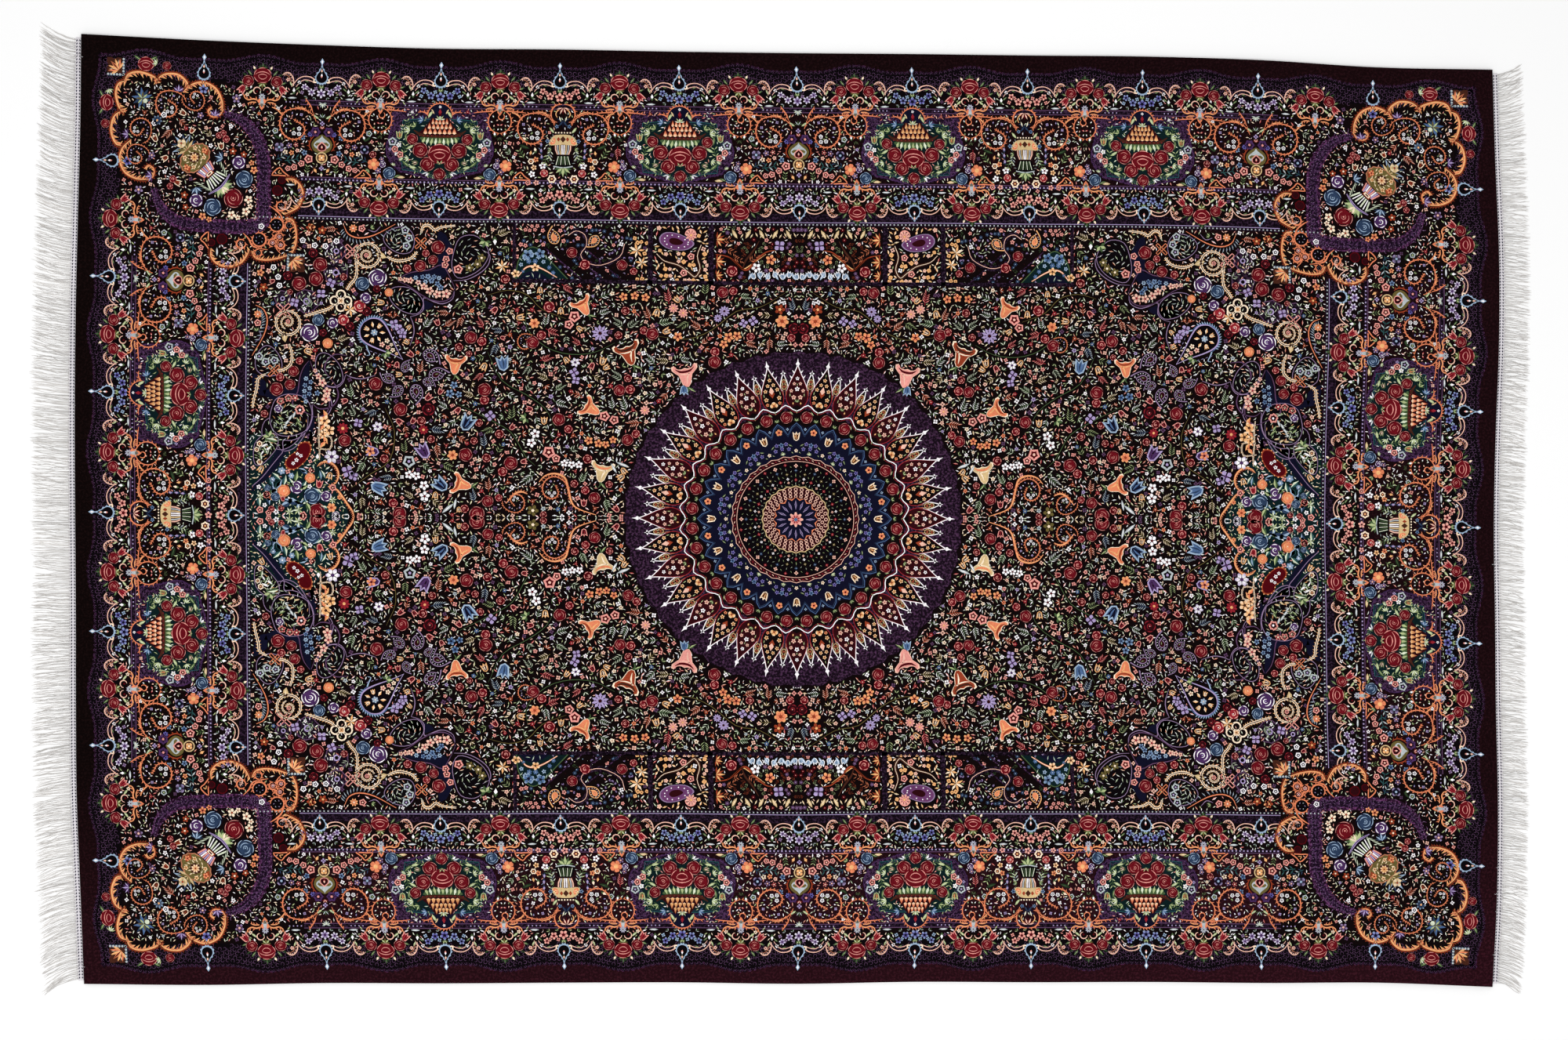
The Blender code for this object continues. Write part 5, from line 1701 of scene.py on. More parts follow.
# %% Small pictures
def lay_panels():
    """The row of small pictures along the long sides of the field."""
    # a half dome of teal with a gold arc
    dome = smooth([(584, 504), (580, 540), (562, 566), (544, 570), (520, 548), (478, 504)], 3)
    quarter.patch(dome, "abyss", 6)
    quarter.sow([(daisy(5, "sky", "slate", fat=0.6),
                  [(566, 548, 0.6), (552, 556, 0.6), (538, 550, 0.55), (574, 534, 0.5), (528, 540, 0.5)]),
                 (daisy(6, "blue", "sky"),
                  [(558, 541, 0.6), (545, 541, 0.6), (516, 528, 0.5), (508, 517, 0.5), (570, 520, 0.4)]),
                 (two_tone("sea", "mint"),
                  [(560, 562, 0.5), (536, 560, 0.5), (522, 550, 0.5), (512, 538, 0.5), (575, 545, 0.5),
                   (550, 512, 0.6), (536, 510, 0.5), (560, 510, 0.5)])], 9)
    quarter.ribbon(dome, 2.0, "green", 7, 1)
    quarter.ribbon([(580, 508), (566, 526), (550, 531), (528, 524), (500, 507)], [2, 3.6, 3.6, 2], "orange",
                   8)
    quarter.ribbon([(580, 508), (566, 526), (550, 531), (528, 524), (500, 507)], [0.8, 1.5, 1.5, 0.8],
                   "cream", 9)
    quarter.patch(smooth([(576, 504), (564, 517), (548, 520), (530, 514), (516, 504)], 2), "navy", 7)
    # diagonal green strips with roses, a cream coral corner
    for x in (474, 430, 392):
        strip = [(x + 38, 576), (x + 50, 566), (x - 30, 504), (x - 52, 504)]
        quarter.patch(strip, "ground", 6)
        quarter.ribbon([(x + 52, 570), (x - 24, 504)], 2.6, "grape", 7, 1)
    arch = [(478, 596), (462, 606), (444, 598), (440, 576), (452, 556), (440, 540), (410, 534), (372, 552),
            (362, 580)]
    quarter.ribbon(arch, [2, 12, 12, 6, 10, 12, 12, 8, 2], "plum", 7)
    quarter.ribbon(arch, 1.2, "peach", 9)
    # a wide violet boteh ringed with dots on gold florets
    boteh = smooth([(290, 596), (276, 606), (248, 602), (222, 588), (220, 578), (238, 568), (270, 570),
                    (288, 582)], 3, True)
    middle = boteh.mean(0)
    quarter.patch((boteh - middle) * 1.12 + middle, "night", 6)
    quarter.patch(boteh, "orchid", 7)
    quarter.patch((boteh - middle) * 0.92 + middle, "magenta", 8)
    quarter.patch((boteh - middle) * 0.4 + middle, "wine", 9)
    for x, y in (boteh[::2] - middle) * 0.68 + middle:
        quarter.disc(x, y, 1.5, 5, "white", 9)
    quarter.ribbon(arc(225, 602, 12, 0, 400, 14, 0.4), [2, 4, 3, 1], "pink", 8, 1)
    swing = [(296, 560), (280, 545), (250, 536), (228, 520), (216, 512), (206, 530), (212, 556), (204, 580)]
    quarter.ribbon(swing, [2, 7, 7, 3], "brown", 7)
    quarter.ribbon(swing, 1.0, "cream", 8)
    # branches, ferns and pale leaves by the centre line
    vines([("rust", 4,
            [(174, 560), (150, 556), (134, 545), (118, 530), (106, 530), (92, 548), (70, 566), (52, 570)]),
           ("brown", 4, [(118, 530), (112, 548), (98, 566), (84, 590)]),
           ("gold", 2, [(150, 556), (134, 545), (118, 530), (100, 540), (70, 562)])], 7)
    for k in range(12):
        quarter.put(two_tone("sand", "cream"), 10 + 10 * k, 603 - 3 * (k % 2), 60 - 120 * (k % 2), 0.55, 8)
    for k in range(7):
        quarter.put(tulip("sky", "white", "slate"), 6 + 15 * k, 515 + 4 * (k % 2), 70 + 40 * (k % 2), 0.8,
                    8)


lay_panels()
print("with the small pictures:", quarter.triangles())


# %% Fans
def fan(outline, leaves, level=5.6):
    """A leaf-filled fan: thin mauve outline, black inside, pale leaves in rows."""
    edge = smooth(outline, 3, True)
    quarter.patch(edge, "night", level)
    quarter.ribbon(np.concatenate([edge, edge[:1]]), 1.3, "orchid", level + 0.2, 1)
    middle = edge.mean(0)
    for share, every, size in ((0.8, 2, 0.44), (0.5, 2, 0.54), (0.18, 7, 0.54)):
        around = (edge - middle) * share + middle
        for k, (x, y) in enumerate(around[::every]):
            turn = math.degrees(math.atan2(y - middle[1], x - middle[0])) + 60
            quarter.put(leaves[k % len(leaves)], x, y, turn, size, level + 1)


FIELD_FANS = [[(845, 471), (834, 484), (805, 484), (780, 466), (774, 447), (787, 429), (816, 434),
               (838, 452)],
              [(827, 611), (805, 607), (794, 586), (799, 562), (816, 555), (835, 560), (852, 573),
               (858, 588), (848, 602)],
              [(700, 590), (672, 596), (650, 580), (640, 556), (652, 530), (676, 512), (704, 506),
               (716, 530), (712, 562)]]
# dye, width and line of the outlines between the fans
FIELD_LINES = [
    ("orchid", 1.8,
     [(710, 485), (713, 462), (733, 451), (752, 455), (773, 463), (773, 440), (784, 428), (800, 423)]),
    ("orchid", 1.8, [(800, 423), (794, 408), (792, 388), (800, 362)]),
    ("mauve", 2.2, [(827, 500), (812, 511), (791, 518), (762, 522), (737, 533), (722, 512), (710, 486)]),
    ("mauve", 2.2, [(827, 497), (805, 488), (784, 473), (758, 459), (733, 456), (715, 466), (709, 485)]),
    ("orchid", 1.6, [(654, 565), (638, 554), (642, 532), (661, 514), (686, 502), (712, 500)]),
    ("orchid", 1.6, [(864, 612), (876, 600), (890, 604)]),
]


def lay_field_fans():
    """Fans and their outlines, here and across the diagonal as far as the field goes."""
    leaves = [two_tone("green", "mint"), two_tone("forest", "silver"), two_tone("rust", "cream"),
              two_tone("green", "white")]
    for outline in FIELD_FANS:
        fan(outline, leaves)
        if max(x for x, y in across(outline)) < FIELD_LONG:
            fan(across(outline), leaves)
    for dye, width, line in FIELD_LINES:
        for points in (line, across(line)):
            if max(x for x, y in points) < FIELD_LONG:
                quarter.ribbon(points, [width * 0.4, width, width, width * 0.4], dye, 7)
    navy = [(830, 498), (812, 508), (792, 515), (764, 519), (740, 528), (726, 512), (745, 500), (790, 498)]
    for points in (navy, across(navy)):
        quarter.patch(smooth(points, 2, True), "navy", 5.8)
    spots = [(790, 505), (776, 507), (764, 508), (752, 508), (742, 505), (758, 498), (770, 497), (783, 495)]
    for k, (x, y) in enumerate(spots + across(spots)):
        quarter.put(BLUE_FLORET if k % 2 else SKY_FLORET, x, y, 31 * k, 0.5, 9)


lay_field_fans()
print("with the fans:", quarter.triangles())


# %% Half medallion
def lay_half_medallion():
    """The half medallion on each short side of the field, and the fans over it."""
    leaves = [two_tone("green", "leaf"), two_tone("forest", "mint"), two_tone("brown", "gold"),
              two_tone("green", "cream")]
    fan([(1084, 228), (1076, 244), (1057, 254), (1034, 254), (1015, 247), (1004, 230), (1001, 211),
         (1007, 189), (1020, 175), (1045, 167), (1070, 169), (1084, 183), (1089, 204)], leaves, 5.9)
    fan([(1123, 122), (1120, 150), (1104, 167), (1084, 172), (1073, 166), (1072, 147), (1084, 128),
         (1104, 108), (1118, 106)], leaves, 5.9)
    red = smooth([(1054, 100), (1057, 112), (1047, 126), (1033, 136), (1029, 148), (1020, 155), (1007, 155),
                  (1002, 144), (1005, 130), (1015, 114), (1031, 100), (1043, 96)], 3, True)
    quarter.patch(red, "rust", 9)
    quarter.patch((red - (1028, 124)) * 0.9 + (1028, 124), "crimson", 10)
    for x, y in red[::2]:
        quarter.disc(x, y, 1.5, 5, "gold", 11)
    quarter.ribbon([(1001, 233), (1000, 208), (1007, 186), (1023, 167), (1043, 158), (1061, 157),
                    (1061, 136), (1071, 122), (1084, 106), (1104, 81), (1126, 61)], 1.4, "orchid", 7)
    quarter.sow(
        [(WHITE_FLORET, [(1033, 117, 0.45), (1024, 126, 0.4), (1040, 110, 0.4), (1031, 130, 0.35)]),
         (RED_FLORET, [(1066, 240, 0.8), (1050, 246, 0.8), (1036, 247, 0.7)]),
         (PURPLE_ROSE, [(1071, 224, 0.9)]), (ringed("pink", "wine", "white", 6), [(1026, 222, 0.95)]),
         (leaf("silver", "white", 3.2),
          [(1046, 205, 0.8, 120), (1052, 196, 0.8, 130), (1038, 212, 0.8, 110), (1057, 187, 0.6, 140)]),
         (two_tone("green", "leaf", 3.4),
          [(1030, 200, 0.8, 60), (1026, 190, 0.8, 40), (1066, 205, 0.8, 200), (1072, 196, 0.7, 220)]),
         (two_tone("forest", "mint", 3.4),
          [(1040, 228, 0.8, 20), (1058, 218, 0.8, 150), (1062, 186, 0.7, 250)]),
         (CREAM_LEAF,
          [(1035, 178, 0.6, 10), (1045, 174, 0.6, 30), (1056, 173, 0.6, 0), (1067, 178, 0.6, -20)]),
         (two_tone("green", "mint", 4),
          [(1090, 150, 1.1, 30), (1098, 136, 1.0, 60), (1108, 122, 0.9, 80), (1084, 158, 1.3, 10)]),
         (WHITE_BLADE, [(1092, 140, 1.0, 140), (1100, 147, 0.9, 150), (1104, 132, 0.7, 120)]),
         (CREAM_RING, [(1110, 150, 0.6), (1116, 138, 0.5), (1110, 112, 0.6)]),
         (two_tone("slate", "sky", 4),
          [(1043, 30, 1.9, 10), (1056, 24, 1.5, -25), (1080, 50, 1.6, 70), (1070, 66, 1.3, 120),
           (1092, 34, 1.2, 80), (1026, 24, 1.4, -50), (1018, 92, 1.0, 30)]),
         (daisy(6, "sky", "white", "blue"), [(1064, 94, 0.9), (1083, 76, 0.6), (1044, 84, 0.7)]),
         (two_tone("sea", "mint", 4), [
             (1075, 82, 1.2, 40), (1058, 74, 1.2, 100), (1044, 70, 1.1, 60), (1018, 66, 1.1, 120),
             (988, 52, 1.1, 30), (1100, 60, 1.1, 50), (1112, 30, 1.2, 80), (1072, 22, 1.3, 100),
             (1015, 30, 1.1, 150), (978, 88, 1.0, 60), (1000, 98, 1.1, 100), (975, 18, 1.0, 20),
         ]),
         (two_tone("green", "leaf", 4),
          [(1034, 82, 1.2, 100), (1046, 66, 1.0, 30), (1018, 60, 1.1, 150), (1010, 20, 1.2, 60),
           (1030, 28, 1.0, 200)]),
         (two_tone("sea", "sky", 4),
          [(1072, 66, 1.1, 120), (1086, 70, 1.0, 60), (1098, 48, 1.1, 80), (1020, 96, 1.0, 20),
           (984, 86, 1.0, 80)]), (SMALL_RED, [(1096, 44, 0.8), (1066, 16, 0.7), (1086, 14, 0.7)]),
         (WHITE_FLORET,
          [(1076, 8, 0.6), (1072, 24, 0.5), (1100, 22, 0.5), (1112, 60, 0.5), (1006, 62, 0.5)]),
         (tuft("leaf", "mint", 7, 300, 3),
          [(1108, 40, 1.0), (1030, 12, 1.2), (1048, 8, 1.0), (958, 34, 0.9)]),
         (PINK_RING, [(1092, 6, 0.6), (1110, 12, 0.7), (1020, 2, 0.7), (1002, 96, 0.6), (958, 60, 0.7)]),
         (BLUE_ROSE, [(1078, 40, 1.0), (1094, 58, 0.7)]),
         (RED_TULIP, [(986, 67, 1.0, 100), (1062, 36, 0.7, 80)]),
         (floret(6, "orange", "rust", 1.4, "gold", 3), [(961, 18, 1.0), (944, 40, 0.5), (1090, 38, 0.7)]),
         (PEONY, [(952, 2, 0.9)])], 13,
    )
    for line in ([(988, 215), (986, 190), (987, 165), (985, 140), (986, 118)],
                 [(990, 168), (962, 166), (964, 141), (992, 143)]):
        strap(line, 3.0)
    quarter.sow([(two_tone("orange", "gold", 4.4),
                  [(973 + 5 * (k % 2), 214 - 9 * k, 1.0, 60 + 70 * (k % 2)) for k in range(8)])], 9)


lay_half_medallion()
print("with the half medallion:", quarter.triangles())

# %% Flowers of the field
FIELD_FLOWERS = [
    (RED_ROSE, [(988, 528, 1.6), (996, 498, 1.6), (1031, 487, 1.6), (745, 570, 1.5), (755, 543, 1.1)]),
    (RED_ROSE, [(781, 530, 1.3), (1075, 265, 1.5), (1047, 275, 1.2), (1040, 303, 1.2), (675, 380, 1.4)]),
    (RED_ROSE, [(870, 280, 1.5), (818, 227, 1.5), (645, 270, 1.5), (683, 133, 1.5), (590, 115, 1.5)]),
    (RED_ROSE, [(638, 35, 1.3), (660, 8, 1.7), (820, 8, 1.5), (368, 270, 1.3), (350, 165, 1.3)]),
    (RED_ROSE, [(492, 207, 1.4), (418, 42, 1.3), (303, 390, 1.4), (173, 332, 1.4), (159, 480, 1.3)]),
    (RED_ROSE, [(933, 160, 1.4), (548, 370, 1.4), (470, 560, 1.2), (367, 535, 1.2), (990, 10, 1.8)]),
    (SMALL_RED, [(652, 372, 1.0), (530, 385, 1.0), (645, 248, 1.0), (607, 97, 1.0), (615, 42, 0.8)]),
    (SMALL_RED, [(833, 30, 1.0), (346, 272, 1.0), (333, 178, 0.9), (472, 187, 0.9), (437, 58, 0.9)]),
    (SMALL_RED, [(320, 397, 0.9), (173, 354, 1.0), (137, 483, 0.9), (15, 385, 0.9), (808, 524, 0.9)]),
    (SMALL_RED, [(770, 557, 0.8), (1068, 290, 0.9), (1028, 325, 0.8), (443, 535, 1.1), (343, 522, 0.8)]),
    (SMALL_RED, [(140, 525, 1.2), (515, 445, 1.2)]),
    (DARK_ROSE, [(1003, 552, 1.0), (1055, 503, 1.0), (890, 432, 1.0), (925, 400, 1.0), (870, 480, 0.8)]),
    (DARK_ROSE, [(980, 385, 0.8), (760, 228, 1.4), (10, 405, 1.2)]),
    (BLUE_ROSE, [(900, 490, 1.5), (990, 412, 1.3), (1001, 42, 1.8)]),
    (PURPLE_ROSE, [(893, 460, 1.2), (960, 406, 1.2), (1033, 60, 1.45), (972, 42, 1.2)]),
    (PINK_ROSE, [(905, 443, 1.3), (938, 413, 1.2)]),
    (ORANGE_ROSE, [(1060, 52, 1.35), (970, 363, 1.1), (845, 473, 0.9), (1005, 80, 1.1)]),
    (floret(9, "rose", "gold", 1.3), [(937, 185, 1.2), (770, 185, 1.0)]),
    (floret(6, "orange", "rust", 1.2, "gold"), [(710, 132, 1.1), (545, 410, 1.1), (35, 420, 1.4)]),
    (floret(6, "white", "violet", 1.0, "lilac"), [(960, 125, 1.5), (865, 190, 1.1), (460, 328, 1.0)]),
    (LILAC_FLORET, [(462, 307, 1.0), (458, 290, 0.9), (633, 215, 1.1), (905, 197, 1.0), (42, 580, 1.2)]),
    (LILAC_FLORET, [(927, 95, 1.3), (915, 85, 1.0), (95, 420, 1.0), (115, 415, 0.9), (833, 407, 1.0)]),
    (LILAC_FLORET, [(822, 396, 1.0), (815, 385, 0.9), (965, 490, 1.0), (985, 467, 1.0), (1040, 447, 1.0)]),
    (WHITE_FLORET, [(769, 68, 1.0), (768, 45, 1.1), (800, 90, 0.9), (785, 88, 0.9), (540, 177, 1.0)]),
    (WHITE_FLORET, [(548, 158, 1.0), (480, 115, 0.8), (465, 112, 0.8), (450, 112, 0.8), (90, 533, 1.0)]),
    (WHITE_PANSY, [(813, 605, 0.8), (805, 588, 0.8), (810, 572, 0.8), (1112, 333, 0.8), (1098, 322, 0.8)]),
    (WHITE_PANSY, [(1080, 325, 0.8), (800, 118, 1.2)]),
    (PINK_RING, [(398, 215, 1.0), (378, 207, 0.9), (463, 425, 1.1), (474, 408, 0.9), (703, 524, 0.9)]),
    (PINK_RING, [(1027, 223, 0.9), (512, 138, 1.2), (497, 125, 0.8), (225, 555, 0.7), (240, 520, 0.7)]),
    (PINK_RING, [(721, 562, 0.7), (728, 545, 0.7), (730, 533, 0.7), (1067, 240, 0.7), (1050, 247, 0.7)]),
    (daisy(9, "pink", "gold", "peach"),
     [(315, 228, 1.1), (260, 445, 1.1), (240, 435, 1.1), (225, 600, 1.3)]),
    (ORANGE_FLORET, [(430, 163, 0.9), (410, 157, 0.9), (395, 155, 0.8), (380, 165, 0.8), (145, 385, 1.1)]),
    (ORANGE_FLORET, [(128, 388, 1.0), (155, 370, 0.9), (250, 385, 1.0), (363, 468, 0.9), (340, 470, 0.9)]),
    (ORANGE_FLORET, [(318, 467, 0.9), (880, 138, 1.0), (1007, 605, 0.8), (1112, 508, 0.8), (60, 550, 1.1)]),
    (BLUE_FLORET, [(708, 280, 0.8), (716, 262, 0.9), (698, 260, 0.7), (560, 555, 1.2), (535, 557, 1.1)]),
    (BLUE_FLORET, [(765, 508, 0.6), (757, 500, 0.6), (745, 493, 0.6), (738, 485, 0.6), (990, 258, 0.6)]),
    (PEACH_FLORET, [(822, 502, 0.5), (812, 500, 0.6), (801, 499, 0.7), (785, 495, 0.6), (773, 487, 0.8)]),
    (PEACH_FLORET, [(761, 478, 0.9), (745, 471, 0.9), (727, 472, 1.0), (995, 305, 0.5), (988, 293, 0.7)]),
    (PEACH_FLORET, [(980, 280, 0.9), (970, 262, 0.9), (972, 247, 1.0), (1015, 593, 0.6), (1095, 512, 0.6)]),
    (floret(5, "rust", "gold"), [(1010, 605, 0.9), (985, 600, 0.9), (1105, 478, 0.9), (40, 445, 1.1)]),
    (floret(5, "olive", "cream"), [(680, 527, 0.9), (663, 535, 0.9), (655, 548, 0.9)]),
    (floret(5, "olive", "cream"), [(545, 15, 1.2)]),
    (tuft("green", "leaf", 5, 200, 5),
     [(648, 583, 1.4), (1090, 165, 1.4), (850, 345, 1.3), (560, 210, 1.3)]),
    (WHITE_BUD, [(628, 585, 1.0), (1090, 148, 1.0), (1045, 30, 1.2), (1083, 50, 1.2), (990, 122, 0.9)]),
    (WHITE_RING, [(1025, 578, 0.6), (1000, 568, 0.6)]),
    (WHITE_RING, [(978, 567, 0.6), (1085, 520, 0.6), (1075, 500, 0.6), (1072, 482, 0.6), (955, 578, 0.6)]),
    (daisy(10, "lilac", "wine"), [(410, 390, 1.8), (155, 440, 1.2), (168, 425, 0.9)]),
    (SILVER_LEAF, [(360, 113, 1.4, 20), (378, 105, 1.2, 60), (720, 20, 1.6, 140), (705, 30, 1.2, 100)]),
    (CREAM_LEAF, [(135 - 28 * k, 604, 1.1, 60 + 60 * (k % 2)) for k in range(5)]),
    (leaf("sky", "white", 3.2), [(12 + 18 * k, 515, 0.9, 60 + 60 * (k % 2)) for k in range(6)]),
    (GOLD_FLORET, [(975, 200, 1.2), (965, 180, 1.2), (978, 172, 0.9), (585, 515, 0.9), (545, 528, 0.9)]),
]
quarter.sow(FIELD_FLOWERS, 12)
print("with the field's own motifs:", quarter.triangles())

# %% [markdown]
# ## A thousand little flowers
# Whatever ground is left is sown with small flowers and leaves, as dense as the knots allow. They
# could be scattered blindly, but overlaps look careless up close. So a coarse grid remembers what
# is taken, and a flower goes only where its whole square is free: larger ones first, then small.

# %% Kinds to sow
sower = np.random.default_rng(11)
STAR_DYES = [("white", "rose"), ("pink", "wine"), ("cream", "rust"), ("peach", "crimson"),
             ("rose", "peach"), ("blue", "cream"), ("lilac", "wine"), ("orange", "wine"),
             ("silver", "slate"), ("rust", "cream")]
TONES = [("green", "mint"), ("forest", "mint"), ("green", "white"), ("olive", "cream"), ("rust", "peach"),
         ("forest", "leaf"), ("slate", "silver"), ("rose", "pink")]
STARS = [daisy(5, petal, heart, fat=0.62) for petal, heart in STAR_DYES]
SPRAYS = [fern(*tones, flower=star) for tones, star in zip(TONES, STARS[:6])]
SPRAYS += [fern(*tones, pairs=4) for tones in TONES]
SPRIGS = [sprig(star, *TONES[k % 5]) for k, star in enumerate(STARS)]
SPRIGS += [tuft(*TONES[k], 5, 150, 2.2) for k in range(6)]
SPRIGS += [tulip("wine", "pink", "rose"), tulip("brown", "gold", "cream"), small_rose("crimson", "pink")]
BRIGHT = [("green", "mint"), ("leaf", "white"), ("green", "white"), ("sand", "cream"), ("rust", "peach"),
          ("forest", "mint"), ("silver", "white"), ("rose", "pink")]
LITTLE = [two_tone(*tones, 3.0) for tones in BRIGHT]
LITTLE += [commas("white", "pink"), commas("cream", "mint"), commas("peach", "white")]
LITTLE += [two_tone("pink", "white", 3.2), two_tone("sand", "white", 3.2), two_tone("rose", "peach", 3.2),
           two_tone("leaf", "cream", 3.0)]
LITTLE += [daisy(4, dye, "wine", fat=0.6) for dye in ("white", "pink", "peach", "mauve")]
TINY = [blade(dye, 2.8) for dye in ("leaf", "cream", "white", "peach", "pink", "white", "mint", "mint")]
print("kinds to sow:", len(SPRAYS), "sprays,", len(SPRIGS), "sprigs,", len(LITTLE), "flowers")

# %% What is taken
CELL = 4.0
MEDALLION_REACH = 356
# distance from the edge of strips that stay plain: near, far, and where they end on each side
PLAIN_STRIPS = [(0, 94, (1500, 990)), (116, 130, OUTER_ENDS), (276, 289, INNER_ENDS),
                (328, 372, INNER_ENDS)]


def taken_cells(lowest=5.5):
    """Grid cells that motifs above a level already cover."""
    taken = np.zeros((int(HALF_LENGTH / CELL) + 2, int(HALF_WIDTH / CELL) + 2), bool)
    for motif in (quarter, on_long_axis, on_cross_axis):
        points, _, levels, corners, sizes = motif.gathered()
        starts = np.cumsum(sizes) - sizes
        middle = np.add.reduceat(points[corners], starts) / sizes[:, None]
        owner = np.repeat(np.arange(len(sizes)), sizes)
        marks = np.concatenate([points[corners], (points[corners] + middle[owner]) / 2, middle])
        high = np.concatenate([levels[corners], levels[corners], levels[corners[starts]]]) >= lowest
        cell = (marks[high] / CELL).astype(int)
        inside = (marks[high] >= 0).all(1) & (cell < taken.shape).all(1)
        taken[cell[inside, 0], cell[inside, 1]] = True
    grid = np.stack(np.meshgrid(*(np.arange(n) * CELL for n in taken.shape), indexing="ij"), -1)
    taken |= np.hypot(grid[..., 0], grid[..., 1]) < MEDALLION_REACH
    for near, far, ends in PLAIN_STRIPS:
        for length, end, k in ((HALF_WIDTH, ends[0], 1), (HALF_LENGTH, ends[1], 0)):
            depth = length - grid[..., k]
            taken |= (depth > near) & (depth < far) & (grid[..., 1 - k] < end)
    return taken


taken = taken_cells()
print("share of the chart that is taken:", round(float(taken.mean()), 2))

# %% Sowing by turns
ROW_STEP = 0.87  # rows stand closer than columns, as in a honeycomb
JITTER = 0.16
SIZE_SPREAD = (0.85, 1.1)


def sow_ground(taken, motifs, spacing, reach, scale, level, share=1.0,
               zone=(0, HALF_LENGTH, 0, HALF_WIDTH)):
    """Offer a jittered grid of spots, keep the free ones, and mark them as taken."""
    columns = range(int(zone[0] / spacing), int(zone[1] / spacing))
    rows = range(int(zone[2] / spacing / ROW_STEP), int(zone[3] / spacing / ROW_STEP))
    count = 0
    for i in columns:
        for j in rows:
            x = (i + 0.5 * (j % 2) + 0.25) * spacing + sower.uniform(-JITTER, JITTER) * spacing
            y = (j + 0.5) * spacing * ROW_STEP + sower.uniform(-JITTER, JITTER) * spacing
            a, b = int((x - reach) / CELL), int((x + reach) / CELL) + 1
            c, d = int((y - reach) / CELL), int((y + reach) / CELL) + 1
            if x < reach or y < reach or a < 0 or c < 0 or taken[a:b, c:d].any() or sower.random() > share:
                continue
            taken[a:b, c:d] = True
            quarter.put(motifs[sower.integers(len(motifs))], x, y, sower.uniform(0, 360),
                        scale * sower.uniform(*SIZE_SPREAD), level)
            count += 1
    return count


print("rows are", ROW_STEP, "of a column apart, and a spot strays by", JITTER, "of the spacing")

# %% The small pictures and the cartouches first
# a zone of the small pictures, and what grows in it
PANEL_SOWING = [((0, 178, 504, 620),
                 [fern("brown", "rust"), fern("forest", "leaf"), daisy(5, "pink", "wine", fat=0.62),
                  daisy(6, "crimson", "pink", fat=0.6), daisy(5, "mauve", "lilac")]),
                ((189, 304, 504, 620),
                 [daisy(4, "gold", "gold", fat=0.9), daisy(5, "peach", "gold", fat=0.9),
                  two_tone("gold", "cream", 4.4), two_tone("sand", "gold", 3.4)]),
                ((314, 344, 504, 600), [two_tone("sand", "cream", 3.6), daisy(4, "gold", "wine")]),
                ((344, 584, 504, 620),
                 [daisy(5, "pink", "wine", fat=0.62), two_tone("green", "mint"), fern("forest", "green"),
                  daisy(6, "slate", "sky", fat=0.6), tuft("violet", "lilac", 5)])]
GREENS = [two_tone("green", "mint", 3.2), two_tone("forest", "leaf", 3.4), tuft("green", "leaf"),
          fern("forest", "mint"), daisy(5, "white", "leaf", fat=0.6), two_tone("sea", "mint", 3.2)]
CARTOUCHE_ZONES = [(spot - 90, spot + 90, 724, 846) for spot in (247, 744)]
CARTOUCHE_ZONES += [(724 + CORNER_SHIFT, 846 + CORNER_SHIFT, 160, 340)]
for zone, motifs in PANEL_SOWING:
    print("in a small picture:", sow_ground(taken, motifs, 9.0, 2.8, 0.5, 5.6, 1.0, zone))
for zone in CARTOUCHE_ZONES:
    print("in a cartouche:", sow_ground(taken, GREENS, 9.0, 2.8, 0.52, 5.6, 1.0, zone))

# %% Then the rest, from large to small
PANEL_END, PANEL_NEAR, PANEL_FAR = 592, 494, 624
grid_x, grid_y = (np.arange(count) * CELL for count in taken.shape)
panels = np.ix_(grid_x < PANEL_END, (grid_y > PANEL_NEAR) & (grid_y < PANEL_FAR))
taken[panels] = True
print("sprays:", sow_ground(taken, SPRAYS, 22.0, 10.5, 1.2, 5.0, 0.85))
taken = taken_cells(4.5)
taken[panels] = True
field_zone = (0, FIELD_LONG, 0, FIELD_SHORT)
print("sprigs:", sow_ground(taken, SPRIGS, 15.0, 6.0, 0.92, 5.0, 1.0, field_zone))
print("border sprigs:", sow_ground(taken, SPRIGS, 13.0, 5.2, 0.72, 5.0, 0.35))
taken = taken_cells(4.5)
print("little flowers:", sow_ground(taken, LITTLE, 8.6, 2.6, 0.54, 4.0, 1.0, field_zone))
print("in the borders:", sow_ground(taken, LITTLE, 8.6, 2.6, 0.46, 4.0, 0.7))
taken = taken_cells(3.6)
print("tiny leaves:", sow_ground(taken, TINY, 6.0, 1.2, 0.36, 3.6, 0.8))
print("triangles in the quarter:", quarter.triangles())

# %% [markdown]
# ## From chart to mesh
# All quarters are read now: each list of shapes is laid as often as it is mirrored, settled on the
# cloth and lifted by its level. One mesh of the whole would be too big to look at closely in a
# viewer, so the drawing is split into even tiles. Faces are sorted from low to high, because a
# baked texture keeps the last face that covers a spot.

# %% Tiles of knots
LEVEL_RISE = 0.04 * MM
FIRST_RISE = 0.06 * MM
LOWEST_LEVEL = -1.0
TILE_COLUMNS, TILE_ROWS = 4, 3
MIRRORS = [(quarter, [(1, 1), (-1, 1), (1, -1), (-1, -1)]), (on_long_axis, [(1, 1), (1, -1)]),
           (on_cross_axis, [(1, 1), (-1, 1)]), (whole, [(1, 1)])]


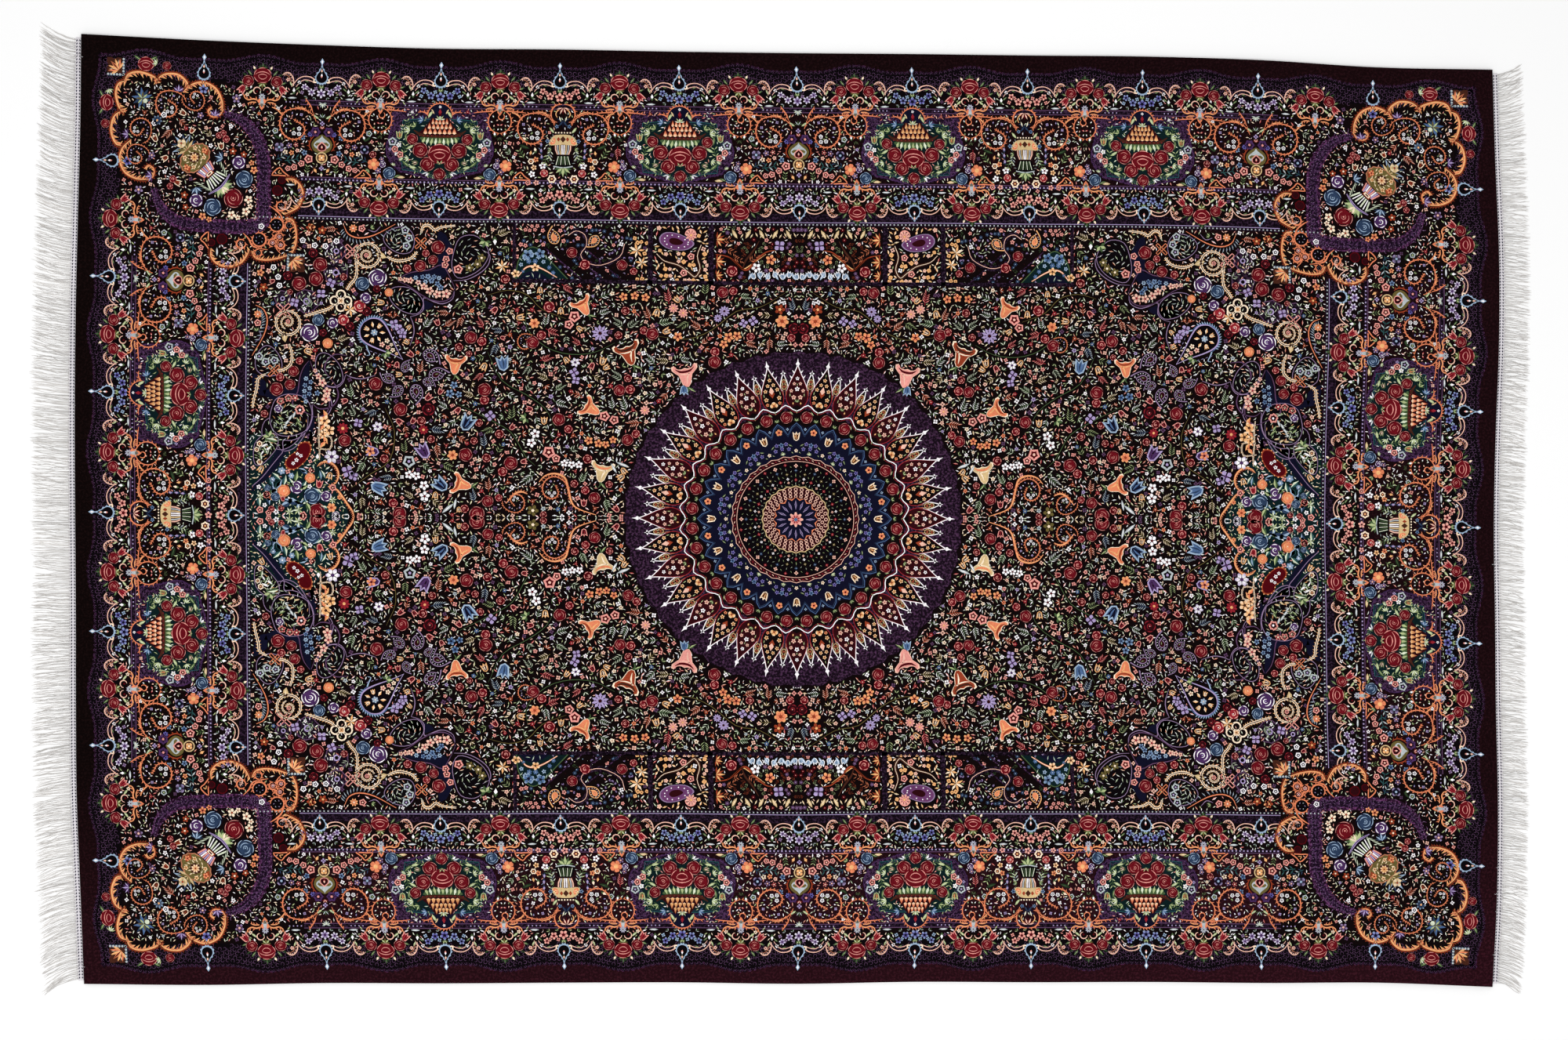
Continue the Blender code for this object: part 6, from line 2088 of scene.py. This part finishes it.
def all_shapes():
    """Every shape of the rug as one block, mirrored and with its faces turned up."""
    design = Motif()
    for motif, signs in MIRRORS:
        if not motif.blocks:
            continue
        for sx, sy in signs:
            design.put(motif, mirror=("x" if sx < 0 else "") + ("y" if sy < 0 else ""))
    points, dyes, levels, corners, sizes = design.gathered()
    starts = np.cumsum(sizes) - sizes
    owner = np.repeat(np.arange(len(sizes)), sizes)
    place = np.arange(len(corners)) - starts[owner]
    onward = starts[owner] + (place + 1) % sizes[owner]
    a, b = points[corners], points[corners[onward]]
    area = np.add.reduceat(a[:, 0] * b[:, 1] - a[:, 1] * b[:, 0], starts)
    back = sizes[owner] - 1 - place
    corners = corners[starts[owner] + np.where(area[owner] < 0, back, place)]
    return points, dyes, levels, corners, sizes, starts


points, dyes, levels, corners, sizes, starts = all_shapes()
print("shapes:", len(sizes), "and their points:", len(points))


# %% Meshes and pieces
def tile_mesh(name, faces, points, colours, heights, corners, sizes, starts):
    """One mesh from chosen faces, low ones first."""
    order = faces[np.argsort(heights[corners[starts[faces]]], kind="stable")]
    counts = sizes[order]
    first = np.cumsum(counts) - counts
    spots = np.arange(counts.sum()) - np.repeat(first, counts) + np.repeat(starts[order], counts)
    used, loops = np.unique(corners[spots], return_inverse=True)
    mesh = bpy.data.meshes.new(name)
    mesh.vertices.add(len(used))
    mesh.loops.add(len(loops))
    mesh.polygons.add(len(order))
    mesh.vertices.foreach_set("co", np.column_stack([points[used], heights[used]]).ravel())
    mesh.loops.foreach_set("vertex_index", loops.astype(np.int32))
    mesh.polygons.foreach_set("loop_start", first.astype(np.int32))
    mesh.update(calc_edges=True)
    dye = mesh.attributes.new("dye", "FLOAT_COLOR", "POINT")
    dye.data.foreach_set("color", colours[used].ravel())
    flat_uv(mesh)
    return mesh


def flat_uv(mesh):
    """A map seen from above that fills the square, for baked textures."""
    co = np.empty(len(mesh.vertices) * 3)
    mesh.vertices.foreach_get("co", co)
    co = co.reshape(-1, 3)[:, :2]
    index = np.empty(len(mesh.loops), np.int32)
    mesh.loops.foreach_get("vertex_index", index)
    low, high = co.min(0), co.max(0)
    spots = 0.002 + 0.996 * (co[index] - low) / (high - low)
    mesh.uv_layers.new(name="OFBake").data.foreach_set("uv", spots.ravel())


def new_piece(name, mesh, material):
    """An object of one mesh and one material."""
    piece = bpy.data.objects.new(name, mesh)
    bpy.context.scene.collection.objects.link(piece)
    mesh.materials.append(material)
    return piece


print("tiles to lay:", TILE_COLUMNS * TILE_ROWS)

# %% [markdown]
# ## Wool, seen close
# Cut pile is thousands of yarn ends. From a step away they show as a fine grain, a slow change of
# light where the pile leans, painted into the colour here as a painted sheen, and a touch of
# unevenness in every dye. Two node groups hold these effects, and each material of the rug sets
# their values for itself: cut pile is coarse and soft, the flat weave finer, the fringe yarn finest.


# %% Helpers for nodes
def feed(tree, node, **inputs):
    """Set named inputs of a node: each is a constant or another node's socket."""
    for label, value in inputs.items():
        socket = node.inputs[label.replace("_", " ")]
        if isinstance(value, bpy.types.NodeSocket):
            tree.links.new(value, socket)
        else:
            socket.default_value = value


def add_node(tree, kind, operation="", **inputs):
    """A node with its operation and named inputs set."""
    node = tree.nodes.new(kind)
    if operation:
        node.operation = operation
    feed(tree, node, **inputs)
    return node


def math_node(tree, operation, a, b):
    """A Math node whose two inputs are sockets or numbers."""
    node = add_node(tree, "ShaderNodeMath", operation)
    for socket, value in zip(node.inputs, (a, b)):
        if isinstance(value, bpy.types.NodeSocket):
            tree.links.new(value, socket)
        else:
            socket.default_value = value
    return node.outputs[0]


def noise(tree, where, scale, detail, roughness=0.5):
    """The value of a noise texture."""
    node = add_node(tree, "ShaderNodeTexNoise", Vector=where, Scale=scale, Detail=detail,
                    Roughness=roughness)
    return node.outputs[0]


def node_group(name, inputs, outputs):
    """A shader group with named sockets: (name, kind, default) going in, (name, kind) coming out."""
    group = bpy.data.node_groups.new(name, "ShaderNodeTree")
    for label, kind, default in inputs:
        socket = group.interface.new_socket(label, in_out="INPUT", socket_type="NodeSocket" + kind)
        socket.default_value = default
    for label, kind in outputs:
        group.interface.new_socket(label, in_out="OUTPUT", socket_type="NodeSocket" + kind)
    return group, group.nodes.new("NodeGroupInput"), group.nodes.new("NodeGroupOutput")


print("node helpers:",
      ", ".join(helper.__name__ for helper in (feed, add_node, math_node, noise, node_group)))

# %% Pile grain
PILE_KNOTS = 420.0  # yarn ends in a metre
FUZZ_SCALE, FUZZ_SHARE = 900.0, 0.7
# painted sheen: slow lighter and darker patches where the pile leans, its scale per metre and its share
PILE_SHEEN_SCALE, PAINTED_SHEEN_SHARE = 7.0, 0.22
ENDS_SHARE, DARKEST = 0.30, 0.74


def pile_grain_group():
    """Height and shade of cut yarn ends, from a cell pattern and two noises."""
    inputs = [("Position", "Vector", (0, 0, 0)), ("Knots per metre", "Float", PILE_KNOTS)]
    group, given, result = node_group("pile grain", inputs, [("Height", "Float"), ("Shade", "Float")])
    where = given.outputs["Position"]
    cells = add_node(group, "ShaderNodeTexVoronoi", Vector=where, Scale=given.outputs["Knots per metre"])
    dome = math_node(group, "SUBTRACT", 1.0, cells.outputs["Distance"])
    fuzz = math_node(group, "MULTIPLY", noise(group, where, FUZZ_SCALE, 1.0), FUZZ_SHARE)
    ends = math_node(group, "MULTIPLY", cells.outputs["Color"], ENDS_SHARE)
    # painted sheen of the leaning pile, added into the shade; the cell term is each knot's random tone
    painted_sheen = math_node(group, "MULTIPLY", noise(group, where, PILE_SHEEN_SCALE, 3.0), PAINTED_SHEEN_SHARE)
    shade = math_node(group, "ADD", math_node(group, "ADD", ends, painted_sheen), DARKEST)
    feed(group, result, Height=math_node(group, "ADD", dome, fuzz), Shade=shade)
    return group


PILE_GRAIN = pile_grain_group()
print("pile grain nodes:", len(PILE_GRAIN.nodes))

# %% Mottled dye
MOTTLE_SCALE = 210.0
MOTTLE_FROM, MOTTLE_TO = (0.47, 0.64), (0.6, 6.0)


def mottled_dye_group():
    """A dye that wanders toward a lighter second yarn where its mask says so."""
    inputs = [("Color", "Color", (0.1, 0.1, 0.1, 1)), ("Mottle", "Float", 0.0), ("Shade", "Float", 1.0),
              ("Position", "Vector", (0, 0, 0))]
    group, given, result = node_group("mottled dye", inputs, [("Color", "Color")])
    patches = noise(group, given.outputs["Position"], MOTTLE_SCALE, 3.0, 0.6)
    lighter = add_node(group, "ShaderNodeMapRange", Value=patches, From_Min=MOTTLE_FROM[0],
                       From_Max=MOTTLE_FROM[1], To_Min=MOTTLE_TO[0], To_Max=MOTTLE_TO[1])
    lift = add_node(group, "ShaderNodeMix", Factor=given.outputs["Mottle"], A=1.0, B=lighter.outputs[0])
    # the dye is scaled by the shade, which holds each knot's random tone and the painted sheen of the
    # leaning pile
    gain = math_node(group, "MULTIPLY", lift.outputs[0], given.outputs["Shade"])
    tint = add_node(group, "ShaderNodeVectorMath", "SCALE", Vector=given.outputs["Color"], Scale=gain)
    feed(group, result, Color=tint.outputs[0])
    return group


MOTTLED_DYE = mottled_dye_group()
print("mottled dye nodes:", len(MOTTLED_DYE.nodes))


# %% Yarn materials
def yarn_material(name, per_metre=PILE_KNOTS, bump=0.45, depth=0.0009, rough=0.92, shine=0.03, sheen=0.012):
    """Wool or cotton whose colour comes from the dye laid in the mesh."""
    material = bpy.data.materials.new(name)
    material.use_nodes = True
    tree = material.node_tree
    where = tree.nodes.new("ShaderNodeTexCoord").outputs["Object"]
    dye = tree.nodes.new("ShaderNodeAttribute")
    dye.attribute_name = "dye"
    grain, yarn = tree.nodes.new("ShaderNodeGroup"), tree.nodes.new("ShaderNodeGroup")
    grain.node_tree, yarn.node_tree = PILE_GRAIN, MOTTLED_DYE
    feed(tree, grain, Position=where, Knots_per_metre=per_metre)
    feed(tree, yarn, Color=dye.outputs["Color"], Mottle=dye.outputs["Alpha"], Shade=grain.outputs["Shade"],
         Position=where)
    relief = add_node(tree, "ShaderNodeBump", Strength=bump, Distance=depth, Height=grain.outputs["Height"])
    feed(tree, tree.nodes["Principled BSDF"], Base_Color=yarn.outputs["Color"], Normal=relief.outputs[0],
         Roughness=rough, Specular_IOR_Level=shine, Sheen_Weight=sheen, Sheen_Roughness=0.4)
    return material


KNOTTED_PILE = yarn_material("knotted pile")
FLAT_WEAVE = yarn_material("flat weave", 700.0, 0.6, 0.0005, 0.9, 0.2, 0.0)
FRINGE_YARN = yarn_material("fringe yarn", 1500.0, 0.6, 0.0003, 0.9, 0.2, 0.0)
print("yarn materials:", len(bpy.data.materials))

# %% Laying the tiles
DYE_SPREAD, DYE_LIMITS = 0.07, (0.8, 1.25)  # how far one batch of a dye differs from the next
dice = np.random.default_rng(5)
colours = DYE_LIGHT[dyes].copy()
colours[:, :3] *= dice.normal(1.0, DYE_SPREAD, (len(colours), 1)).clip(*DYE_LIMITS)
heights = PILE_TOP + FIRST_RISE + (levels - LOWEST_LEVEL) * LEVEL_RISE
first_corner = points[corners[starts]]
columns = (first_corner[:, 0] + HALF_LENGTH) / CHART_LENGTH * TILE_COLUMNS
rows = (first_corner[:, 1] + HALF_WIDTH) / CHART_WIDTH * TILE_ROWS
column = np.clip(columns.astype(int), 0, TILE_COLUMNS - 1)
row = np.clip(rows.astype(int), 0, TILE_ROWS - 1)
cloth_points = settle(points)
tiles = []
for i in range(TILE_COLUMNS):
    for j in range(TILE_ROWS):
        faces = np.flatnonzero((column == i) & (row == j))
        if not len(faces):
            continue
        name = f"knotted_design_{i + 1}_{j + 1}"
        mesh = tile_mesh(name, faces, cloth_points, colours, heights, corners, sizes, starts)
        tiles.append(new_piece(name, mesh, KNOTTED_PILE))
        print(name, int((sizes[faces] - 2).sum()), "triangles")

# %% [markdown]
# ## The pile sheet under the drawing
# The ground of the rug is one cut-pile sheet with a rounded rim. It replaces the plain CAD body and
# keeps its outline and height. A box would be simpler, but its edges would be straight: a lattice
# follows the strayed edges, and can hold a colour that drifts from near-black at one end to plum
# toward the near edge and the other end.

# %% Dye of the sheet
DARK_GROUND, PLUM_GROUND, GROUND_MOTTLE = linear((11, 4, 4)), linear((36, 11, 18)), 0.25
PLUM_FROM = 0.55  # the near edge turns plum from this share of the half width on
# the share of plum in the middle, and how it rises toward one end and toward the near edge
PLUM_MIDDLE, PLUM_ALONG, PLUM_NEAR = 0.16, 0.16, 0.75


def plain_border_dye(chart):
    """Near-black at one end of the rug, warm plum along the near edge and at the other end."""
    x, y = chart[:, 0] / HALF_LENGTH, chart[:, 1] / HALF_WIDTH
    edge = 1 - PLUM_FROM
    near = np.clip(-y - PLUM_FROM, 0, edge) / edge
    plum = np.clip(PLUM_MIDDLE + PLUM_ALONG * x + PLUM_NEAR * near, 0, 1)[:, None]
    light = DARK_GROUND * (1 - plum) + PLUM_GROUND * plum
    return np.column_stack([light, np.full(len(light), GROUND_MOTTLE)])


corner_dye = plain_border_dye(np.array([[HALF_LENGTH, -HALF_WIDTH]]))
print("light of the ground at the near right corner:", corner_dye.round(3).tolist())

# %% Pile sheet
SHEET_STEP = 20.0
RIM_PROFILE = [(1.4, 0.0), (0.3, 0.8), (0.0, 1.8), (0.0, 5.0), (0.4, 7.2), (1.6, 8.9), (3.0, 9.6),
               (4.8, 10.0)]


def sheet_lattice():
    """Chart points of the sheet, its quads, and the ring of points along its edge."""
    columns, rows = round(CHART_LENGTH / SHEET_STEP), round(CHART_WIDTH / SHEET_STEP)
    x = np.linspace(-HALF_LENGTH, HALF_LENGTH, columns + 1)
    y = np.linspace(-HALF_WIDTH, HALF_WIDTH, rows + 1)
    lattice = np.stack(np.meshgrid(x, y, indexing="ij"), -1).reshape(-1, 2)
    number = np.arange(len(lattice)).reshape(columns + 1, rows + 1)
    a, b, c, d = number[:-1, :-1], number[1:, :-1], number[1:, 1:], number[:-1, 1:]
    quads = np.stack([a, b, c, d], -1).reshape(-1, 4)
    ring = np.concatenate([number[:, 0], number[-1, 1:], number[-2::-1, -1], number[0, -2:0:-1]])
    return lattice, quads, ring


def build_pile_sheet():
    """Top, bottom and the rings of the rounded rim between them, as one closed mesh."""
    lattice, quads, ring = sheet_lattice()
    half = np.array([HALF_LENGTH, HALF_WIDTH])
    rings, rims = [], len(ring)
    for inset, z in RIM_PROFILE[1:-1]:
        flat = settle(lattice[ring] * (1 - inset / half))
        rings.append(np.column_stack([flat, np.full(rims, z * MM)]))
    inner, base = (1 - RIM_PROFILE[k][0] / half for k in (-1, 0))
    top = np.column_stack([settle(lattice * inner), np.full(len(lattice), PILE_TOP)])
    bottom = np.column_stack([settle(lattice * base), np.zeros(len(lattice))])
    verts = np.concatenate([top, bottom] + rings)
    count = len(lattice)
    between = [2 * count + k * rims + np.arange(rims) for k in range(len(rings))]
    edges = [count + ring] + between + [ring]
    faces = [count + quads[:, ::-1]]
    for low, high in zip(edges, edges[1:]):
        faces.append(np.stack([low, np.roll(low, -1), np.roll(high, -1), high], 1))
    mesh = bpy.data.meshes.new("pile_ground")
    mesh.from_pydata(verts.tolist(), [], np.concatenate(faces + [quads]).tolist())
    light = plain_border_dye(np.concatenate([lattice, lattice] + [lattice[ring]] * len(rings)))
    dye = mesh.attributes.new("dye", "FLOAT_COLOR", "POINT")
    dye.data.foreach_set("color", light.ravel())
    flat_uv(mesh)
    return new_piece("pile_ground", mesh, yarn_material("ground pile"))


ground = build_pile_sheet()
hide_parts("rug_body")
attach(ground, "root")
for tile in tiles:
    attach(tile, "root")
print("sheet faces:", len(ground.data.polygons))

# %% [markdown]
# ## Woven ends and warp fringe
# Past the last knots the weaver wove a few plain rows, locked them with two rows of navy chain
# stitch, and left the warp hanging as a fringe. Each band here is one low strip with its stitches
# on it. The fringe is hundreds of thin three-sided yarns that leave a row of knots, part a little,
# sweep to one side as a walked-on fringe does, and lie on the floor over one another.

# %% Points past the ends
BAND_OUT = (0.4, 11.9)  # the band's two edges, past the last knots
KNOTS_OUT = 13.4
END_SPAN = (0.0035, 0.9965)


def end_point(side, t, out):
    """Points in millimetres that stand off an end edge, square to it."""
    x, y = edge_point(side, t)
    far, near = edge_point(side, np.minimum(t + 0.004, 1)), edge_point(side, np.maximum(t - 0.004, 0))
    dx, dy = far[0] - near[0], far[1] - near[1]
    length = np.hypot(dx, dy)
    facing = 1 if side == "right" else -1
    spot = np.stack([x + facing * out * dy / length, y - facing * out * dx / length], -1)
    return spot + CENTRING_MM


def coloured_mesh(name, parts):
    """One mesh from parts of points in millimetres, faces and light."""
    verts, faces, light, shift = [], [], [], 0
    for points, part_faces, part_light in parts:
        verts.append(points)
        faces += [[int(corner) + shift for corner in face] for face in part_faces]
        light.append(np.broadcast_to(part_light, points.shape))
        shift += len(points)
    mesh = bpy.data.meshes.new(name)
    mesh.from_pydata((np.concatenate(verts) * MM).tolist(), [], faces)
    dye = mesh.attributes.new("dye", "FLOAT_COLOR", "POINT")
    dye.data.foreach_set("color", np.column_stack([np.concatenate(light), np.zeros(shift)]).ravel())
    return mesh


print("middle of the left knots, millimetres:", end_point("left", np.array([0.5]), 0).round(1).tolist())

# %% Woven bands
BAND_PROFILE = [(0.0, 0.0), (0.0, 1.6), (0.12, 2.6), (0.5, 2.9), (0.88, 2.6), (1.0, 1.6), (1.0, 0.0)]
BAND_STATIONS = 261
RIPPLE, RIPPLE_STEP = 0.12, 2.1
BAND_COTTON = linear((222, 218, 222))


def woven_band(side):
    """A low rounded strip along an end, its top rippled by the weft."""
    t = np.linspace(*END_SPAN, BAND_STATIONS)
    rings = []
    for share, z in BAND_PROFILE:
        ripple = RIPPLE * np.sin(np.arange(BAND_STATIONS) * RIPPLE_STEP) * (z > 2)
        flat = end_point(side, t, BAND_OUT[0] + share * (BAND_OUT[1] - BAND_OUT[0]))
        rings.append(np.column_stack([flat, z + ripple]))
    starts = [k * BAND_STATIONS for k in range(len(BAND_PROFILE))]
    faces = []
    for a, b in zip(starts, starts[1:] + starts[:1]):
        faces += [(a + i, a + i + 1, b + i + 1, b + i) for i in range(BAND_STATIONS - 1)]
    faces += [starts[::-1], [a + BAND_STATIONS - 1 for a in starts]]
    if side == "right":
        faces = [face[::-1] for face in faces]
    return np.concatenate(rings), faces, BAND_COTTON


print("faces of a band:", len(woven_band("left")[1]))

# %% Chain stitches
STITCH_PITCH = 6.6
STITCH_HEIGHTS = (2.75, 2.9, 2.75, 2.9, 3.5)
# out from the knots, slant, length, width and colour of each row
STITCH_ROWS = [(3.2, 0.5, 5.8, 2.9, (20, 20, 44)), (9.4, -0.5, 5.8, 2.9, (18, 18, 42)),
               (6.3, 1.4, 5.0, 1.0, (186, 178, 200))]


def chain_stitches(side):
    """Navy stitches in two rows, and lilac slants between them."""
    verts, faces, light = [], [], []
    count = round(CHART_WIDTH / STITCH_PITCH)
    ring = [0, 1, 2, 3] if side == "left" else [0, 3, 2, 1]
    for out, slant, length, width, colour in STITCH_ROWS:
        for t in (np.arange(count) + 0.5) / count * 0.99 + 0.005:
            step = length / 2 / CHART_WIDTH
            jog = slant + sower.uniform(-0.3, 0.3)
            along_edge = np.array([t - step, t, t + step, t, t])
            outward = np.array([out - jog, out - width / 2, out + jog, out + width / 2, out])
            base = len(verts)
            verts += np.column_stack([end_point(side, along_edge, outward), STITCH_HEIGHTS]).tolist()
            faces += [(base + ring[k - 1], base + ring[k], base + 4)[::-1] for k in range(4)]
            light += [linear(colour) * sower.uniform(0.7, 1.4)] * 5
    return np.array(verts), faces, np.array(light)


print("stitches in a row:", round(CHART_WIDTH / STITCH_PITCH))


# %% Tubes for yarns
def tubes(lines, radii):
    """Three-sided tubes along lines (count, stations, 3), in millimetres."""
    count, stations = lines.shape[:2]
    ahead = np.gradient(lines, axis=1)
    ahead /= np.linalg.norm(ahead, axis=2)[..., None] + 1e-9
    side = np.cross(ahead, (0, 0, 1.0))
    side /= np.linalg.norm(side, axis=2)[..., None] + 1e-9
    up = np.cross(side, ahead)
    rings = []
    for c, s in (polar(1, 90), polar(1, 210), polar(1, 330)):
        rings.append(lines + radii[..., None] * (c * side + s * up))
    verts = np.stack(rings, 2).reshape(-1, 3)
    first = np.arange(count) * stations * 3
    last = first + (stations - 1) * 3
    corner = np.arange(3)
    start = first[:, None, None] + (np.arange(stations - 1) * 3)[None, :, None]
    a, b = start + corner, start + (corner + 1) % 3
    faces = np.stack([a, a + 3, b + 3, b], -1).reshape(-1, 4)
    caps = np.concatenate([first[:, None] + corner, last[:, None] + corner[::-1]])
    return verts, faces.tolist() + caps.tolist()


slanting = np.ones((1, 10, 3)).cumsum(1)
print("a tube of ten stations has", len(tubes(slanting, np.ones((1, 10)))[1]), "faces")

# %% Fringe yarns
YARNS_PER_END, BUNCHES, YARN_STATIONS = 900, 110, 10
YARN_RADIUS, KNOT_RADII = 0.62, [0.9, 1.7, 1.6, 0.7]
KNOT_LINE = [(-1.5, 1.5), (-0.5, 1.8), (0.9, 1.8), (2.2, 1.3)]  # out from the knot row, height
KNOTTED_FROM, KNOTTED_SPAN = 0.004, 0.992  # the knotted part of an end
# length, then the sideways sweep along the end from front to back
FRINGES = {"left": (78.0, [-34, -24, -16, -10, -4, 0, 5, 9, 14, 20, 27, 33]),
           "right": (57.0, [-24, -13, -8, -6, -9, -7, -5, -8, -6, -4, 6, 26])}
BUNCH_STRAY, YARN_STRAY = 2.2, 2.6  # how far bunches and single yarns stray sideways
FRINGE_COTTON, KNOT_COTTON = linear((232, 229, 226)), linear((214, 210, 212))


def fringe_yarns(side):
    """Yarns that leave the knots, sweep, waver, thin out and settle on the floor."""
    length, sweeps = FRINGES[side]
    facing = 1 if side == "right" else -1
    column = (YARNS_PER_END, 1)
    root = (np.arange(YARNS_PER_END) + sower.uniform(-0.45, 0.45, YARNS_PER_END) + 0.5) / YARNS_PER_END
    root = KNOTTED_FROM + KNOTTED_SPAN * root
    bunch = np.random.default_rng(23).normal(0, 1, (BUNCHES + 2, 3))[np.floor(root * BUNCHES).astype(int)]
    f = np.linspace(0, 1, YARN_STATIONS)[None, :]
    sweep = along(sweeps, root) + BUNCH_STRAY * bunch[:, 0] + sower.normal(0, YARN_STRAY, YARNS_PER_END)
    reach = (length * (sower.uniform(0.90, 1.05, YARNS_PER_END) + 0.015 * bunch[:, 1]))[:, None] * f
    sway = sower.normal(0, 1.5, column) * np.sin(np.pi * f * sower.uniform(1.2, 2.6, column))
    sway = sway + sower.normal(0, 0.5, column) * np.sin(np.pi * f * 6 + sower.uniform(0, 6, column))
    sideways = sweep[:, None] * f**1.45 + sway * np.minimum(f * 3, 1)
    reach = reach * (1 - 0.5 * (sweep[:, None] / length) ** 2 * f)
    base = end_point(side, root, KNOTS_OUT - 0.6)
    height = 0.75 + sower.uniform(0.0, 1.9, column) * (1 - 0.5 * f) + 0.5 * (1 - f) ** 3
    height = np.broadcast_to(height, sideways.shape)
    lines = np.stack([base[:, :1] + facing * reach, base[:, 1:] + sideways, height], -1)
    radii = np.full(lines.shape[:2], YARN_RADIUS) * sower.uniform(0.75, 1.25, column)
    radii[:, -1] *= 0.4
    # each yarn's own random tone, times painted shade that darkens it by a tenth toward the knots
    tone_and_root_shade = sower.uniform(0.78, 1.06, (*column, 1)) * np.linspace(0.9, 1.0, YARN_STATIONS)[None, :, None]
    return *tubes(lines, radii), np.repeat((FRINGE_COTTON * tone_and_root_shade).reshape(-1, 3), 3, 0)


def warp_knots(side):
    """The row of small knots that every fringe yarn leaves."""
    count = YARNS_PER_END // 3
    t = (np.arange(count) + 0.5) / count * KNOTTED_SPAN + KNOTTED_FROM
    stations = []
    for out, z in KNOT_LINE:
        stations.append(np.column_stack([end_point(side, t, KNOTS_OUT + out), np.full(count, z)]))
    return *tubes(np.stack(stations, 1), np.tile(KNOT_RADII, (count, 1))), KNOT_COTTON


print("yarns an end:", YARNS_PER_END, "and their knots:", YARNS_PER_END // 3)

# %% Loose tails
# spot along the end, and reach
TAILS = {"right": [(0.035, 9.0), (0.082, 7.5), (0.101, 11), (0.13, 8), (0.46, 10), (0.30, 6)],
         "left": [(0.018, 8.0), (0.975, 9.0), (0.61, 6.0)]}
TAIL_RADIUS, TAIL_COTTON = 0.55, linear((190, 186, 190))


def loose_tails(side):
    """A few cut warp ends that stray over the band and the pile."""
    f = np.linspace(0, 1, 10)
    height = 3.6 + 7.5 * np.clip((f - 0.25) * 4, 0, 1)
    lines = []
    for t, reach in TAILS[side]:
        flat = end_point(side, t + 0.0035 * np.sin(5 * f) + 0.004 * f, KNOTS_OUT - 2 - (reach + 8) * f)
        lines.append(np.column_stack([flat, height]))
    return *tubes(np.array(lines), np.full((len(lines), len(f)), TAIL_RADIUS)), TAIL_COTTON


print("loose tails:", {side: len(rows) for side, rows in TAILS.items()})

# %% Laying both ends
for side in ("left", "right"):
    mesh = coloured_mesh(f"woven_end_{side}", [woven_band(side), chain_stitches(side)])
    band_piece = new_piece(f"woven_end_{side}", mesh, FLAT_WEAVE)
    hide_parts(f"end_band_{side}")
    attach(band_piece, "root")
    mesh = coloured_mesh(f"warp_fringe_{side}", [fringe_yarns(side), warp_knots(side), loose_tails(side)])
    fringe = new_piece(f"warp_fringe_{side}", mesh, FRINGE_YARN)
    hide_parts(f"fringe_{side}")
    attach(fringe, "root")
    print(side, "end, faces:", len(band_piece.data.polygons), len(fringe.data.polygons))

# %% [markdown]
# ## Floor, light and camera
# A plain white floor and an even studio sky, with one broad soft lamp for a little shape. The
# camera looks almost straight down from about four and a half metres, turned by a few degrees as
# the photograph is.

# %% Stage
FLOOR_LIGHT, SKY_STRENGTH = 0.98, 0.72
LAMP_AT, LAMP_TURN, LAMP_WATTS = (-0.3, -0.8, 4.3), (11, -4, 0), 90.0


def studio():
    """Floor, sky and one broad lamp."""
    bpy.ops.mesh.primitive_grid_add(x_subdivisions=2, y_subdivisions=2, size=30)
    floor = bpy.context.object
    floor.name = "studio_floor"
    paint = bpy.data.materials.new("white floor")
    paint.use_nodes = True
    feed(paint.node_tree, paint.node_tree.nodes["Principled BSDF"], Base_Color=(*[FLOOR_LIGHT] * 3, 1),
         Roughness=0.9)
    floor.data.materials.append(paint)
    world = bpy.data.worlds.new("even sky")
    world.use_nodes = True
    feed(world.node_tree, world.node_tree.nodes["Background"], Strength=SKY_STRENGTH, Color=(1, 1, 1, 1))
    bpy.context.scene.world = world
    lamp = bpy.data.lights.new("softbox", "AREA")
    lamp.shape = "RECTANGLE"
    lamp.size, lamp.size_y = 4.0, 3.0
    lamp.energy = LAMP_WATTS
    hang("softbox", lamp, LAMP_AT, LAMP_TURN)


def hang(name, thing, at, turn):
    """A lamp or camera at a place, turned by degrees."""
    holder = bpy.data.objects.new(name, thing)
    holder.location = at
    holder.rotation_euler = [math.radians(angle) for angle in turn]
    bpy.context.scene.collection.objects.link(holder)
    return holder


print("lamp height, metres:", LAMP_AT[2], "and watts:", LAMP_WATTS)

# %% Camera
CAMERA_AT, CAMERA_TURN = (-0.2502, -0.0241, 4.6234), (0.209, -2.857, 0.669)
studio()
lens = bpy.data.cameras.new("camera")
lens.lens, lens.sensor_width = 50.0, 36.0
bpy.context.scene.camera = hang("camera", lens, CAMERA_AT, CAMERA_TURN)
bpy.context.scene.view_settings.view_transform = "Standard"
print("camera height, metres:", CAMERA_AT[2])
